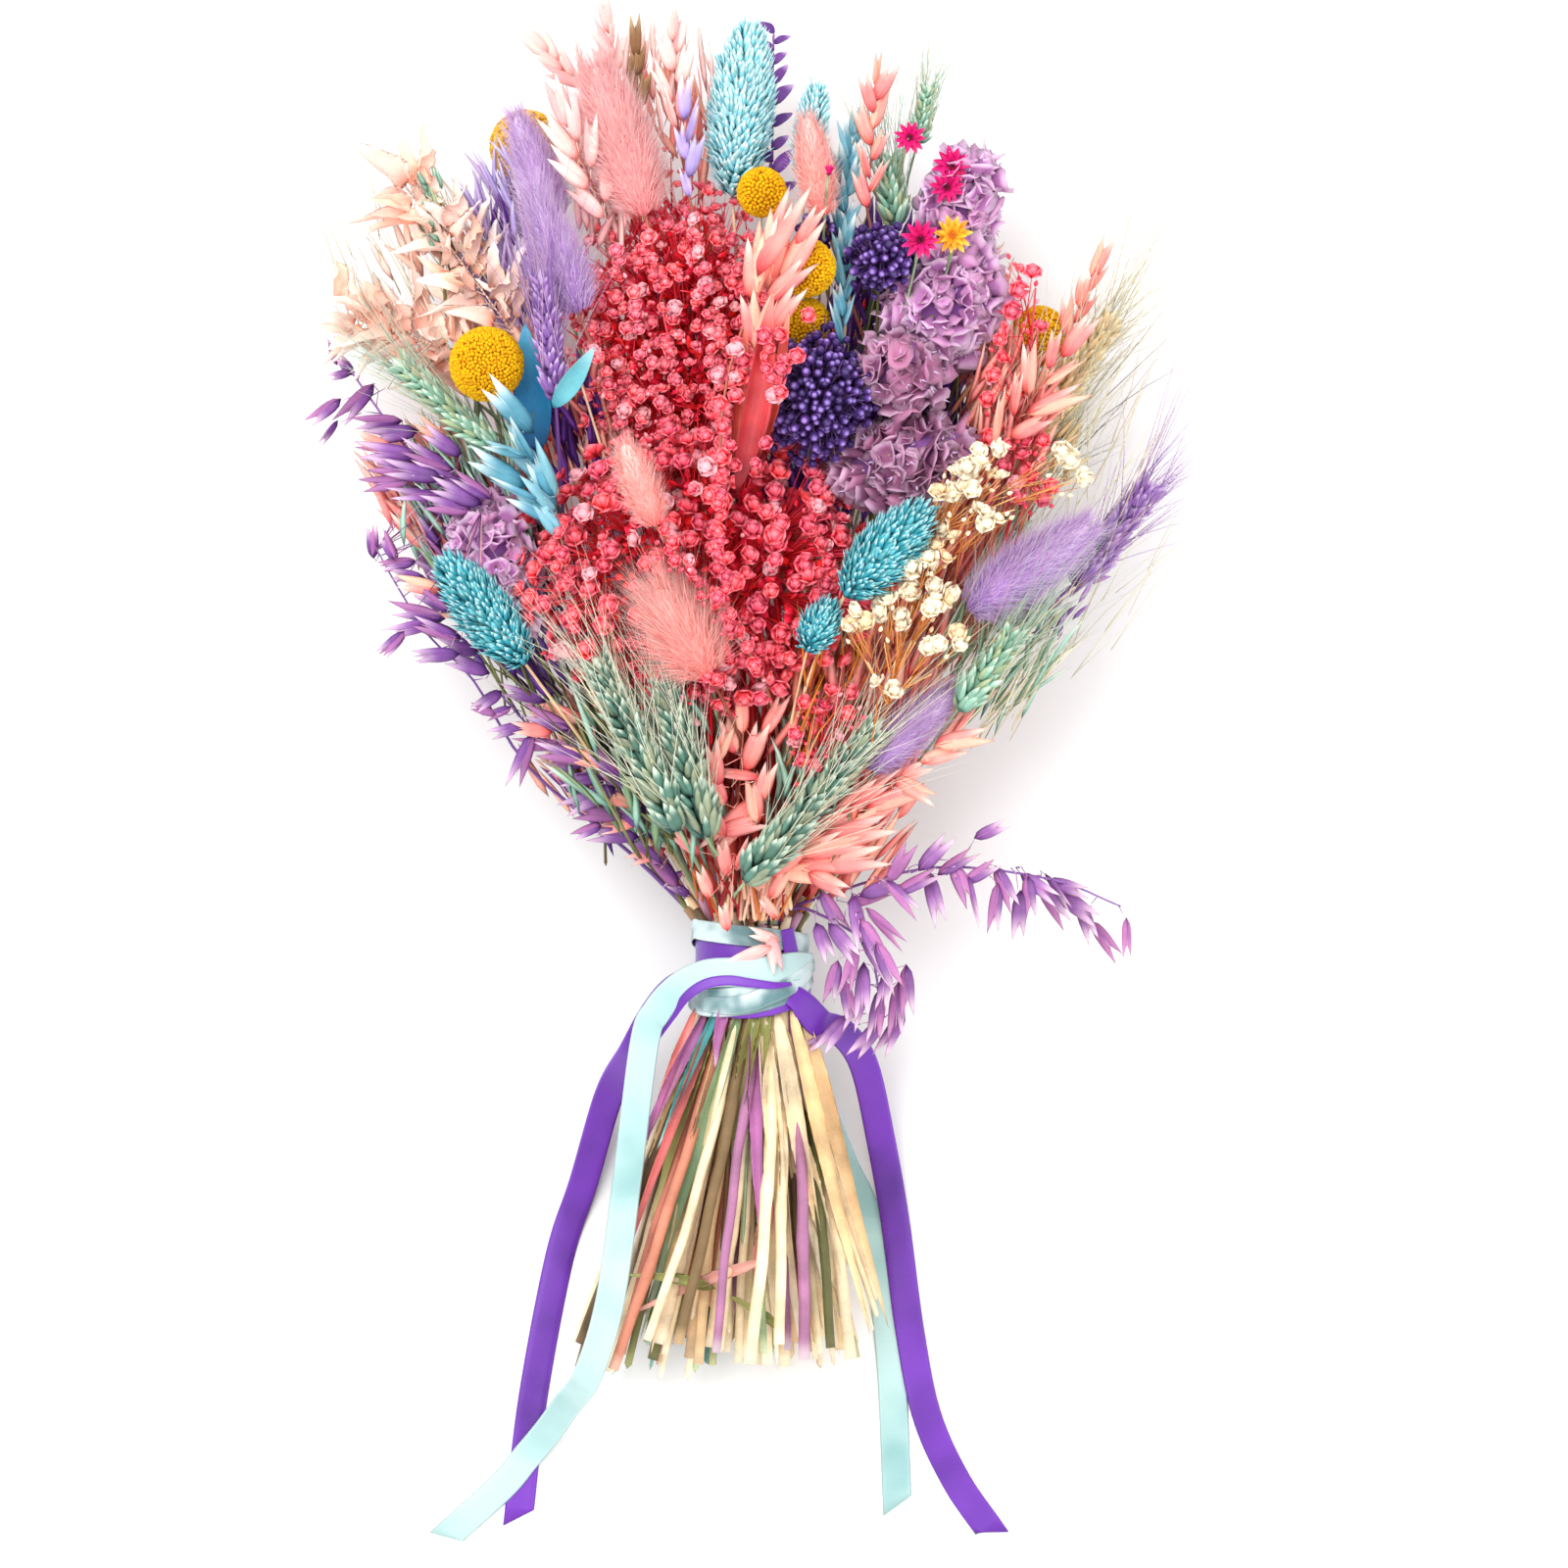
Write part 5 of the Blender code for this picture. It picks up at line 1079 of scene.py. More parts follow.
def dress_tail(b, heap):
    """A soft tail: a fuzz of short hairs over a core, and longer bent ones that stand out less and
    less towards its tip."""
    finish = "plume soft pink" if "plume" in b.node else TAIL_FINISH[b.dye]
    rng, size = heap.rng, (b.wide + b.thick) / 2
    slim = 0.42 if b.node == "bunny_tails_lilac_left" else 0.0
    girth = lambda s: tail_girth(s) * (1 - slim * s)
    core(b, heap, finish, girth, 0.72)
    if slim and b.spine[0][1] > 300:
        thatch(heap, b.node)
    long_hairs = 0.62 if b.node == "bunny_tail_pink_lower" else 0.46
    for count, length, thick, lift in ((1850, 0.26, 0.32, 1.0), (1150, long_hairs, 0.24, 1.1)):
        count = int(count * (size / 25) ** 1.4 * b.long / 38 * b.fine)
        shares, turns = golden(count, girth)
        turns = turns + rng.normal(0, 0.15, count)
        at, out, way = skin(b, girth, shares, turns, 0.68)
        lean = (lift * (1.15 - 0.75 * shares))[:, None]
        aim = rows_unit(out * lean + way * 0.75 + rng.normal(0, 0.16, (count, 3)))
        long = size * length * rng.uniform(0.7, 1.25, count)
        bend = way * (long * rng.uniform(0.1, 0.4, count))[:, None]
        bend = bend + rng.normal(0, 0.08, (count, 3)) * long[:, None]
        heap.scatter(HAIR, finish, at, aim, out, sizes(count, thick, thick, long), bend)


def dress_canary(b, heap):
    """A canary grass head: keeled boat-shaped scales in a close spiral, each lying over the next."""
    girth, rng = scaly_girth, heap.rng
    core(b, heap, "canary heart", girth, 0.74)
    count = int((860 * (b.wide * b.long) / (28 * 68) + 140) * b.fine)
    shares, turns = golden(count, girth)
    at, out, way = skin(b, girth, shares, turns, 0.70)
    aim = rows_unit(out * (0.95 - 0.45 * shares)[:, None] + way + rng.normal(0, 0.22, (count, 3)))
    scale = min(1.0, (b.wide / 24) ** 0.5)
    long = 6.2 * scale * rng.uniform(0.7, 1.2, count)
    wide = 2.7 * scale * rng.uniform(0.7, 1.15, count)
    finish = "canary pale" if "top" in b.node else "canary scale"
    heap.scatter(SCALE, finish, at, aim, out, sizes(count, wide, 0.8 * scale, long), way * 0.9)


SCALE = spindle(4, 3, lambda z: np.sin(np.pi * z ** 0.8) ** 0.8)
FLORET = turned([(0, 0), (1.0, 0.55), (0.66, 1.0), (0, 0.66)], 4)


def dress_ball(b, heap):
    """A globe flower: tiny cupped florets packed over a ball, in a spiral."""
    amber = "upper" in b.node
    core(b, heap, "globe heart", lambda s: np.sin(np.pi * s), 0.90, 16, 12)
    size = (b.wide + b.thick + b.long) / 3
    count = int(1020 * (size / 29) ** 2 * b.fine)
    ways = spread_ways(count)
    at, out = b.oval(ways, 0.86), b.out(ways)
    finish = "globe amber" if amber else "globe floret"
    aim = rows_unit(out + heap.rng.normal(0, 0.10, (count, 3)))
    tall = np.where(heap.rng.random(count) < 0.05, 1.2, heap.rng.uniform(2.2, 2.6, count))
    wide = 0.94 / b.fine ** 0.5
    heap.scatter(FLORET, finish, at, aim, np.roll(aim, 1, axis=1) + 0.01, sizes(count, wide, wide, tall))


def petal(wide, flat, long, lean, turn, curl):
    """One fan-shaped petal of a floret: it leans out from the middle and curls back in."""
    points, faces, share = turned([(0, 0), (0.5, 0.78), (0, 1)], 4)
    x, y, z = (points * (wide, wide * flat, long)).T
    y = y + curl * z * z
    out, up = math.sin(lean), math.cos(lean)
    forward, rise = z * out - y * up, z * up + y * out
    cos, sin = math.cos(turn), math.sin(turn)
    return np.stack([forward * cos - x * sin, forward * sin + x * cos, rise], 1), faces, share


def rosette(layers, rng):
    """A floret: rings of petals, each ring a (count, lean, length, width)."""
    petals = []
    for count, lean, long, wide in layers:
        for k in range(count):
            turn = math.tau * (k + rng.uniform(-0.2, 0.2)) / count + lean
            petals.append(petal(wide, 0.16, long * rng.uniform(0.88, 1.1), lean + rng.uniform(-0.15, 0.15),
                                turn, 0.22 * lean))
    return gathered(petals)


SHAPE_RNG = np.random.default_rng(5)
ROSETTES = [gathered([rosette([(5, 1.15, 1.0, 1.15), (3, 0.62, 1.0, 1.05)], SHAPE_RNG),
                      spindle(4, 2, lambda z: 1.0 + 0 * z)]) for _ in range(4)]
BUD = spindle(5, 2, lambda z: np.sin(np.pi * z ** 0.7) ** 0.6)


def branches(heap, finish, roots, tips, thick):
    """Fine branches from roots to tips, a little bowed."""
    way = tips - roots
    long = np.linalg.norm(way, axis=1)
    up = np.roll(way, 1, axis=1) + 0.3
    bow = heap.rng.normal(0, 0.06, (len(roots), 3)) * long[:, None]
    heap.scatter(TWIG, finish, roots, way, up, sizes(len(roots), thick, thick, long), bow)


TWIG = turned([(0, 0), (0.5, 0.04), (0.36, 0.96), (0, 1)], 3)


def over_stems(b, rows):
    """Points just over the stems that cross in front of a lobe, where its florets close over them."""
    line = np.vstack([smooth(route, 60) for route in rows])
    away = (line - b.middle) @ np.stack([b.side, b.way, b.up]).T / (np.array([b.wide, b.long, b.thick]) / 2)
    over = (np.hypot(away[:, 0], away[:, 1]) < 0.92) & (away[:, 2] > 0.2)
    return line[over]


def dress_gyp(b, heap):
    """A baby's breath lobe: ruffled florets over its oval, on fine branches that fork from the stem."""
    rng, upper = heap.rng, "upper" in b.node
    area = b.wide * b.long
    count = int(area / (23 if upper else 30) * b.fine)
    ways = spread_ways(count)
    reach = rng.uniform(0.78, 1.22, count) if upper else rng.uniform(0.84, 1.16, count)
    at, out = b.oval(ways, reach), b.out(ways)
    at += rng.normal(0, 1.0, (count, 3))
    size = rng.uniform(3.2, 5.4, count) * (0.84 if upper else 1.16)
    front = over_stems(b, heap.stems)
    if len(front) and b.fine == 1.0:
        front = front[rng.permutation(len(front))[:150]] + rng.normal(0, 1.6, (min(len(front), 150), 3))
        at = np.vstack([at, front + (0, 0, 2.6)])
        out = np.vstack([out, np.tile((0.0, 0.0, 1.0), (len(front), 1))])
        count, size = len(at), np.concatenate([size, rng.uniform(3.0, 4.2, len(front))])
    aim = rows_unit(out + b.way * 0.25 + rng.normal(0, 0.35, (count, 3)))
    petals = "coral upper petal" if upper else "coral petal"
    # Red filler deep inside the lobe: its red inner branches, and painted shade between the florets
    inside = int(count * 0.9)
    deep = b.oval(spread_ways(inside), rng.uniform(0.35, 0.86, inside)) + rng.normal(0, 1.5, (inside, 3))
    heap.scatter(BLADE, "coral shade", deep, rows_unit(rng.normal(0, 0.8, (inside, 3)) + b.up),
                 rng.normal(0, 1, (inside, 3)), sizes(inside, 4.6, 8.0, 6.4))
    heap.scatter_mix(ROSETTES, petals, at, aim, sizes(count, size, size, size))
    thatch(heap, b.node)
    hubs = b.oval(spread_ways(max(count // 9, 8)), 0.55)
    near = np.argmin(((at[:, None] - hubs[None]) ** 2).sum(-1), axis=1)
    branches(heap, "coral branch", hubs[near], at, 0.55)
    on_spine, _ = along(b.spine, np.clip(((hubs - b.spine[0]) @ b.way) / b.long - 0.25, 0.0, 1.0))
    branches(heap, "coral branch", on_spine, hubs, 0.95)
    if upper:
        knots = b.oval(spread_ways(40), rng.uniform(0.75, 0.95, 40))
        knots = knots[(knots - b.middle) @ b.up > 0]
        ends = np.repeat(knots, 6, axis=0)
        branches(heap, "coral branch", along(b.spine, rng.uniform(0, 0.5, len(knots)))[0], knots, 1.2)
        ends = ends + rng.normal(0, 7.5, ends.shape) * (1, 1, 0.25) + b.way * 4 + (0, 0, 2.0)
        branches(heap, "coral branch", np.repeat(knots, 6, axis=0), ends, 0.8)
    buds = count if upper else count // 2
    pick = rng.integers(0, count, buds)
    tips = at[pick] + rng.normal(0, 3.2, (buds, 3)) + out[pick] * 1.5
    branches(heap, "coral branch", hubs[near[pick]], tips, 0.45)
    heap.scatter(BUD, petals, tips, aim[pick], askew(out[pick]), sizes(buds, 2.0, 2.0, 3.4))


# Florets of the cream spray and of the pink sprays at the right, as (x, y) from the tie
SPRAY_PLACES = {
    "babys_breath_cream": [
        (88, 204), (86, 192), (94, 184), (80, 178), (75, 192), (71, 165), (62, 160), (64, 152), (55, 146),
        (47, 141),
        (79, 153), (74, 147), (63, 138), (72, 130), (84, 136), (57, 113), (101, 209), (101, 198), (129, 207),
        (134, 200),
        (91, 207), (82, 200), (96, 180), (52, 150), (66, 163), (40, 141), (76, 170), (88, 198)],
    "babys_breath_pink_right": [
        (108, 283), (114, 281), (109, 276), (106, 268), (117, 260), (101, 256), (99, 241), (102, 247),
        (96, 232),
        (111, 207), (116, 199), (107, 197), (119, 214), (113, 213), (97, 216), (111, 190), (102, 204),
        (94, 205),
        (117, 192), (105, 259), (113, 202), (107, 190), (122, 196), (104, 212)],
}


def dress_spray(b, heap):
    """An open spray: florets at the ends of fine forking branches."""
    rng, cream = heap.rng, b.dye == "cream"
    if b.node in SPRAY_PLACES:
        flat = np.array(SPRAY_PLACES[b.node], float)
        shares = np.clip(((flat - b.spine[0][:2]) @ b.way[:2]) / b.long, 0.05, 1.0)
        high = along(b.spine, shares)[0][:, 2] + rng.uniform(0.2, 0.6, len(flat)) * b.thick
        tips = np.column_stack([flat, high])
        size = rng.uniform(3.4, 4.6, len(flat)) * (1.35 if cream else 1.1)
        if cream:
            more = tips + rng.normal(0, 3.2, tips.shape) * (1, 1, 0.5) + (0, 0, 1.5)
            tips, size = np.vstack([tips, more]), np.concatenate([size, size * 0.9])
            shares = np.tile(shares, 2)
    else:
        count = max(9, int(b.wide * b.long / 60))
        ways = spread_ways(count)
        tips = b.oval(ways, rng.uniform(0.6, 1.05, count))
        shares = np.clip(((tips - b.spine[0]) @ b.way) / b.long, 0.05, 1.0)
        size = rng.uniform(3.4, 4.4, count)
    petals = "cream petal" if cream else "coral petal"
    if b.node == "babys_breath_cream" and b.spine[0][0] < 100:
        thatch(heap, b.node)
    twigs = "cream branch" if cream else "coral branch"
    aim = rows_unit(b.way * 0.4 + b.up * 0.7 + rng.normal(0, 0.4, (len(tips), 3)))
    heap.scatter_mix(ROSETTES, petals, tips, aim, sizes(len(tips), size, size, size))
    roots, _ = along(b.spine, np.clip(shares - 0.3, 0.0, 1.0))
    forks = roots + (tips - roots) * 0.55 + rng.normal(0, 1.2, (len(tips), 3))
    branches(heap, twigs, roots, forks, 0.8)
    branches(heap, twigs, forks, tips, 0.6)
    buds = len(tips) * 2
    pick = np.arange(buds) % len(tips)
    ends = forks[pick] + (tips - forks)[pick] * rng.uniform(0.4, 1.0, (buds, 1))
    ends = ends + rng.normal(0, 3.4, (buds, 3))
    branches(heap, twigs, forks[pick], ends, 0.4)
    heap.scatter(BUD, petals, ends, ends - forks[pick], askew(aim[pick]), sizes(buds, 2.0, 2.0, 3.2))


def funnel(sides, waves, phase, ruffle):
    """A papery funnel with a wall: out along its outside to a ruffled rim and back down inside."""
    points, faces, share = turned([(0, 0), (.24, .34), (.62, .74), (1.0, 1.0), (.40, .70), (0, .42)], sides)
    turn, reach = np.arctan2(points[:, 1], points[:, 0]), np.hypot(points[:, 0], points[:, 1])
    wave = np.sin(waves * turn + phase)
    points = points * np.stack([1 + ruffle * wave * reach, 1 + ruffle * wave * reach, 1 + 0 * reach], 1)
    points[:, 2] += 0.7 * ruffle * np.cos(waves * turn + phase * 2) * reach ** 2
    return points, faces, share


FUNNELS = [funnel(10, 3, 0.3, 0.14), funnel(11, 4, 1.7, 0.16), funnel(10, 2, 2.6, 0.20),
           funnel(11, 3, 0.9, 0.18)]


def dress_statice(b, heap):
    """A statice head: papery ruffled funnels spread over its oval on forking green stalks."""
    # The lower statice takes a darker copy of its paper dye: painted shade
    rng, paper = heap.rng, "statice paper painted shade" if "lower" in b.node else "statice paper"
    # A dark core: painted shade inside the head, under the funnels
    core(b, heap, "statice shade", lambda s: np.sin(np.pi * s) ** 0.5, 0.70)
    count = int((0.062 * b.wide * b.long + 26) * b.fine)
    ways = spread_ways(count)
    roots, tips = b.oval(ways, 0.42), b.oval(ways, rng.uniform(0.78, 1.16, count))
    tips += rng.normal(0, 1.6, (count, 3))
    aim, size = tips - roots, rng.uniform(3.6, 7.0, count)
    long = np.linalg.norm(aim, axis=1)
    heap.scatter_mix(FUNNELS, paper, roots, aim, sizes(count, size, size, long))
    # Pale hairs just inside the funnel rims: painted highlights
    glints = rng.integers(0, count, count)
    out = rows_unit(aim[glints])
    heap.scatter(HAIR, "statice painted glint", tips[glints] - out * 1.5, out + rng.normal(0, 0.5, (count, 3)),
                 askew(aim[glints]), sizes(count, 1.8, 0.8, 4.4))
    heap.scatter(BUD, "statice calyx", roots, aim, askew(aim), sizes(count, 3.0, 3.0, long * 0.62))
    branches(heap, "statice calyx", along(b.spine, rng.uniform(0.0, 0.7, count))[0], roots, 1.3)
    if b.long > 40 or b.node == "statice_left":
        thatch(heap, b.node)


BLADE = spindle(4, 3, lambda z: np.sin(np.pi * z ** 0.75) ** 0.8, 0.24)

# What closes the gaps under the heads, by node: finish, shape, middle (x, y), half size (x, y), lowest and
# highest, count, length and width
THATCH = {
    "pink_oats_lower_middle": [
        # Red blades low under the middle heads: red leaves, and painted shade in the gaps
        ("red blade", 0, (0, 66), (24, 38), (52, 78), 70, 38, 4.2),
        ("red stalk", 1, (0, 60), (26, 44), (46, 80), 60, 44, 1.2),
        ("pink straw", 1, (2, 36), (16, 10), (64, 74), 60, 30, 2.0),
        ("pink husk", 0, (4, 52), (20, 18), (66, 78), 16, 22, 4.4)],
    "babys_breath_cream": [
        ("rust stalk", 1, (44, 112), (28, 40), (60, 92), 90, 46, 1.0),
        ("salmon blade", 0, (46, 110), (30, 40), (58, 90), 150, 32, 3.6),
        ("rust stalk", 1, (82, 158), (24, 26), (66, 92), 60, 42, 0.9),
        ("salmon blade", 0, (80, 160), (26, 28), (60, 90), 120, 30, 3.2),
        ("amber stalk", 1, (40, 116), (24, 30), (84, 106), 36, 34, 0.9),
        ("pink husk", 0, (58, 108), (34, 40), (76, 94), 44, 32, 4.4)],
    "wheat_green_left": [("mint blade", 0, (-112, 214), (26, 18), (58, 84), 50, 26, 2.4),
                         ("olive stalk", 1, (-104, 204), (26, 20), (56, 82), 40, 34, 1.1)],
    "wheat_purple_left": [("violet leaf", 0, (-74, 224), (14, 28), (58, 84), 46, 22, 3.2),
                          ("pink husk", 0, (-70, 220), (14, 30), (56, 80), 30, 22, 3.4)],
    "pink_oats_lower_right": [("pink husk", 0, (38, 58), (28, 22), (62, 84), 60, 28, 3.6)],
    "wheat_mint_left": [
        ("olive stalk", 1, (-48, 92), (28, 34), (66, 96), 90, 42, 1.2),
        ("mint blade", 0, (-50, 96), (28, 34), (62, 92), 70, 34, 3.0),
        ("dark blade", 0, (-44, 96), (30, 34), (54, 76), 60, 34, 4.0)],
    "wheat_mint_middle": [("mint blade", 0, (-26, 90), (18, 36), (70, 98), 50, 32, 3.0)],
    "wheat_mint_right": [("mint blade", 0, (28, 72), (22, 26), (70, 92), 40, 30, 2.6)],
    "wheat_teal_right": [
        ("mint blade", 0, (104, 136), (24, 30), (66, 100), 90, 26, 2.2),
        ("pale awn", 1, (104, 140), (26, 34), (70, 108), 110, 46, 0.6),
        ("purple grain", 0, (122, 158), (16, 20), (60, 90), 40, 16, 2.2)],
    "purple_oats_left": [
        ("pink husk", 0, (-118, 196), (34, 26), (54, 84), 60, 28, 4.2),
        ("purple husk", 0, (-112, 176), (26, 26), (60, 90), 50, 26, 3.4),
        ("mint blade", 0, (-112, 190), (30, 30), (66, 96), 50, 30, 2.2)],
    "purple_oats_lower_left": [
        ("violet leaf", 0, (-54, 84), (24, 28), (44, 66), 60, 26, 3.4),
        ("pink husk", 0, (-66, 92), (28, 24), (46, 64), 40, 24, 3.6)],
    "pink_oats_right": [
        ("pink husk", 0, (106, 226), (16, 30), (72, 98), 80, 30, 2.8),
        ("rust stalk", 1, (104, 214), (18, 34), (60, 92), 50, 38, 0.9)],
    "pink_oats_top": [
        ("pink husk", 0, (-40, 344), (36, 26), (60, 82), 60, 28, 2.8),
        ("pale pink husk", 0, (-44, 360), (32, 22), (62, 86), 50, 26, 2.4)],
    "pink_oats_pale": [("pale pink husk", 0, (-62, 318), (14, 26), (72, 92), 40, 24, 3.0)],
    "bunny_tails_lilac_left": [
        ("lilac husk", 0, (-100, 296), (16, 34), (54, 72), 90, 30, 2.6),
        ("violet leaf", 0, (-98, 290), (14, 30), (48, 64), 40, 24, 3.0)],
    "statice_right": [
        ("violet leaf", 0, (66, 262), (34, 48), (50, 76), 90, 28, 4.2),
        ("olive stalk", 1, (60, 250), (36, 54), (50, 80), 70, 40, 1.3),
        ("pink husk", 0, (92, 262), (14, 30), (50, 74), 40, 24, 3.2)],
    "statice_left": [("violet leaf", 0, (-92, 150), (26, 34), (54, 80), 60, 26, 4.0),
                     ("olive stalk", 1, (-84, 140), (28, 36), (56, 84), 60, 38, 1.2)],
    "babys_breath_coral_upper": [
        ("coral shade", 1, (-24, 250), (40, 56), (48, 70), 130, 44, 1.6),
        ("salmon blade", 0, (-30, 250), (42, 58), (44, 66), 90, 32, 4.0)],
    "babys_breath_coral_lower": [
        ("coral shade", 1, (-20, 150), (56, 50), (62, 88), 150, 46, 1.8),
        ("salmon blade", 0, (-20, 150), (58, 48), (56, 80), 110, 32, 4.2)],
    "rye_beige_right": [
        ("pale awn", 1, (122, 232), (26, 40), (70, 96), 60, 60, 0.5),
        ("pale awn", 1, (146, 200), (30, 60), (60, 90), 50, 80, 0.35),
        ("beige grain", 0, (118, 220), (16, 30), (70, 90), 60, 14, 2.0)],
    "berries_centre": [("violet leaf", 0, (30, 216), (30, 34), (66, 92), 60, 26, 4.0)],
    "peach_leaves": [
        ("peach leaf", 0, (-126, 272), (36, 32), (58, 74), 60, 22, 4.0),
        ("pale awn", 1, (-140, 290), (36, 36), (60, 80), 60, 40, 0.5),
        ("green grain", 0, (-130, 312), (5, 16), (74, 84), 30, 10, 2.2),
        ("olive stalk", 1, (-124, 292), (2, 14), (74, 80), 4, 44, 2.0)],
}


# How far to the right the thatch reaches
THATCH_RIGHT = 176


def thatch(heap, name):
    """Blades and stalks under a node's heads, where the real bunch is filled with more of the same; the red
    blades and the coral shade stalks also stand for painted shade in the gaps.
    They point away from the tie, as all that is held in it does."""
    rng = heap.rng
    for finish, stalk, middle, half, high, count, long, wide in THATCH.get(name, ()):
        turn, far = rng.uniform(0, math.tau, count), np.sqrt(rng.random(count))
        flat = np.array(middle) + np.stack([np.cos(turn), np.sin(turn)], 1) * far[:, None] * half
        at = np.column_stack([flat, rng.uniform(*high, count)])
        aim = rows_unit(np.column_stack([flat + (0, 25), 0 * far]) + 0.0)
        aim = rows_unit(aim + rng.normal(0, 0.20, (count, 3)) * (1, 1, 0.4))
        long = long * rng.uniform(0.6, 1.25, count)
        facing = rows_unit(rng.normal(0, 0.6, (count, 3)) + (0, 0, 1))
        side = np.cross(aim, (0.0, 0.0, 1.0))
        bow = rng.normal(0, 0.10, count)
        deep = wide if stalk else 0.9 * wide
        root = at - aim * (long / 2)[:, None]
        root += aim * (np.maximum(TIE_HALF + 3 - root[:, 1], 0) / np.maximum(aim[:, 1], 0.3))[:, None]
        long = np.minimum(long, (THATCH_RIGHT - root[:, 0]) / np.maximum(aim[:, 0], 0.05))
        bend = side * (long * bow)[:, None]
        heap.scatter(STALK if stalk else BLADE, finish, root, aim, facing,
                     sizes(count, wide * rng.uniform(0.7, 1.3, count), deep, long), bend)


STALK = turned([(0, 0), (0.5, 0.04), (0.42, 0.5), (0, 1)], 4)


def awns(heap, finish, roots, aim, long, thick, droop=0.12):
    """Long fine awns, a little bent."""
    count = len(roots)
    room = (AWN_REACH - np.abs(roots[:, 0])) / np.maximum(np.abs(aim[:, 0]), 0.05)
    long = np.minimum(long, np.maximum(room, 8.0))
    side = rows_unit(np.cross(aim, (0.0, 0.0, 1.0)))
    bend = side * heap.rng.normal(0, droop, (count, 1))
    bend = bend + (0, 0, 1) * heap.rng.normal(0, droop / 2, (count, 1))
    heap.scatter(AWN, finish, roots, aim, side + 0.01, sizes(count, thick, thick, long), bend * long[:, None])


AWN_REACH = 183.0
AWN = hair(3)
GRAIN = spindle(5, 3, lambda z: np.sin(np.pi * z ** 0.75) ** 0.75)
GRAIN_DYES = {"mint": ("mint grain", "bright awn"), "purple": ("purple grain", "purple awn"),
              "beige": ("beige grain", "pale awn")}


def dress_wheat(b, heap):
    """A bearded ear: plump grains in four rows, each with a long fine awn."""
    rng = heap.rng
    grains, beard = GRAIN_DYES[b.dye]
    if "green" in b.node or "teal" in b.node:
        grains, beard = "green grain", "mint awn"
    rows = max(6, int(b.long / 5.2))
    k = np.arange(4 * rows)
    shares = (k // 4 + 0.5 * (k % 2)) / rows * 0.9
    points, way, side, up = frames(b.spine, shares)
    turn = k % 4 * math.pi / 2 + 0.35 * math.pi + rng.normal(0, 0.18, len(k))
    out = side * np.cos(turn)[:, None] + up * np.sin(turn)[:, None]
    low_front = "mint" in b.node
    girth = (1.45 if low_front else 1.15) * (b.wide / 12) * (1 - 0.35 * shares)
    at = points + out * (1.6 * girth)[:, None]
    aim = rows_unit(way + out * 0.40 + rng.normal(0, 0.07, (len(k), 3)))
    long = 11.0 * girth * rng.uniform(0.8, 1.15, len(k))
    other = np.cross(out, way)
    for fan, share in ((0.0, 1.0), (0.30, 0.8), (-0.30, 0.8)):
        splay = rows_unit(aim + other * fan + rng.normal(0, 0.06, (len(k), 3)))
        heap.scatter(GRAIN, grains, at + other * fan * 2.4, splay, out,
                     sizes(len(k), 3.7 * girth * share, 3.0 * girth * share, long * share), out * 1.2)
    core(b, heap, grains, lambda s: 0.45 * np.sin(np.pi * np.clip(s, 0.05, 0.95)) ** 0.3, 1.0, 8, 8)
    rye = "rye" in b.node
    tips = at + aim * (long * 0.9)[:, None]
    pick = np.concatenate([rng.permutation(len(k)) for _ in range(2)])
    splay = 0.26 if low_front else 0.18
    spread = rows_unit(way[pick] + out[pick] * splay + side[pick] * rng.normal(0, splay, (len(pick), 1)))
    reach = rng.uniform(34, 84, len(pick)) * (1.15 if rye else 0.95) * (1.0 if b.wide > 9 else 0.6)
    awns(heap, beard, tips[pick], spread, reach, 0.42, 0.10)
    if b.node in THATCH:
        thatch(heap, b.node)


HUSK = spindle(6, 5, lambda z: np.sin(np.pi * z ** 0.62) ** 0.95, 0.42)
HUSK_DYES = {"purple": "purple husk", "oat_pink": "pink husk", "sky_blue": "blue husk", "lilac": "lilac husk",
             "brown": "brown husk"}
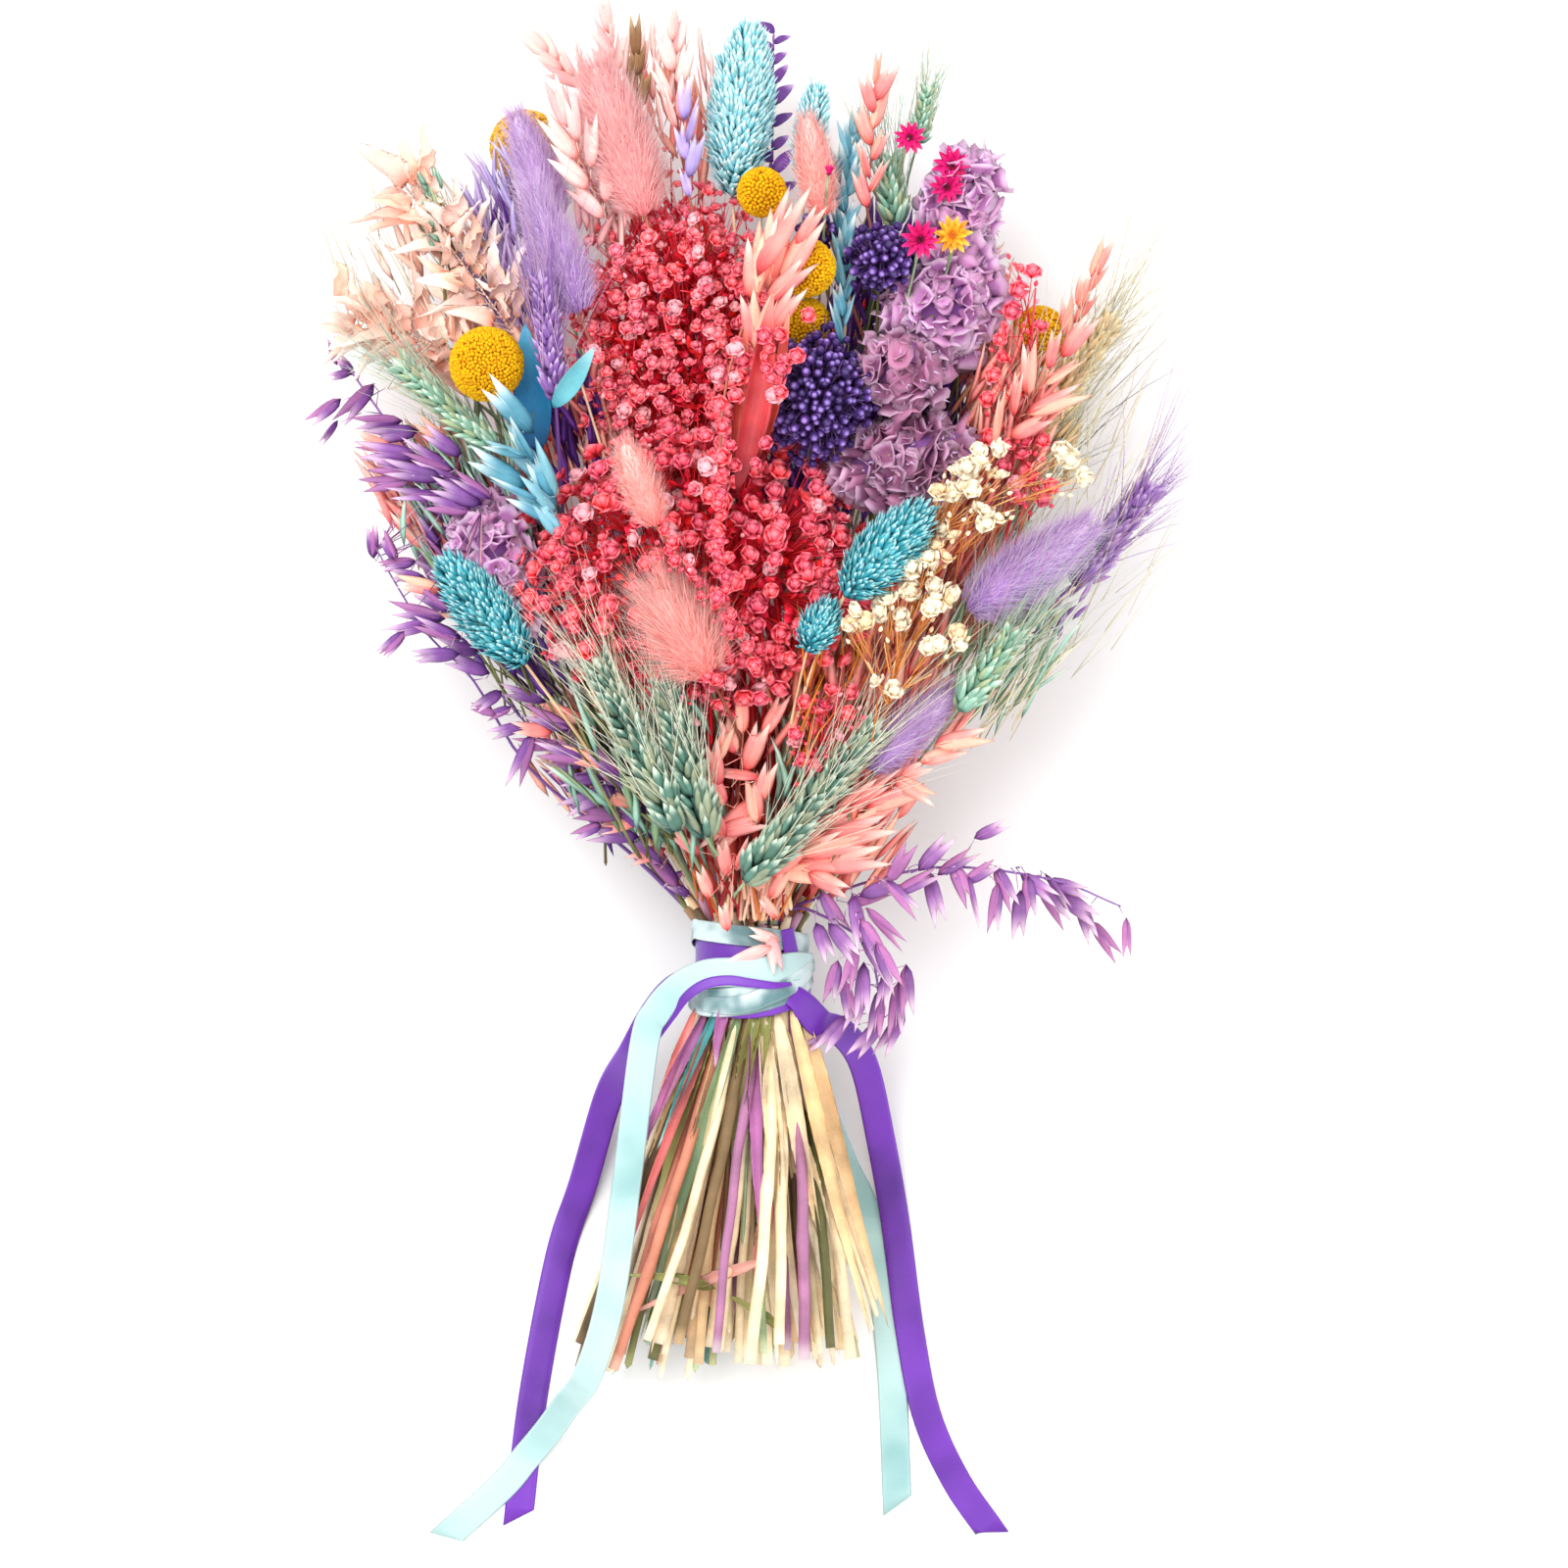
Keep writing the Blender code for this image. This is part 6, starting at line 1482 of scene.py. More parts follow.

# Husks at listed places: (x, y) of the middle from the tie, the way that the tip points in degrees from +X,
# and the length
HUSK_PLACES = {
    "blue_oats_left": [
        (-96, 227, 138, 29), (-101, 202, 150, 27), (-89, 206, 140, 26), (-84, 194, 133, 25),
        (-94, 194, 150, 24),
        (-83, 202, 112, 25), (-81, 183, 127, 18), (-92, 214, 128, 24), (-98, 210, 158, 22),
        (-88, 188, 146, 22)],
    "pink_oats_tall": [
        (12, 298, 66, 42), (5, 288, 82, 32), (16, 278, 48, 26), (2, 283, 92, 27), (10, 291, 78, 36),
        (20, 290, 60, 30),
        (8, 262, 70, 30), (1, 262, 96, 24), (14, 266, 56, 24), (24, 300, 54, 20)],
    "purple_oats_arching": [
        (98, 57, 15, 15), (75, 48, 48, 20), (61, 44, 52, 19), (75, 30, -72, 23), (91, 29, -80, 22),
        (100, 26, -100, 21), (110, 23, -86, 20), (124, 27, -55, 22), (134, 26, -38, 22), (146, 12, -62, 20),
        (155, 13, -88, 17), (104, 34, -68, 20), (118, 34, -34, 20), (130, 34, -20, 18), (54, 34, 12, 21),
        (68, 36, 22, 22), (84, 44, 38, 19), (138, 20, -66, 19), (86, 36, -60, 20), (48, 30, 20, 18),
        (114, 30, -80, 18), (126, 32, -62, 19), (94, 40, 30, 16), (62, 30, -55, 20)],
    "purple_oats_hanging": [
        (34, 24, -60, 21), (44, 20, -72, 24), (55, 18, -45, 23), (52, 6, -62, 25), (41, 1, -98, 22),
        (46, -8, -94, 24), (44, -15, -108, 22), (52, -18, -104, 23), (58, -26, -118, 22), (64, -8, -86, 22),
        (34, -4, -108, 18), (34, -26, -132, 20), (28, -29, 212, 14), (56, 2, -58, 23), (60, -16, -88, 24),
        (30, 12, -70, 18), (38, 12, -54, 20), (48, -28, -124, 20), (50, 12, -66, 22), (40, -12, -80, 18),
        (55, -6, -100, 20)],
    "purple_oats_left": [
        (-170, 253, 100, 12), (-167, 243, 200, 10), (-165, 247, 130, 11), (-147, 247, 135, 12),
        (-160, 231, 222, 22), (-173, 228, 226, 17), (-171, 219, 232, 13), (-151, 223, 180, 21),
        (-145, 218, 184, 22), (-146, 210, 177, 27), (-144, 204, 172, 24), (-147, 198, 187, 22),
        (-130, 208, 160, 25), (-125, 200, 164, 25), (-118, 193, 156, 23), (-134, 193, 175, 25),
        (-124, 214, 152, 20), (-112, 196, 148, 20), (-136, 202, 168, 26), (-122, 188, 170, 22),
        (-153, 174, 95, 13), (-146, 172, 112, 13), (-142, 165, 192, 15), (-138, 160, 174, 15),
        (-134, 145, 168, 23), (-136, 139, 187, 23), (-144, 133, 226, 14), (-126, 138, 164, 21),
        (-126, 128, 188, 19), (-118, 131, 170, 19), (-128, 150, 150, 18), (-114, 124, 158, 20)],
    "purple_oats_lower_left": [
        (-106, 110, 214, 14), (-102, 105, 200, 12), (-108, 106, 160, 11), (-92, 86, 244, 24),
        (-86, 92, 182, 20), (-76, 88, 176, 23), (-74, 84, 190, 20), (-68, 78, 180, 22), (-65, 70, 201, 25),
        (-62, 64, 174, 22), (-56, 55, 184, 23), (-66, 57, 210, 13), (-44, 50, 140, 23), (-35, 41, 128, 19),
        (-29, 33, 150, 12), (-31, 37, 228, 10), (-82, 102, 160, 22), (-70, 92, 156, 22), (-54, 74, 150, 22),
        (-50, 62, 160, 22), (-92, 112, 168, 20), (-98, 98, 196, 16), (-58, 84, 140, 20), (-42, 60, 146, 18)],
    "pink_oats_lower_middle": [
        (-5, 80, 175, 20), (-13, 74, 118, 15), (-7, 59, 226, 32), (-3, 59, 16, 23), (-26, 52, 143, 15),
        (-10, 46, 92, 16), (-2, 48, 63, 16), (-11, 92, 66, 17), (2, 91, 73, 23), (-3, 105, 95, 18),
        (8, 26, 125, 11), (-10, 22, 105, 12), (-14, 84, 102, 20), (6, 76, 70, 20), (-8, 96, 110, 18),
        (10, 104, 60, 20), (2, 70, 100, 22), (-14, 62, 120, 18), (-18, 36, 120, 14), (6, 40, 70, 16)],
    "pink_oats_lower_right": [
        (24, 52, 30, 28), (31, 59, 28, 31), (51, 64, 31, 30), (42, 56, 20, 34), (40, 45, 6, 34),
        (24, 40, -4, 26), (32, 36, -25, 19), (64, 80, 25, 21), (67, 74, -28, 20), (25, 70, 50, 23),
        (38, 64, 38, 27), (50, 75, 42, 27), (16, 46, 44, 24), (34, 50, 14, 30), (20, 60, 56, 22),
        (44, 70, 34, 26), (58, 70, 16, 24), (30, 44, 2, 26), (12, 36, 60, 16), (86, 94, 12, 24),
        (78, 88, 20, 20)],
}
TIE_HUSKS = [(0, 6, 205, 21), (10, 7, -80, 17), (6, 14, 160, 14)]


def husk_pairs(heap, finish, at, aim, up, long, wide):
    """Husks, each of two grooved blades that open from one point, with a narrow grain between."""
    side = rows_unit(np.cross(aim, up))
    for turn, share in ((0.11, 1.0), (-0.11, 0.92)):
        way = rows_unit(aim + side * turn)
        heap.scatter(HUSK, finish, at, way, up, sizes(len(at), wide, wide, long * share), side * (turn * 2.0))
    heap.scatter(HUSK, finish, at, aim, side, sizes(len(at), wide * 0.5, wide * 0.5, long * 0.8))


def placed_husks(b, heap, finish, rows, high=None):
    """Husks at listed places: each hangs on a fine curved stalk from the nearest point of the stem."""
    rng = heap.rng
    x, y, turn, long = np.array(rows, float).T
    turn = np.radians(turn) + rng.normal(0, 0.06, len(x))
    aim = rows_unit(np.column_stack([np.cos(turn), np.sin(turn), rng.normal(0.05, 0.16, len(x))]))
    grid, _ = along(b.spine, np.linspace(0, 1, 80))
    near = np.argmin(((grid[None, :, :2] - np.column_stack([x, y])[:, None]) ** 2).sum(-1), axis=1)
    z = grid[near][:, 2] + rng.uniform(-2.0, 4.0, len(x)) if high is None else np.full(len(x), high)
    at = np.column_stack([x, y, np.maximum(z, 3.0)]) - aim * (long / 2)[:, None]
    facing = rows_unit(rng.normal(0, 0.4, (len(x), 3)) + (0, 0, 1))
    if high is None:
        roots = grid[np.maximum(near - 6, 0)]
        knee = (roots + at) / 2 - aim * 2.0 + (0, 0, 1.5)
        branches(heap, finish, roots, knee, 0.55)
        branches(heap, finish, knee, at + aim * 0.6, 0.45)
    broad = (0.66, 0.86) if "purple" in b.node else (0.80, 1.0)
    husk_pairs(heap, finish, at, aim, facing, long * 1.06, long ** 0.6 * rng.uniform(*broad, len(x)))


PINK_AMONG = [(-78, 105, 165, 26), (-54, 70, 170, 21), (-54, 59, 186, 17), (-42, 47, 200, 17),
              (-88, 98, 172, 18),
              (-66, 86, 165, 22)]
PINK_LEFT = [(-133, 156, 172, 20), (-152, 214, 165, 18), (-128, 218, 140, 20), (-122, 146, 160, 18)]


def dress_oats(b, heap):
    """Oats: paired husks that hang or stand on fine curved stalks along a thin stem."""
    rng = heap.rng
    husk = HUSK_DYES[b.dye]
    if b.node in ("purple_oats_arching", "purple_oats_hanging"):
        husk = "violet husk"
    elif b.node in ("pink_oats_pale", "pink_oats_top"):
        husk = "pale pink husk"
    if b.node in HUSK_PLACES:
        rows = HUSK_PLACES[b.node]
        if b.node in ("purple_oats_left", "pink_oats_lower_right"):
            near = [abs(x - b.middle[0]) + abs(y - b.middle[1]) < b.reach for x, y, _, _ in rows]
            rows = [row for row, mine in zip(rows, near) if mine]
        placed_husks(b, heap, husk, rows)
        if b.node == "purple_oats_lower_left":
            placed_husks(b, heap, "pink husk", PINK_AMONG)
        elif b.node == "purple_oats_left" and b.middle[1] > 180:
            placed_husks(b, heap, "pink husk", PINK_LEFT)
        elif b.node == "pink_oats_lower_middle":
            placed_husks(b, heap, "pale pink husk", TIE_HUSKS, TIE_HEIGHT + AQUA_TURN_R + 3.0)
        elif b.node == "pink_oats_tall":
            salmon_leaf(b, heap)
        if b.node in THATCH and b.spine[0][1] < 200 and b.spine[0][0] < 70:
            thatch(heap, b.node)
        return
    count = max(5, int(b.long / 5.4))
    shares = 0.02 + 0.94 * np.arange(count) / (count - 1) + rng.uniform(-0.02, 0.02, count)
    roots, way, side, up = frames(b.spine, np.clip(shares, 0.0, 1.0))
    swing = np.where(np.arange(count) % 2, 1.0, -1.0) * rng.uniform(0.35, 1.0, count)
    swing[-1] = 0.1
    fan = swing * b.wide / (b.wide + 20) * 1.25
    lift = rng.uniform(-0.25, 0.5, count)
    aim = rows_unit(way + side * fan[:, None] + up * lift[:, None])
    stalk = rng.uniform(2.0, 5.0, count) * (b.wide > 12)
    at = roots + aim * stalk[:, None]
    long = min(27.0, 15 + b.wide * 0.5) * rng.uniform(0.75, 1.12, count)
    branches(heap, husk, roots, at + aim * 1.0, 0.5)
    facing = rows_unit(np.tile((0.0, 0.0, 1.0), (len(at), 1)) + rng.normal(0, 0.45, (len(at), 3)))
    husk_pairs(heap, husk, at, aim, facing, long, long * rng.uniform(0.19, 0.26, len(at)))
    if b.node in THATCH and b.long > 26:
        thatch(heap, b.node)


def leaf_shape(sides, rings, ruffle, waves, phase, cup=0.0, taper=0.75, twist=0.0):
    """A thin leaf of unit length and width: a flat spindle whose margin is thrown into waves, whose
    middle is cupped and whose blade turns about its midrib by twist on the way to the tip."""
    points, faces, share = spindle(sides, rings, lambda z: np.sin(np.pi * z ** taper) ** 0.8, 0.045)
    x, y, z = points.T
    wave = np.sin(waves * math.tau * z + phase + 2.2 * np.sign(x))
    wave = wave + 0.5 * np.sin(2.3 * waves * math.tau * z + phase)
    cross = np.sin(9 * x + 14 * z + phase) * 0.25
    y = y + ruffle * (wave * (2 * np.abs(x)) ** 1.5 + cross * np.sin(np.pi * z)) + cup * x * x * 2
    turn = twist * z
    x, y = x * np.cos(turn) - y * np.sin(turn), x * np.sin(turn) + y * np.cos(turn)
    return np.stack([x, y, z], 1), faces, share


PEACH_SHAPES = [leaf_shape(12, 14, r, w, p, c, 0.62, t) for r, w, p, c, t in
                ((0.16, 1.6, 0.0, 1.2, 1.6), (0.22, 2.4, 1.1, 0.9, -1.9), (0.14, 1.2, 2.3, 1.6, 0.8),
                 (0.24, 2.0, 3.9, 0.8, 2.6))]
PLAIN_LEAF = leaf_shape(12, 12, 0.02, 1.0, 0.5, 0.5)


def leaves_at(heap, finish, shape, at, aim, up, long, wide, droop=0.15):
    """Leaves from their roots, bent over by droop times their length."""
    count = len(at)
    bend = -up * (long * droop * heap.rng.uniform(0.3, 1.2, count))[:, None]
    heap.scatter(shape, finish, at, aim, up, sizes(count, wide, wide, long), bend)


def dress_leaves(b, heap):
    """Peach leaves: crinkled and pointed, fanned out from the end of the stem in all directions."""
    rng = heap.rng
    count = 40
    shares = 0.02 + 0.93 * np.arange(count) / (count - 1)
    roots, way, side, up = frames(b.spine, shares)
    swing = np.where(np.arange(count) % 2, 1.0, -1.0) * rng.uniform(0.2, 1.5, count)
    aim = rows_unit(way * 0.8 + side * swing[:, None] + up * rng.uniform(-0.3, 0.9, (count, 1)))
    face = rows_unit(up * 0.6 + side * rng.normal(0, 0.8, (count, 1)) + way * rng.normal(0, 0.4, (count, 1)))
    long = rng.uniform(15, 33, count) * (b.wide / 60) ** 0.5
    wide = rng.uniform(5.0, 10.5, count) * (b.wide / 60) ** 0.5
    stalk = roots + aim * rng.uniform(1, 7, (count, 1))
    for k, shape in enumerate(PEACH_SHAPES):
        pick = np.arange(count) % 4 == k
        leaves_at(heap, "peach leaf", shape, stalk[pick], aim[pick], face[pick], long[pick], wide[pick], 0.6)
    branches(heap, "peach leaf", roots, stalk + aim, 0.8)
    branches(heap, "peach leaf", roots[:-1], roots[1:], 1.2)
    if b.wide > 55:
        thatch(heap, b.node)


def dress_leaf(b, heap):
    """One pointed leaf."""
    shape = "aqua leaf" if b.dye == "sky_blue" else "deep blue leaf"
    root, way, long = b.spine[:1] - b.way * 2, b.way, b.long + 3
    if b.dye == "sky_blue":
        root, long = np.array([(-79.0, 227.0, b.spine[0][2] + 4)]), 30.0
        way = unit(np.array((17.0, 24.0, 3.0)))
    leaves_at(heap, shape, PLAIN_LEAF, root, way[None], b.up[None], np.array([long]),
              np.array([max(b.wide, 8.5)]), 0.05)


def salmon_leaf(b, heap):
    """The long translucent leaf under the tall pink oats, with two narrower ones beside it."""
    high = b.spine[0][2]
    roots = np.array([(-5.0, 192.0, high - 4), (-7.0, 200.0, high - 7), (4.0, 206.0, high - 8)])
    tips = np.array([(9.0, 272.0, high), (-1.0, 262.0, high - 8), (16.0, 266.0, high - 6)])
    aim, wide = tips - roots, np.array([12.0, 6.0, 6.0])
    leaves_at(heap, "salmon leaf", leaf_shape(12, 14, 0.06, 1.4, 0.8, 1.0, 0.9), roots, rows_unit(aim),
              np.tile(b.up + (0.35, 0, 0), (3, 1)), np.linalg.norm(aim, axis=1), wide, -0.02)
    rng, count = heap.rng, 40
    along_it = rng.random((count, 1)) ** 1.5 * 0.85
    side = rng.choice([-1.0, -1.0, 1.0], (count, 1)) * rng.uniform(3.5, 14, (count, 1))
    at = roots[0] + aim[0] * along_it + side * (1, 0, 0) + rng.normal(0, 2.5, (count, 3)) + (0, 0, 2.0)
    size = rng.uniform(3.0, 5.4, count)
    heap.scatter(ROSETTES[0], "coral petal", at, rows_unit(rng.normal(0, 0.4, (count, 3)) + (0, 0, 1)),
                 np.tile(b.way, (count, 1)), sizes(count, size, size, size))


def dress_berries(b, heap):
    """Round berries packed in a cluster, each on a short stalk and pale on its outer side, a painted
    highlight.
    """
    rng, count = heap.rng, int(0.20 * (b.wide + b.long) ** 2 / 4 + 40)
    ways = spread_ways(count)
    clump = 0.10 * np.sin(7 * ways[:, 0] + 1.3) * np.cos(6 * ways[:, 1]) + 0.08 * np.sin(11 * ways[:, 2])
    at = b.oval(ways, rng.uniform(0.66, 1.06, count) + clump) + rng.normal(0, 1.0, (count, 3))
    size = rng.uniform(3.2, 4.4, count)
    aim = b.out(ways)
    branches(heap, "berry stalk", along(b.spine, rng.uniform(0.1, 0.8, count))[0], at, 0.7)
    # Each berry points its tip outward, so its pale tip colour is a painted highlight
    heap.scatter(BERRY, "indigo berry", at - aim * (size / 2)[:, None], aim, askew(aim),
                 sizes(count, size, size, size))
    if b.wide > 40:
        thatch(heap, b.node)


BERRY = spindle(6, 4, lambda z: 2 * np.sqrt(np.maximum(z * (1 - z), 0)))
STAR_PETAL = leaf_shape(8, 6, 0.03, 1.0, 0.4, 0.6, 0.8)


# How far the stars at the top right rise out of the heads around them
STARS_RAISE = 22.0


def dress_star(b, heap):
    """A starry flower: two rings of pointed petals round a tuft of threads."""
    golden_one = b.dye == "golden"
    petals, heart = ("golden petal", "orange thread") if golden_one else ("magenta petal", "magenta heart")
    rng, radius = heap.rng, b.wide / 2 * 1.12
    bud = b.wide < 9
    middle = b.spine[-1] - b.way * (0.0 if bud else radius * 0.1)
    if middle[0] > 70 and middle[1] > 305:
        middle = middle + (0, 0, STARS_RAISE)
    facing = b.way if bud else unit(b.up + b.way * 0.25)
    side = unit(np.cross(b.way, b.up))
    other = np.cross(facing, side)
    for count, lean, share in ((11, 0.25, 1.0), (10, 0.62, 0.82)):
        turn = np.arange(count) * math.tau / count + lean
        lean = lean + (0.9 if bud else 0.0)
        out = side * np.cos(turn)[:, None] + other * np.sin(turn)[:, None]
        aim = rows_unit(out * math.cos(lean) + facing * math.sin(lean) + rng.normal(0, 0.06, (count, 3)))
        long = radius * share * rng.uniform(0.92, 1.08, count)
        at = middle + out * radius * 0.08
        wide = long * 0.36
        heap.scatter(STAR_PETAL, petals, at, aim, np.tile(facing, (count, 1)), sizes(count, wide, wide, long))
    threads = 46
    spread = rows_unit(rng.normal(0, 0.45, (threads, 3)) + facing)
    heap.scatter(HAIR, heart, np.tile(middle, (threads, 1)), spread, askew(spread),
                 sizes(threads, 0.5, 0.5, radius * 0.42))
    branches(heap, "green stem", b.spine[:1], middle[None], 1.4)


def dress_sprig(b, heap):
    """A leafy sprig: small oval leaves in pairs up a thin stem."""
    rng, count = heap.rng, 17
    roots, way, side, up = frames(b.spine, 0.06 + 0.9 * np.arange(count) / (count - 1))
    swing = np.where(np.arange(count) % 2, 1.0, -1.0) * rng.uniform(0.5, 1.0, count)
    aim = rows_unit(way * 0.8 + side * swing[:, None] + up * rng.uniform(-0.2, 0.6, (count, 1)))
    long = rng.uniform(12, 18, count) * np.linspace(1.0, 0.75, count)
    leaves_at(heap, "sprig leaf", PLAIN_LEAF, roots, aim, up, long, long * 0.38, 0.3)
    branches(heap, "violet leaf", roots[:-1], roots[1:], 1.1)


DRESS = {
    "tail": dress_tail, "canary": dress_canary, "ball": dress_ball, "wheat": dress_wheat,
    "berries": dress_berries, "statice": dress_statice, "gyp": dress_gyp, "sprig_gyp": dress_spray,
    "oats": dress_oats, "leaves": dress_leaves, "leaf": dress_leaf, "star": dress_star, "sprig": dress_sprig,
}


# Stems

STEM_TINTS = {
    "straw": ("beige", "straw stem"), "green": ("mint", "green stem"), "pink": ("oat_pink", "pink stem"),
    "plum": ("lilac", "plum stem"), "teal": ("sky_blue", "teal stem"), "brown": ("brown", "brown stem"),
    "olive": ("mint", "olive stem"),
}


LEFT_TINTS = ("olive", "pink", "straw", "teal", "plum", "brown", "green", "straw", "olive", "brown", "straw",
              "pink")
RIGHT_TINTS = ("straw", "olive", "straw", "straw", "green", "straw", "straw", "plum", "straw", "brown",
               "straw",
               "straw")


def stem_tint(slot, number):
    """The stem's colour: straw for most, the dyed ones more to the left as in the hand-tied fan."""
    tints = LEFT_TINTS if slot[0] < -2 else RIGHT_TINTS
    return tints[number % len(tints)]


def upper_finish(head):
    """What a stem looks like near its head, where it took the head's dye."""
    form, dye = head[1], head[2]
    if form in ("gyp", "sprig_gyp"):
        return "cream branch" if dye == "cream" else "coral branch"
    by_dye = {"soft_pink": "pink stem", "lilac": "pink stem", "aqua": "straw stem", "yellow": "green stem",
              "indigo": "olive stem", "lavender": "olive stem", "peach": "pink stem", "mint": "green stem",
              "purple": "violet stem", "oat_pink": "pink stem", "sky_blue": "straw stem",
              "deep_blue": "teal stem", "magenta": "green stem", "golden": "green stem",
              "beige": "straw stem", "brown": "straw stem"}
    return by_dye[dye]


def build_stems(slots, seats):
    """Every stem from its cut foot through the tie to its head, gathered by colour."""
    heaps, nodes = {}, {}
    order = list(dict.fromkeys(head[0] for head in HEADS))
    for number, name in enumerate(order):
        foot = 1 - 0.1 * np.random.default_rng(number).random()
        tint = stem_tint(slots[name], number)
        heap = heaps.setdefault(tint, Heap(900 + len(heaps)))
        nodes.setdefault(tint, []).append(name)
        first = True
        for head, (spine, route) in zip(HEADS, seats):
            if head[0] != name:
                continue
            if first:
                cut_stem(heap, STEM_TINTS[tint][1], slots[name], foot, route)
            upper_stem(heap, upper_finish(head), route, head, spine, 1.0 if first else 0.8)
            first = False
    for tint, heap in heaps.items():
        finish = STEM_TINTS[tint][1]
        loose_stalks(heap, finish, *LOOSE[tint])
        for leaf, rows in DRY_BLADES.get(tint, ()):
            dry_blades(heap, leaf, rows)
        as_piece("stems_" + tint, heap, nodes[tint])


FOOT_SECTION = 10

# How many loose stalks of each colour run between the stems, and over which part of the fan
LOOSE = {"straw": (54, -0.5, 1.0), "olive": (14, -1.0, 0.4), "pink": (9, -1.0, 0.2), "teal": (7, -1.0, -0.1),
         "brown": (12, -1.0, 0.3), "plum": (8, -0.9, 0.5), "green": (10, -1.0, 0.6)}

# Dry blades between the lower stems: root (x, y, z), tip (x, y, z) and width
DRY_BLADES = {
    "straw": [("straw blade", [
        ((10, -22, 66), (38, -158, 44), 7.5), ((16, -22, 63), (50, -150, 40), 6.5),
        ((4, -22, 67), (22, -160, 50), 8.0),
        ((21, -24, 59), (58, -148, 30), 6.5), ((-20, -30, 58), (-58, -140, 40), 6.0),
        ((14, -30, 60), (30, -128, 48), 6.0),
        ((-10, -30, 64), (-40, -160, 46), 6.5), ((18, -60, 54), (46, -160, 38), 7.0),
        ((8, -50, 60), (12, -164, 48), 7.0)])],
    "olive": [("olive leaf", [
        ((14, -148, 52), (-14, -130, 58), 4.0), ((-14, -130, 58), (-52, -124, 56), 5.0),
        ((3, -21, 68), (-7, -78, 60), 7.0),
        ((7, -21, 67), (2, -66, 60), 6.0), ((-14, -24, 64), (-40, -104, 52), 6.0)])],
    "pink": [("pink blade", [
        ((-13, -24, 65), (-56, -132, 52), 4.5), ((-22, -24, 58), (-42, -70, 54), 4.0),
        ((8, -92, 56), (2, -132, 50), 6.0)]),
        ("rose leaf", [((6, -118, 60), (-52, -142, 52), 5.0)])],
    "teal": [("teal blade", [((-12, -22, 66), (-38, -74, 58), 4.0)])],
    "plum": [("plum blade", [((1, -22, 66), (6, -124, 58), 6.0), ((-17, -24, 62), (-52, -90, 50), 5.0),
                             ((-10, -21, 66), (-14, -40, 64), 5.0)])],
    "green": [("mint blade", [((-3, -22, 67), (-44, -152, 48), 6.0)])],
}


def loose_stalks(heap, finish, count, first, last):
    """Thin stalks that run between the stems from the tie to their feet, not quite with them. first and
    last bound their part of the fan, from -1 at its left to 1 at its right."""
    rng = heap.rng
    lean = rng.uniform(first, last, count)
    rise = rng.uniform(0.2, 1.0, count)
    high = 44 + 21 * rise * np.sqrt(1 - 0.8 * lean ** 2)
    roots = np.column_stack([lean * 16, rng.uniform(-24, -16, count), high])
    across = lean * rng.uniform(44, 64, count) + rng.normal(0, 6, count)
    low = 6 + 42 * rise * (1 - 0.6 * np.abs(lean))
    feet = np.column_stack([across, rng.uniform(-166, -118, count), low])
    bow = rng.normal(0, 3.0, (count, 3))
    heap.scatter(STALK_DOWN, finish, roots, feet - roots, np.tile((0.0, 0.0, 1.0), (count, 1)),
                 sizes(count, rng.uniform(1.2, 3.2, count), rng.uniform(1.0, 2.0, count),
                       np.linalg.norm(feet - roots, axis=1)), bow)


STALK_DOWN = turned([(0, 0), (0.4, 0.01), (0.44, 0.25), (0.47, 0.5), (0.5, 0.75), (0.52, 0.985), (0, 1)], 6)


def dry_blades(heap, finish, rows):
    """Dry leaves among the lower stems."""
    for root, tip, wide in rows:
        root = np.array(root) + ((0, 9, -3.5) if root[1] > -31 else (0, 0, 0))
        aim = np.array([tip], float) - root
        leaves_at(heap, finish, PEACH_SHAPES[2], np.array([root], float), rows_unit(aim),
                  np.array([(0.2, 0.1, 1.0)]), lengths(aim), np.array([wide]), 0.04)


def cut_stem(heap, finish, slot, foot, route):
    """The lower stem: from its cut foot through the tie, a little oval, bent and ridged, with joints."""
    rng = heap.rng
    last = route[0] * 0.75 + route[1] * 0.25
    ends = np.array([foot_place(slot, foot), foot_place(slot, 0.0), route[0], last])
    count = 24
    t = np.linspace(0, 1, count)
    run = run_along(ends)
    line = np.stack([np.interp(t * run[-1], run, ends[:, k]) for k in range(3)], axis=1)
    free = np.clip(1 - t * run[-1] / run[1], 0, 1)
    wave = np.sin(free * math.pi) * rng.normal(0, 1.6) + free * rng.normal(0, 1.8)
    line[:, 0] += wave + 0.35 * np.sin(t * 23 + rng.uniform(0, 6)) * np.sin(free * math.pi)
    girth = np.interp(t * run[-1], run, (STEM_FOOT, STEM_LOW, STEM_TIE, 1.5))
    girth = girth * (1 + rng.uniform(-0.45, 0.10) * free)
    joint = rng.integers(4, 15)
    girth[joint] *= 1.15
    way = rows_unit(np.gradient(line, axis=0))
    across = rows_unit(np.cross(way, (0.0, 0.0, 1.0)))
    face = np.cross(across, way)
    turn = -np.arange(FOOT_SECTION) * math.tau / FOOT_SECTION
    ridges = 1 + 0.07 * np.cos(5 * turn + rng.uniform(0, 6))
    section = np.stack([np.cos(turn) * ridges, np.sin(turn) * ridges * 0.92], -1)
    heap.put(swept(line, across, face, section[None] * girth[:, None, None]), finish, rng.random())


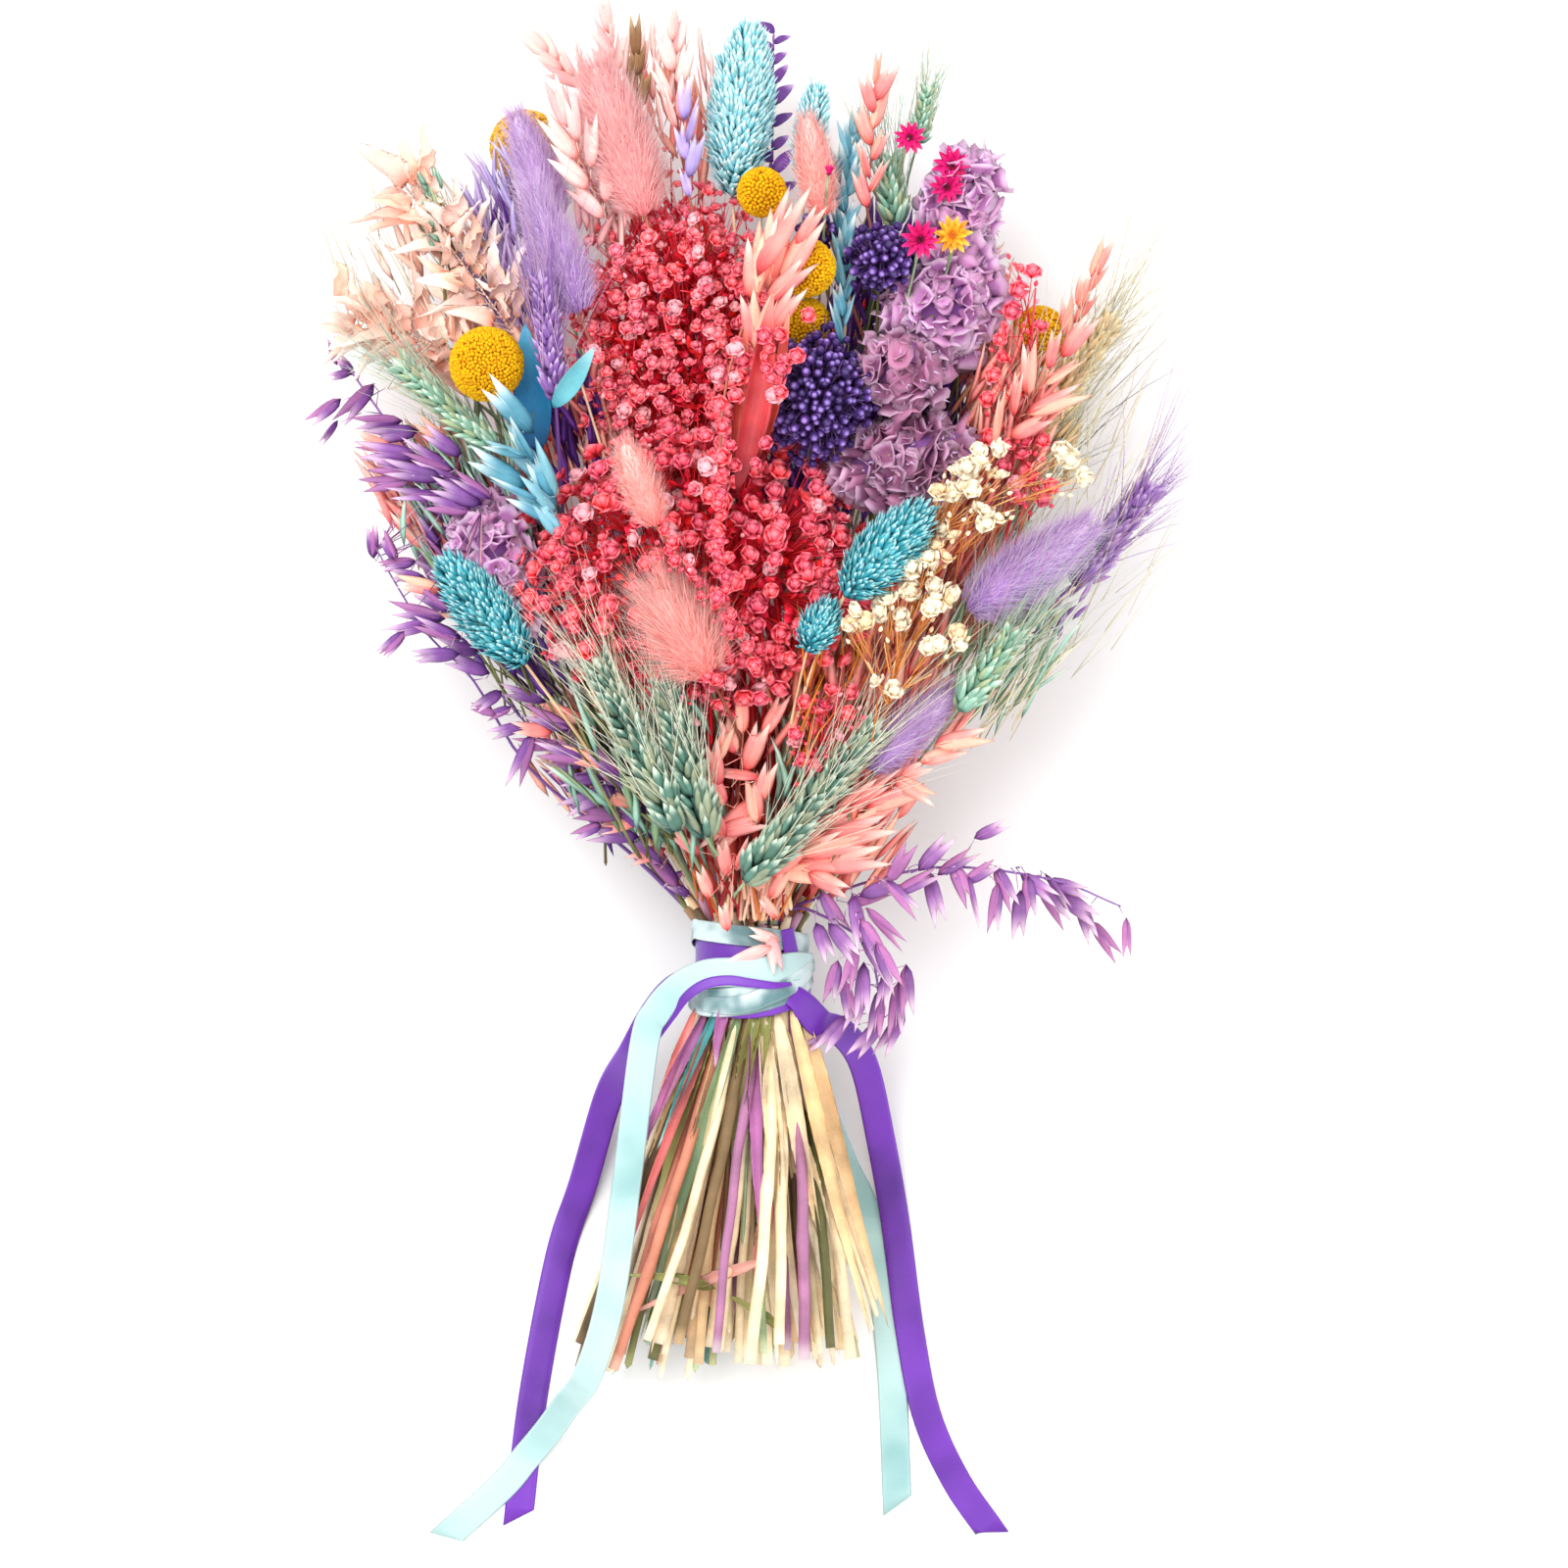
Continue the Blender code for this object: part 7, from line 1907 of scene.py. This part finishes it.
def upper_stem(heap, finish, route, head, spine, scale):
    """The upper stem: a smooth line from inside the tie to its head, thinner and thinner."""
    stalked = head[1] in ("oats", "leaves", "sprig", "sprig_gyp")
    tip, _ = along(spine, (0.35, 0.7, 0.96) if stalked else (0.3,))
    points = np.vstack([route[0] - (0, 8.0, 0), route, tip])
    radii = np.concatenate([[1.5], np.interp(np.linspace(0, 1, len(route)), (0, 0.3, 1), (1.55, 1.0, 0.62)),
                            np.linspace(0.55, 0.4, len(tip))])
    at = np.linspace(0, 1, len(points))
    count = 4 * (len(points) - 1) + 1
    girth = np.interp(np.linspace(0, 1, count), at, radii) * scale
    joint = heap.rng.integers(6, count - 3)
    girth[joint] *= 1.2
    line, t = smooth(points, count), np.linspace(0, 1, count)
    line[:, 2] = np.maximum(line[:, 2] - STEM_SAG * np.sin(math.pi * t) ** 2, 1.5)
    heap.put(tube(line, girth, 6), finish, heap.rng.random())


STEM_SAG = 16.0


# Ribbons

def ribbon_section(wide, thick, cup):
    """A thin closed strip's section, cupped a little across its width."""
    x = np.array([-.5, -.42, -.25, 0, .25, .42, .5, .42, .25, 0, -.25, -.42])
    y = np.array([0, -1, -1, -1, -1, -1, 0, 1, 1, 1, 1, 1]) * 0.5
    return np.stack([x * wide, y * thick + cup * (x * x - 0.08) * wide], 1)


def satin_strip(heap, finish, centres, across, wide, cup=0.0, slant=0.0):
    """A ribbon along its centres. share runs along it in metres, tone across it, and slant cuts its
    far end."""
    ways = rows_unit(np.gradient(centres, axis=0))
    across = rows_unit(across - ways * (across * ways).sum(-1, keepdims=True))
    face = np.cross(across, ways)
    wide = np.broadcast_to(wide, (len(centres),))
    cups = np.broadcast_to(cup, (len(centres),))
    section = np.stack([ribbon_section(w, RIBBON_THICK * 0.9, c) for w, c in zip(wide, cups)])
    run = run_along(centres)
    points, faces, share = swept(centres, across, face, section, run * MM)
    sides = section.shape[1]
    points[-1 - sides:-1] += ways[-1] * (section[-1][:, :1] / wide[-1]) * slant
    tone = np.concatenate([[0.5], (section[..., 0] / wide[:, None] + 0.5).ravel(), [0.5]])
    heap.put((points, faces[:, ::-1], share), finish, tone)
    return run[-1]


def ribbon_tail(heap, finish, route, count, slant):
    """A loose tail: it lies against the tie where it starts, and turns its face up further on."""
    centres = smooth(route, count)
    centres[:, 2] = np.maximum(centres[:, 2], RIBBON_THICK / 2 + 0.1)
    ways = np.gradient(centres, axis=0)
    run = run_along(centres)
    near = np.exp(-(run / TURN_OVER) ** 2)[:, None]
    out = (centres - (0, 0, TIE_HEIGHT)) * (1, 0, 1)
    flat = np.array((0, 0, math.copysign(1.0, out[0, 2])))
    face = near * out / np.linalg.norm(out, axis=1, keepdims=True) + (1 - near) * flat
    across = np.cross(ways, face)
    cup = 0.10 * np.sin(run / 31.0)
    return satin_strip(heap, finish, centres, across, RIBBON_WIDE * (1 - 0.25 * near[:, 0]), cup, slant)


def ribbon_turns(heap, finish, radius, rows, start, wide):
    """Turns round the tie. The rows are (turns from the start, place along the tie)."""
    turns, places = np.array(rows, float).T
    count = int(turns[-1] * 44) + 1
    turn = np.linspace(0, turns[-1] * math.tau, count)
    swell = radius + 0.12 * np.sin(7 * turn)
    climb = np.interp(turn / math.tau, turns, places)
    round_it = turn + start
    centres = np.stack([swell * np.sin(round_it), climb, TIE_HEIGHT + swell * np.cos(round_it)], axis=1)
    across = np.tile((0.0, 1.0, 0.0), (count, 1))
    return satin_strip(heap, finish, centres, across, wide, 0.05 * np.sin(3 * turn))


# Bands of the knot, right to left: (angle round the tie from the front, y)
KNOT_BAND = ((88, -1), (60, -4), (40, -7), (20, -9.5), (0, -11.5), (-25, -13), (-50, -13), (-76, -11))
KNOT_UNDER = ((95, -8), (60, -10), (30, -13.5), (0, -15.6), (-28, -15), (-50, -12))
KNOT_FOLD = ((80, 2), (58, -2), (36, -6.5), (16, -10), (0, -13), (-20, -14.5), (-46, -13.5))
PURPLE_DOWN = ((38, 17), (42, 9), (46, 1), (54, -7), (64, -12))
# The purple edge that shows between the knot and the aqua tail (x, y, z)
PURPLE_OVER = ((17, -5.5, 63.6), (10, -6.0, 68.4), (0, -4.9, 69.6), (-9, -3.9, 68.8), (-18, -5.4, 67.2),
               (-25.5, -10.3, 65.0), (-31, -17.5, 62.2), (-36.5, -25.5, 58.6), (-41.5, -33, 55.0))
# Turns of each ribbon round the tie: (turns from the start, place along the tie)
AQUA_CLIMB = ((0, -9), (0.30, -4.5), (0.5, -2.5), (0.72, -0.5), (1.0, 6), (1.3, 17), (1.5, 14), (1.68, 11),
              (1.9, 8))
PURPLE_CLIMB = ((0, -TIE_HALF + 6.2), (2.4, 7.5), (2.75, 5.0))


def knot_band(heap, finish, places, radius, wide, fold):
    """A pleated band over the front of the tie, pinched at its ends."""
    turn, y = np.array(places, float).T
    turn = np.radians(turn)
    points = np.column_stack([radius * np.sin(turn), y, TIE_HEIGHT + radius * np.cos(turn)])
    centres = smooth(points, 48)
    out = (centres - (0, 0, TIE_HEIGHT)) * (1, 0, 1)
    ways = np.gradient(centres, axis=0)
    t = np.linspace(0, 1, 48)
    across = np.cross(out, ways) + ways * 0.25 * np.sin(3 * t)[:, None]
    pinch = 0.72 + 0.28 * np.sin(np.pi * t) ** 0.6
    return satin_strip(heap, finish, centres, across, wide * pinch, fold * np.cos(2.5 * np.pi * t))


def build_ribbons():
    """The two ribbons: each one strip, with turns round the stems, a knot's band and two loose tails."""
    purple, aqua = Heap(71), Heap(72)
    long = ribbon_turns(purple, "satin purple", PURPLE_TURN_R, PURPLE_CLIMB, math.pi, RIBBON_WIDE)
    long += ribbon_tail(purple, "satin purple", PURPLE_LEFT, 110, 8.0)
    edge = smooth(PURPLE_OVER, 40)
    tilt = np.cross(np.gradient(edge, axis=0), (-0.35, 0.2, 1.0))
    wide = 1.0 + 3.4 * np.sin(np.linspace(0.1, 3.0, 40)) ** 0.7
    long += satin_strip(purple, "satin purple", edge, tilt, wide)
    long += knot_band(purple, "satin purple", PURPLE_DOWN, AQUA_TURN_R + 1.0, 8.0, 0.1)
    long += ribbon_tail(purple, "satin purple", PURPLE_RIGHT, 90, -8.0)
    long += knot_band(purple, "satin purple", KNOT_UNDER, 24.9, 8.0, 0.0)
    piece = as_piece("ribbon_purple_satin", purple, ["ribbon_purple"])
    # The aqua turns and the knot's bands take the satin with strong painted fold shade and painted highlight
    long = ribbon_turns(aqua, "satin aqua painted fold shade", AQUA_TURN_R, AQUA_CLIMB, math.pi, 8.4)
    long += ribbon_tail(aqua, "satin aqua", AQUA_LEFT, 120, 8.0)
    long += ribbon_tail(aqua, "satin aqua", AQUA_RIGHT, 90, -8.0)
    long += knot_band(aqua, "satin aqua painted fold shade", KNOT_BAND, 25.6, 12.5, -0.26)
    long += knot_band(aqua, "satin aqua painted fold shade", KNOT_FOLD, 26.7, 8.0, 0.20)
    piece = as_piece("ribbon_aqua_satin", aqua, ["ribbon_aqua"])


# The bouquet

def build_heads(seats):
    """Every head with its small parts, as a piece for each head."""
    order = list(dict.fromkeys(head[0] for head in HEADS))
    for number, name in enumerate(order):
        heap = Heap(100 + number)
        heap.stems = [route for head, (_, route) in zip(HEADS, seats) if head[0] != name]
        for head, (spine, _) in zip(HEADS, seats):
            if head[0] == name:
                b = Bloom(head, spine)
                DRESS[b.form](b, heap)
        as_piece(name + "_head", heap, [name])


def main():
    """Builds the bouquet."""
    place_camera()
    place_lights()
    lay_floor()
    slots, seats = settle(HEADS)
    build_heads(seats)
    build_stems(slots, seats)
    build_ribbons()


main()
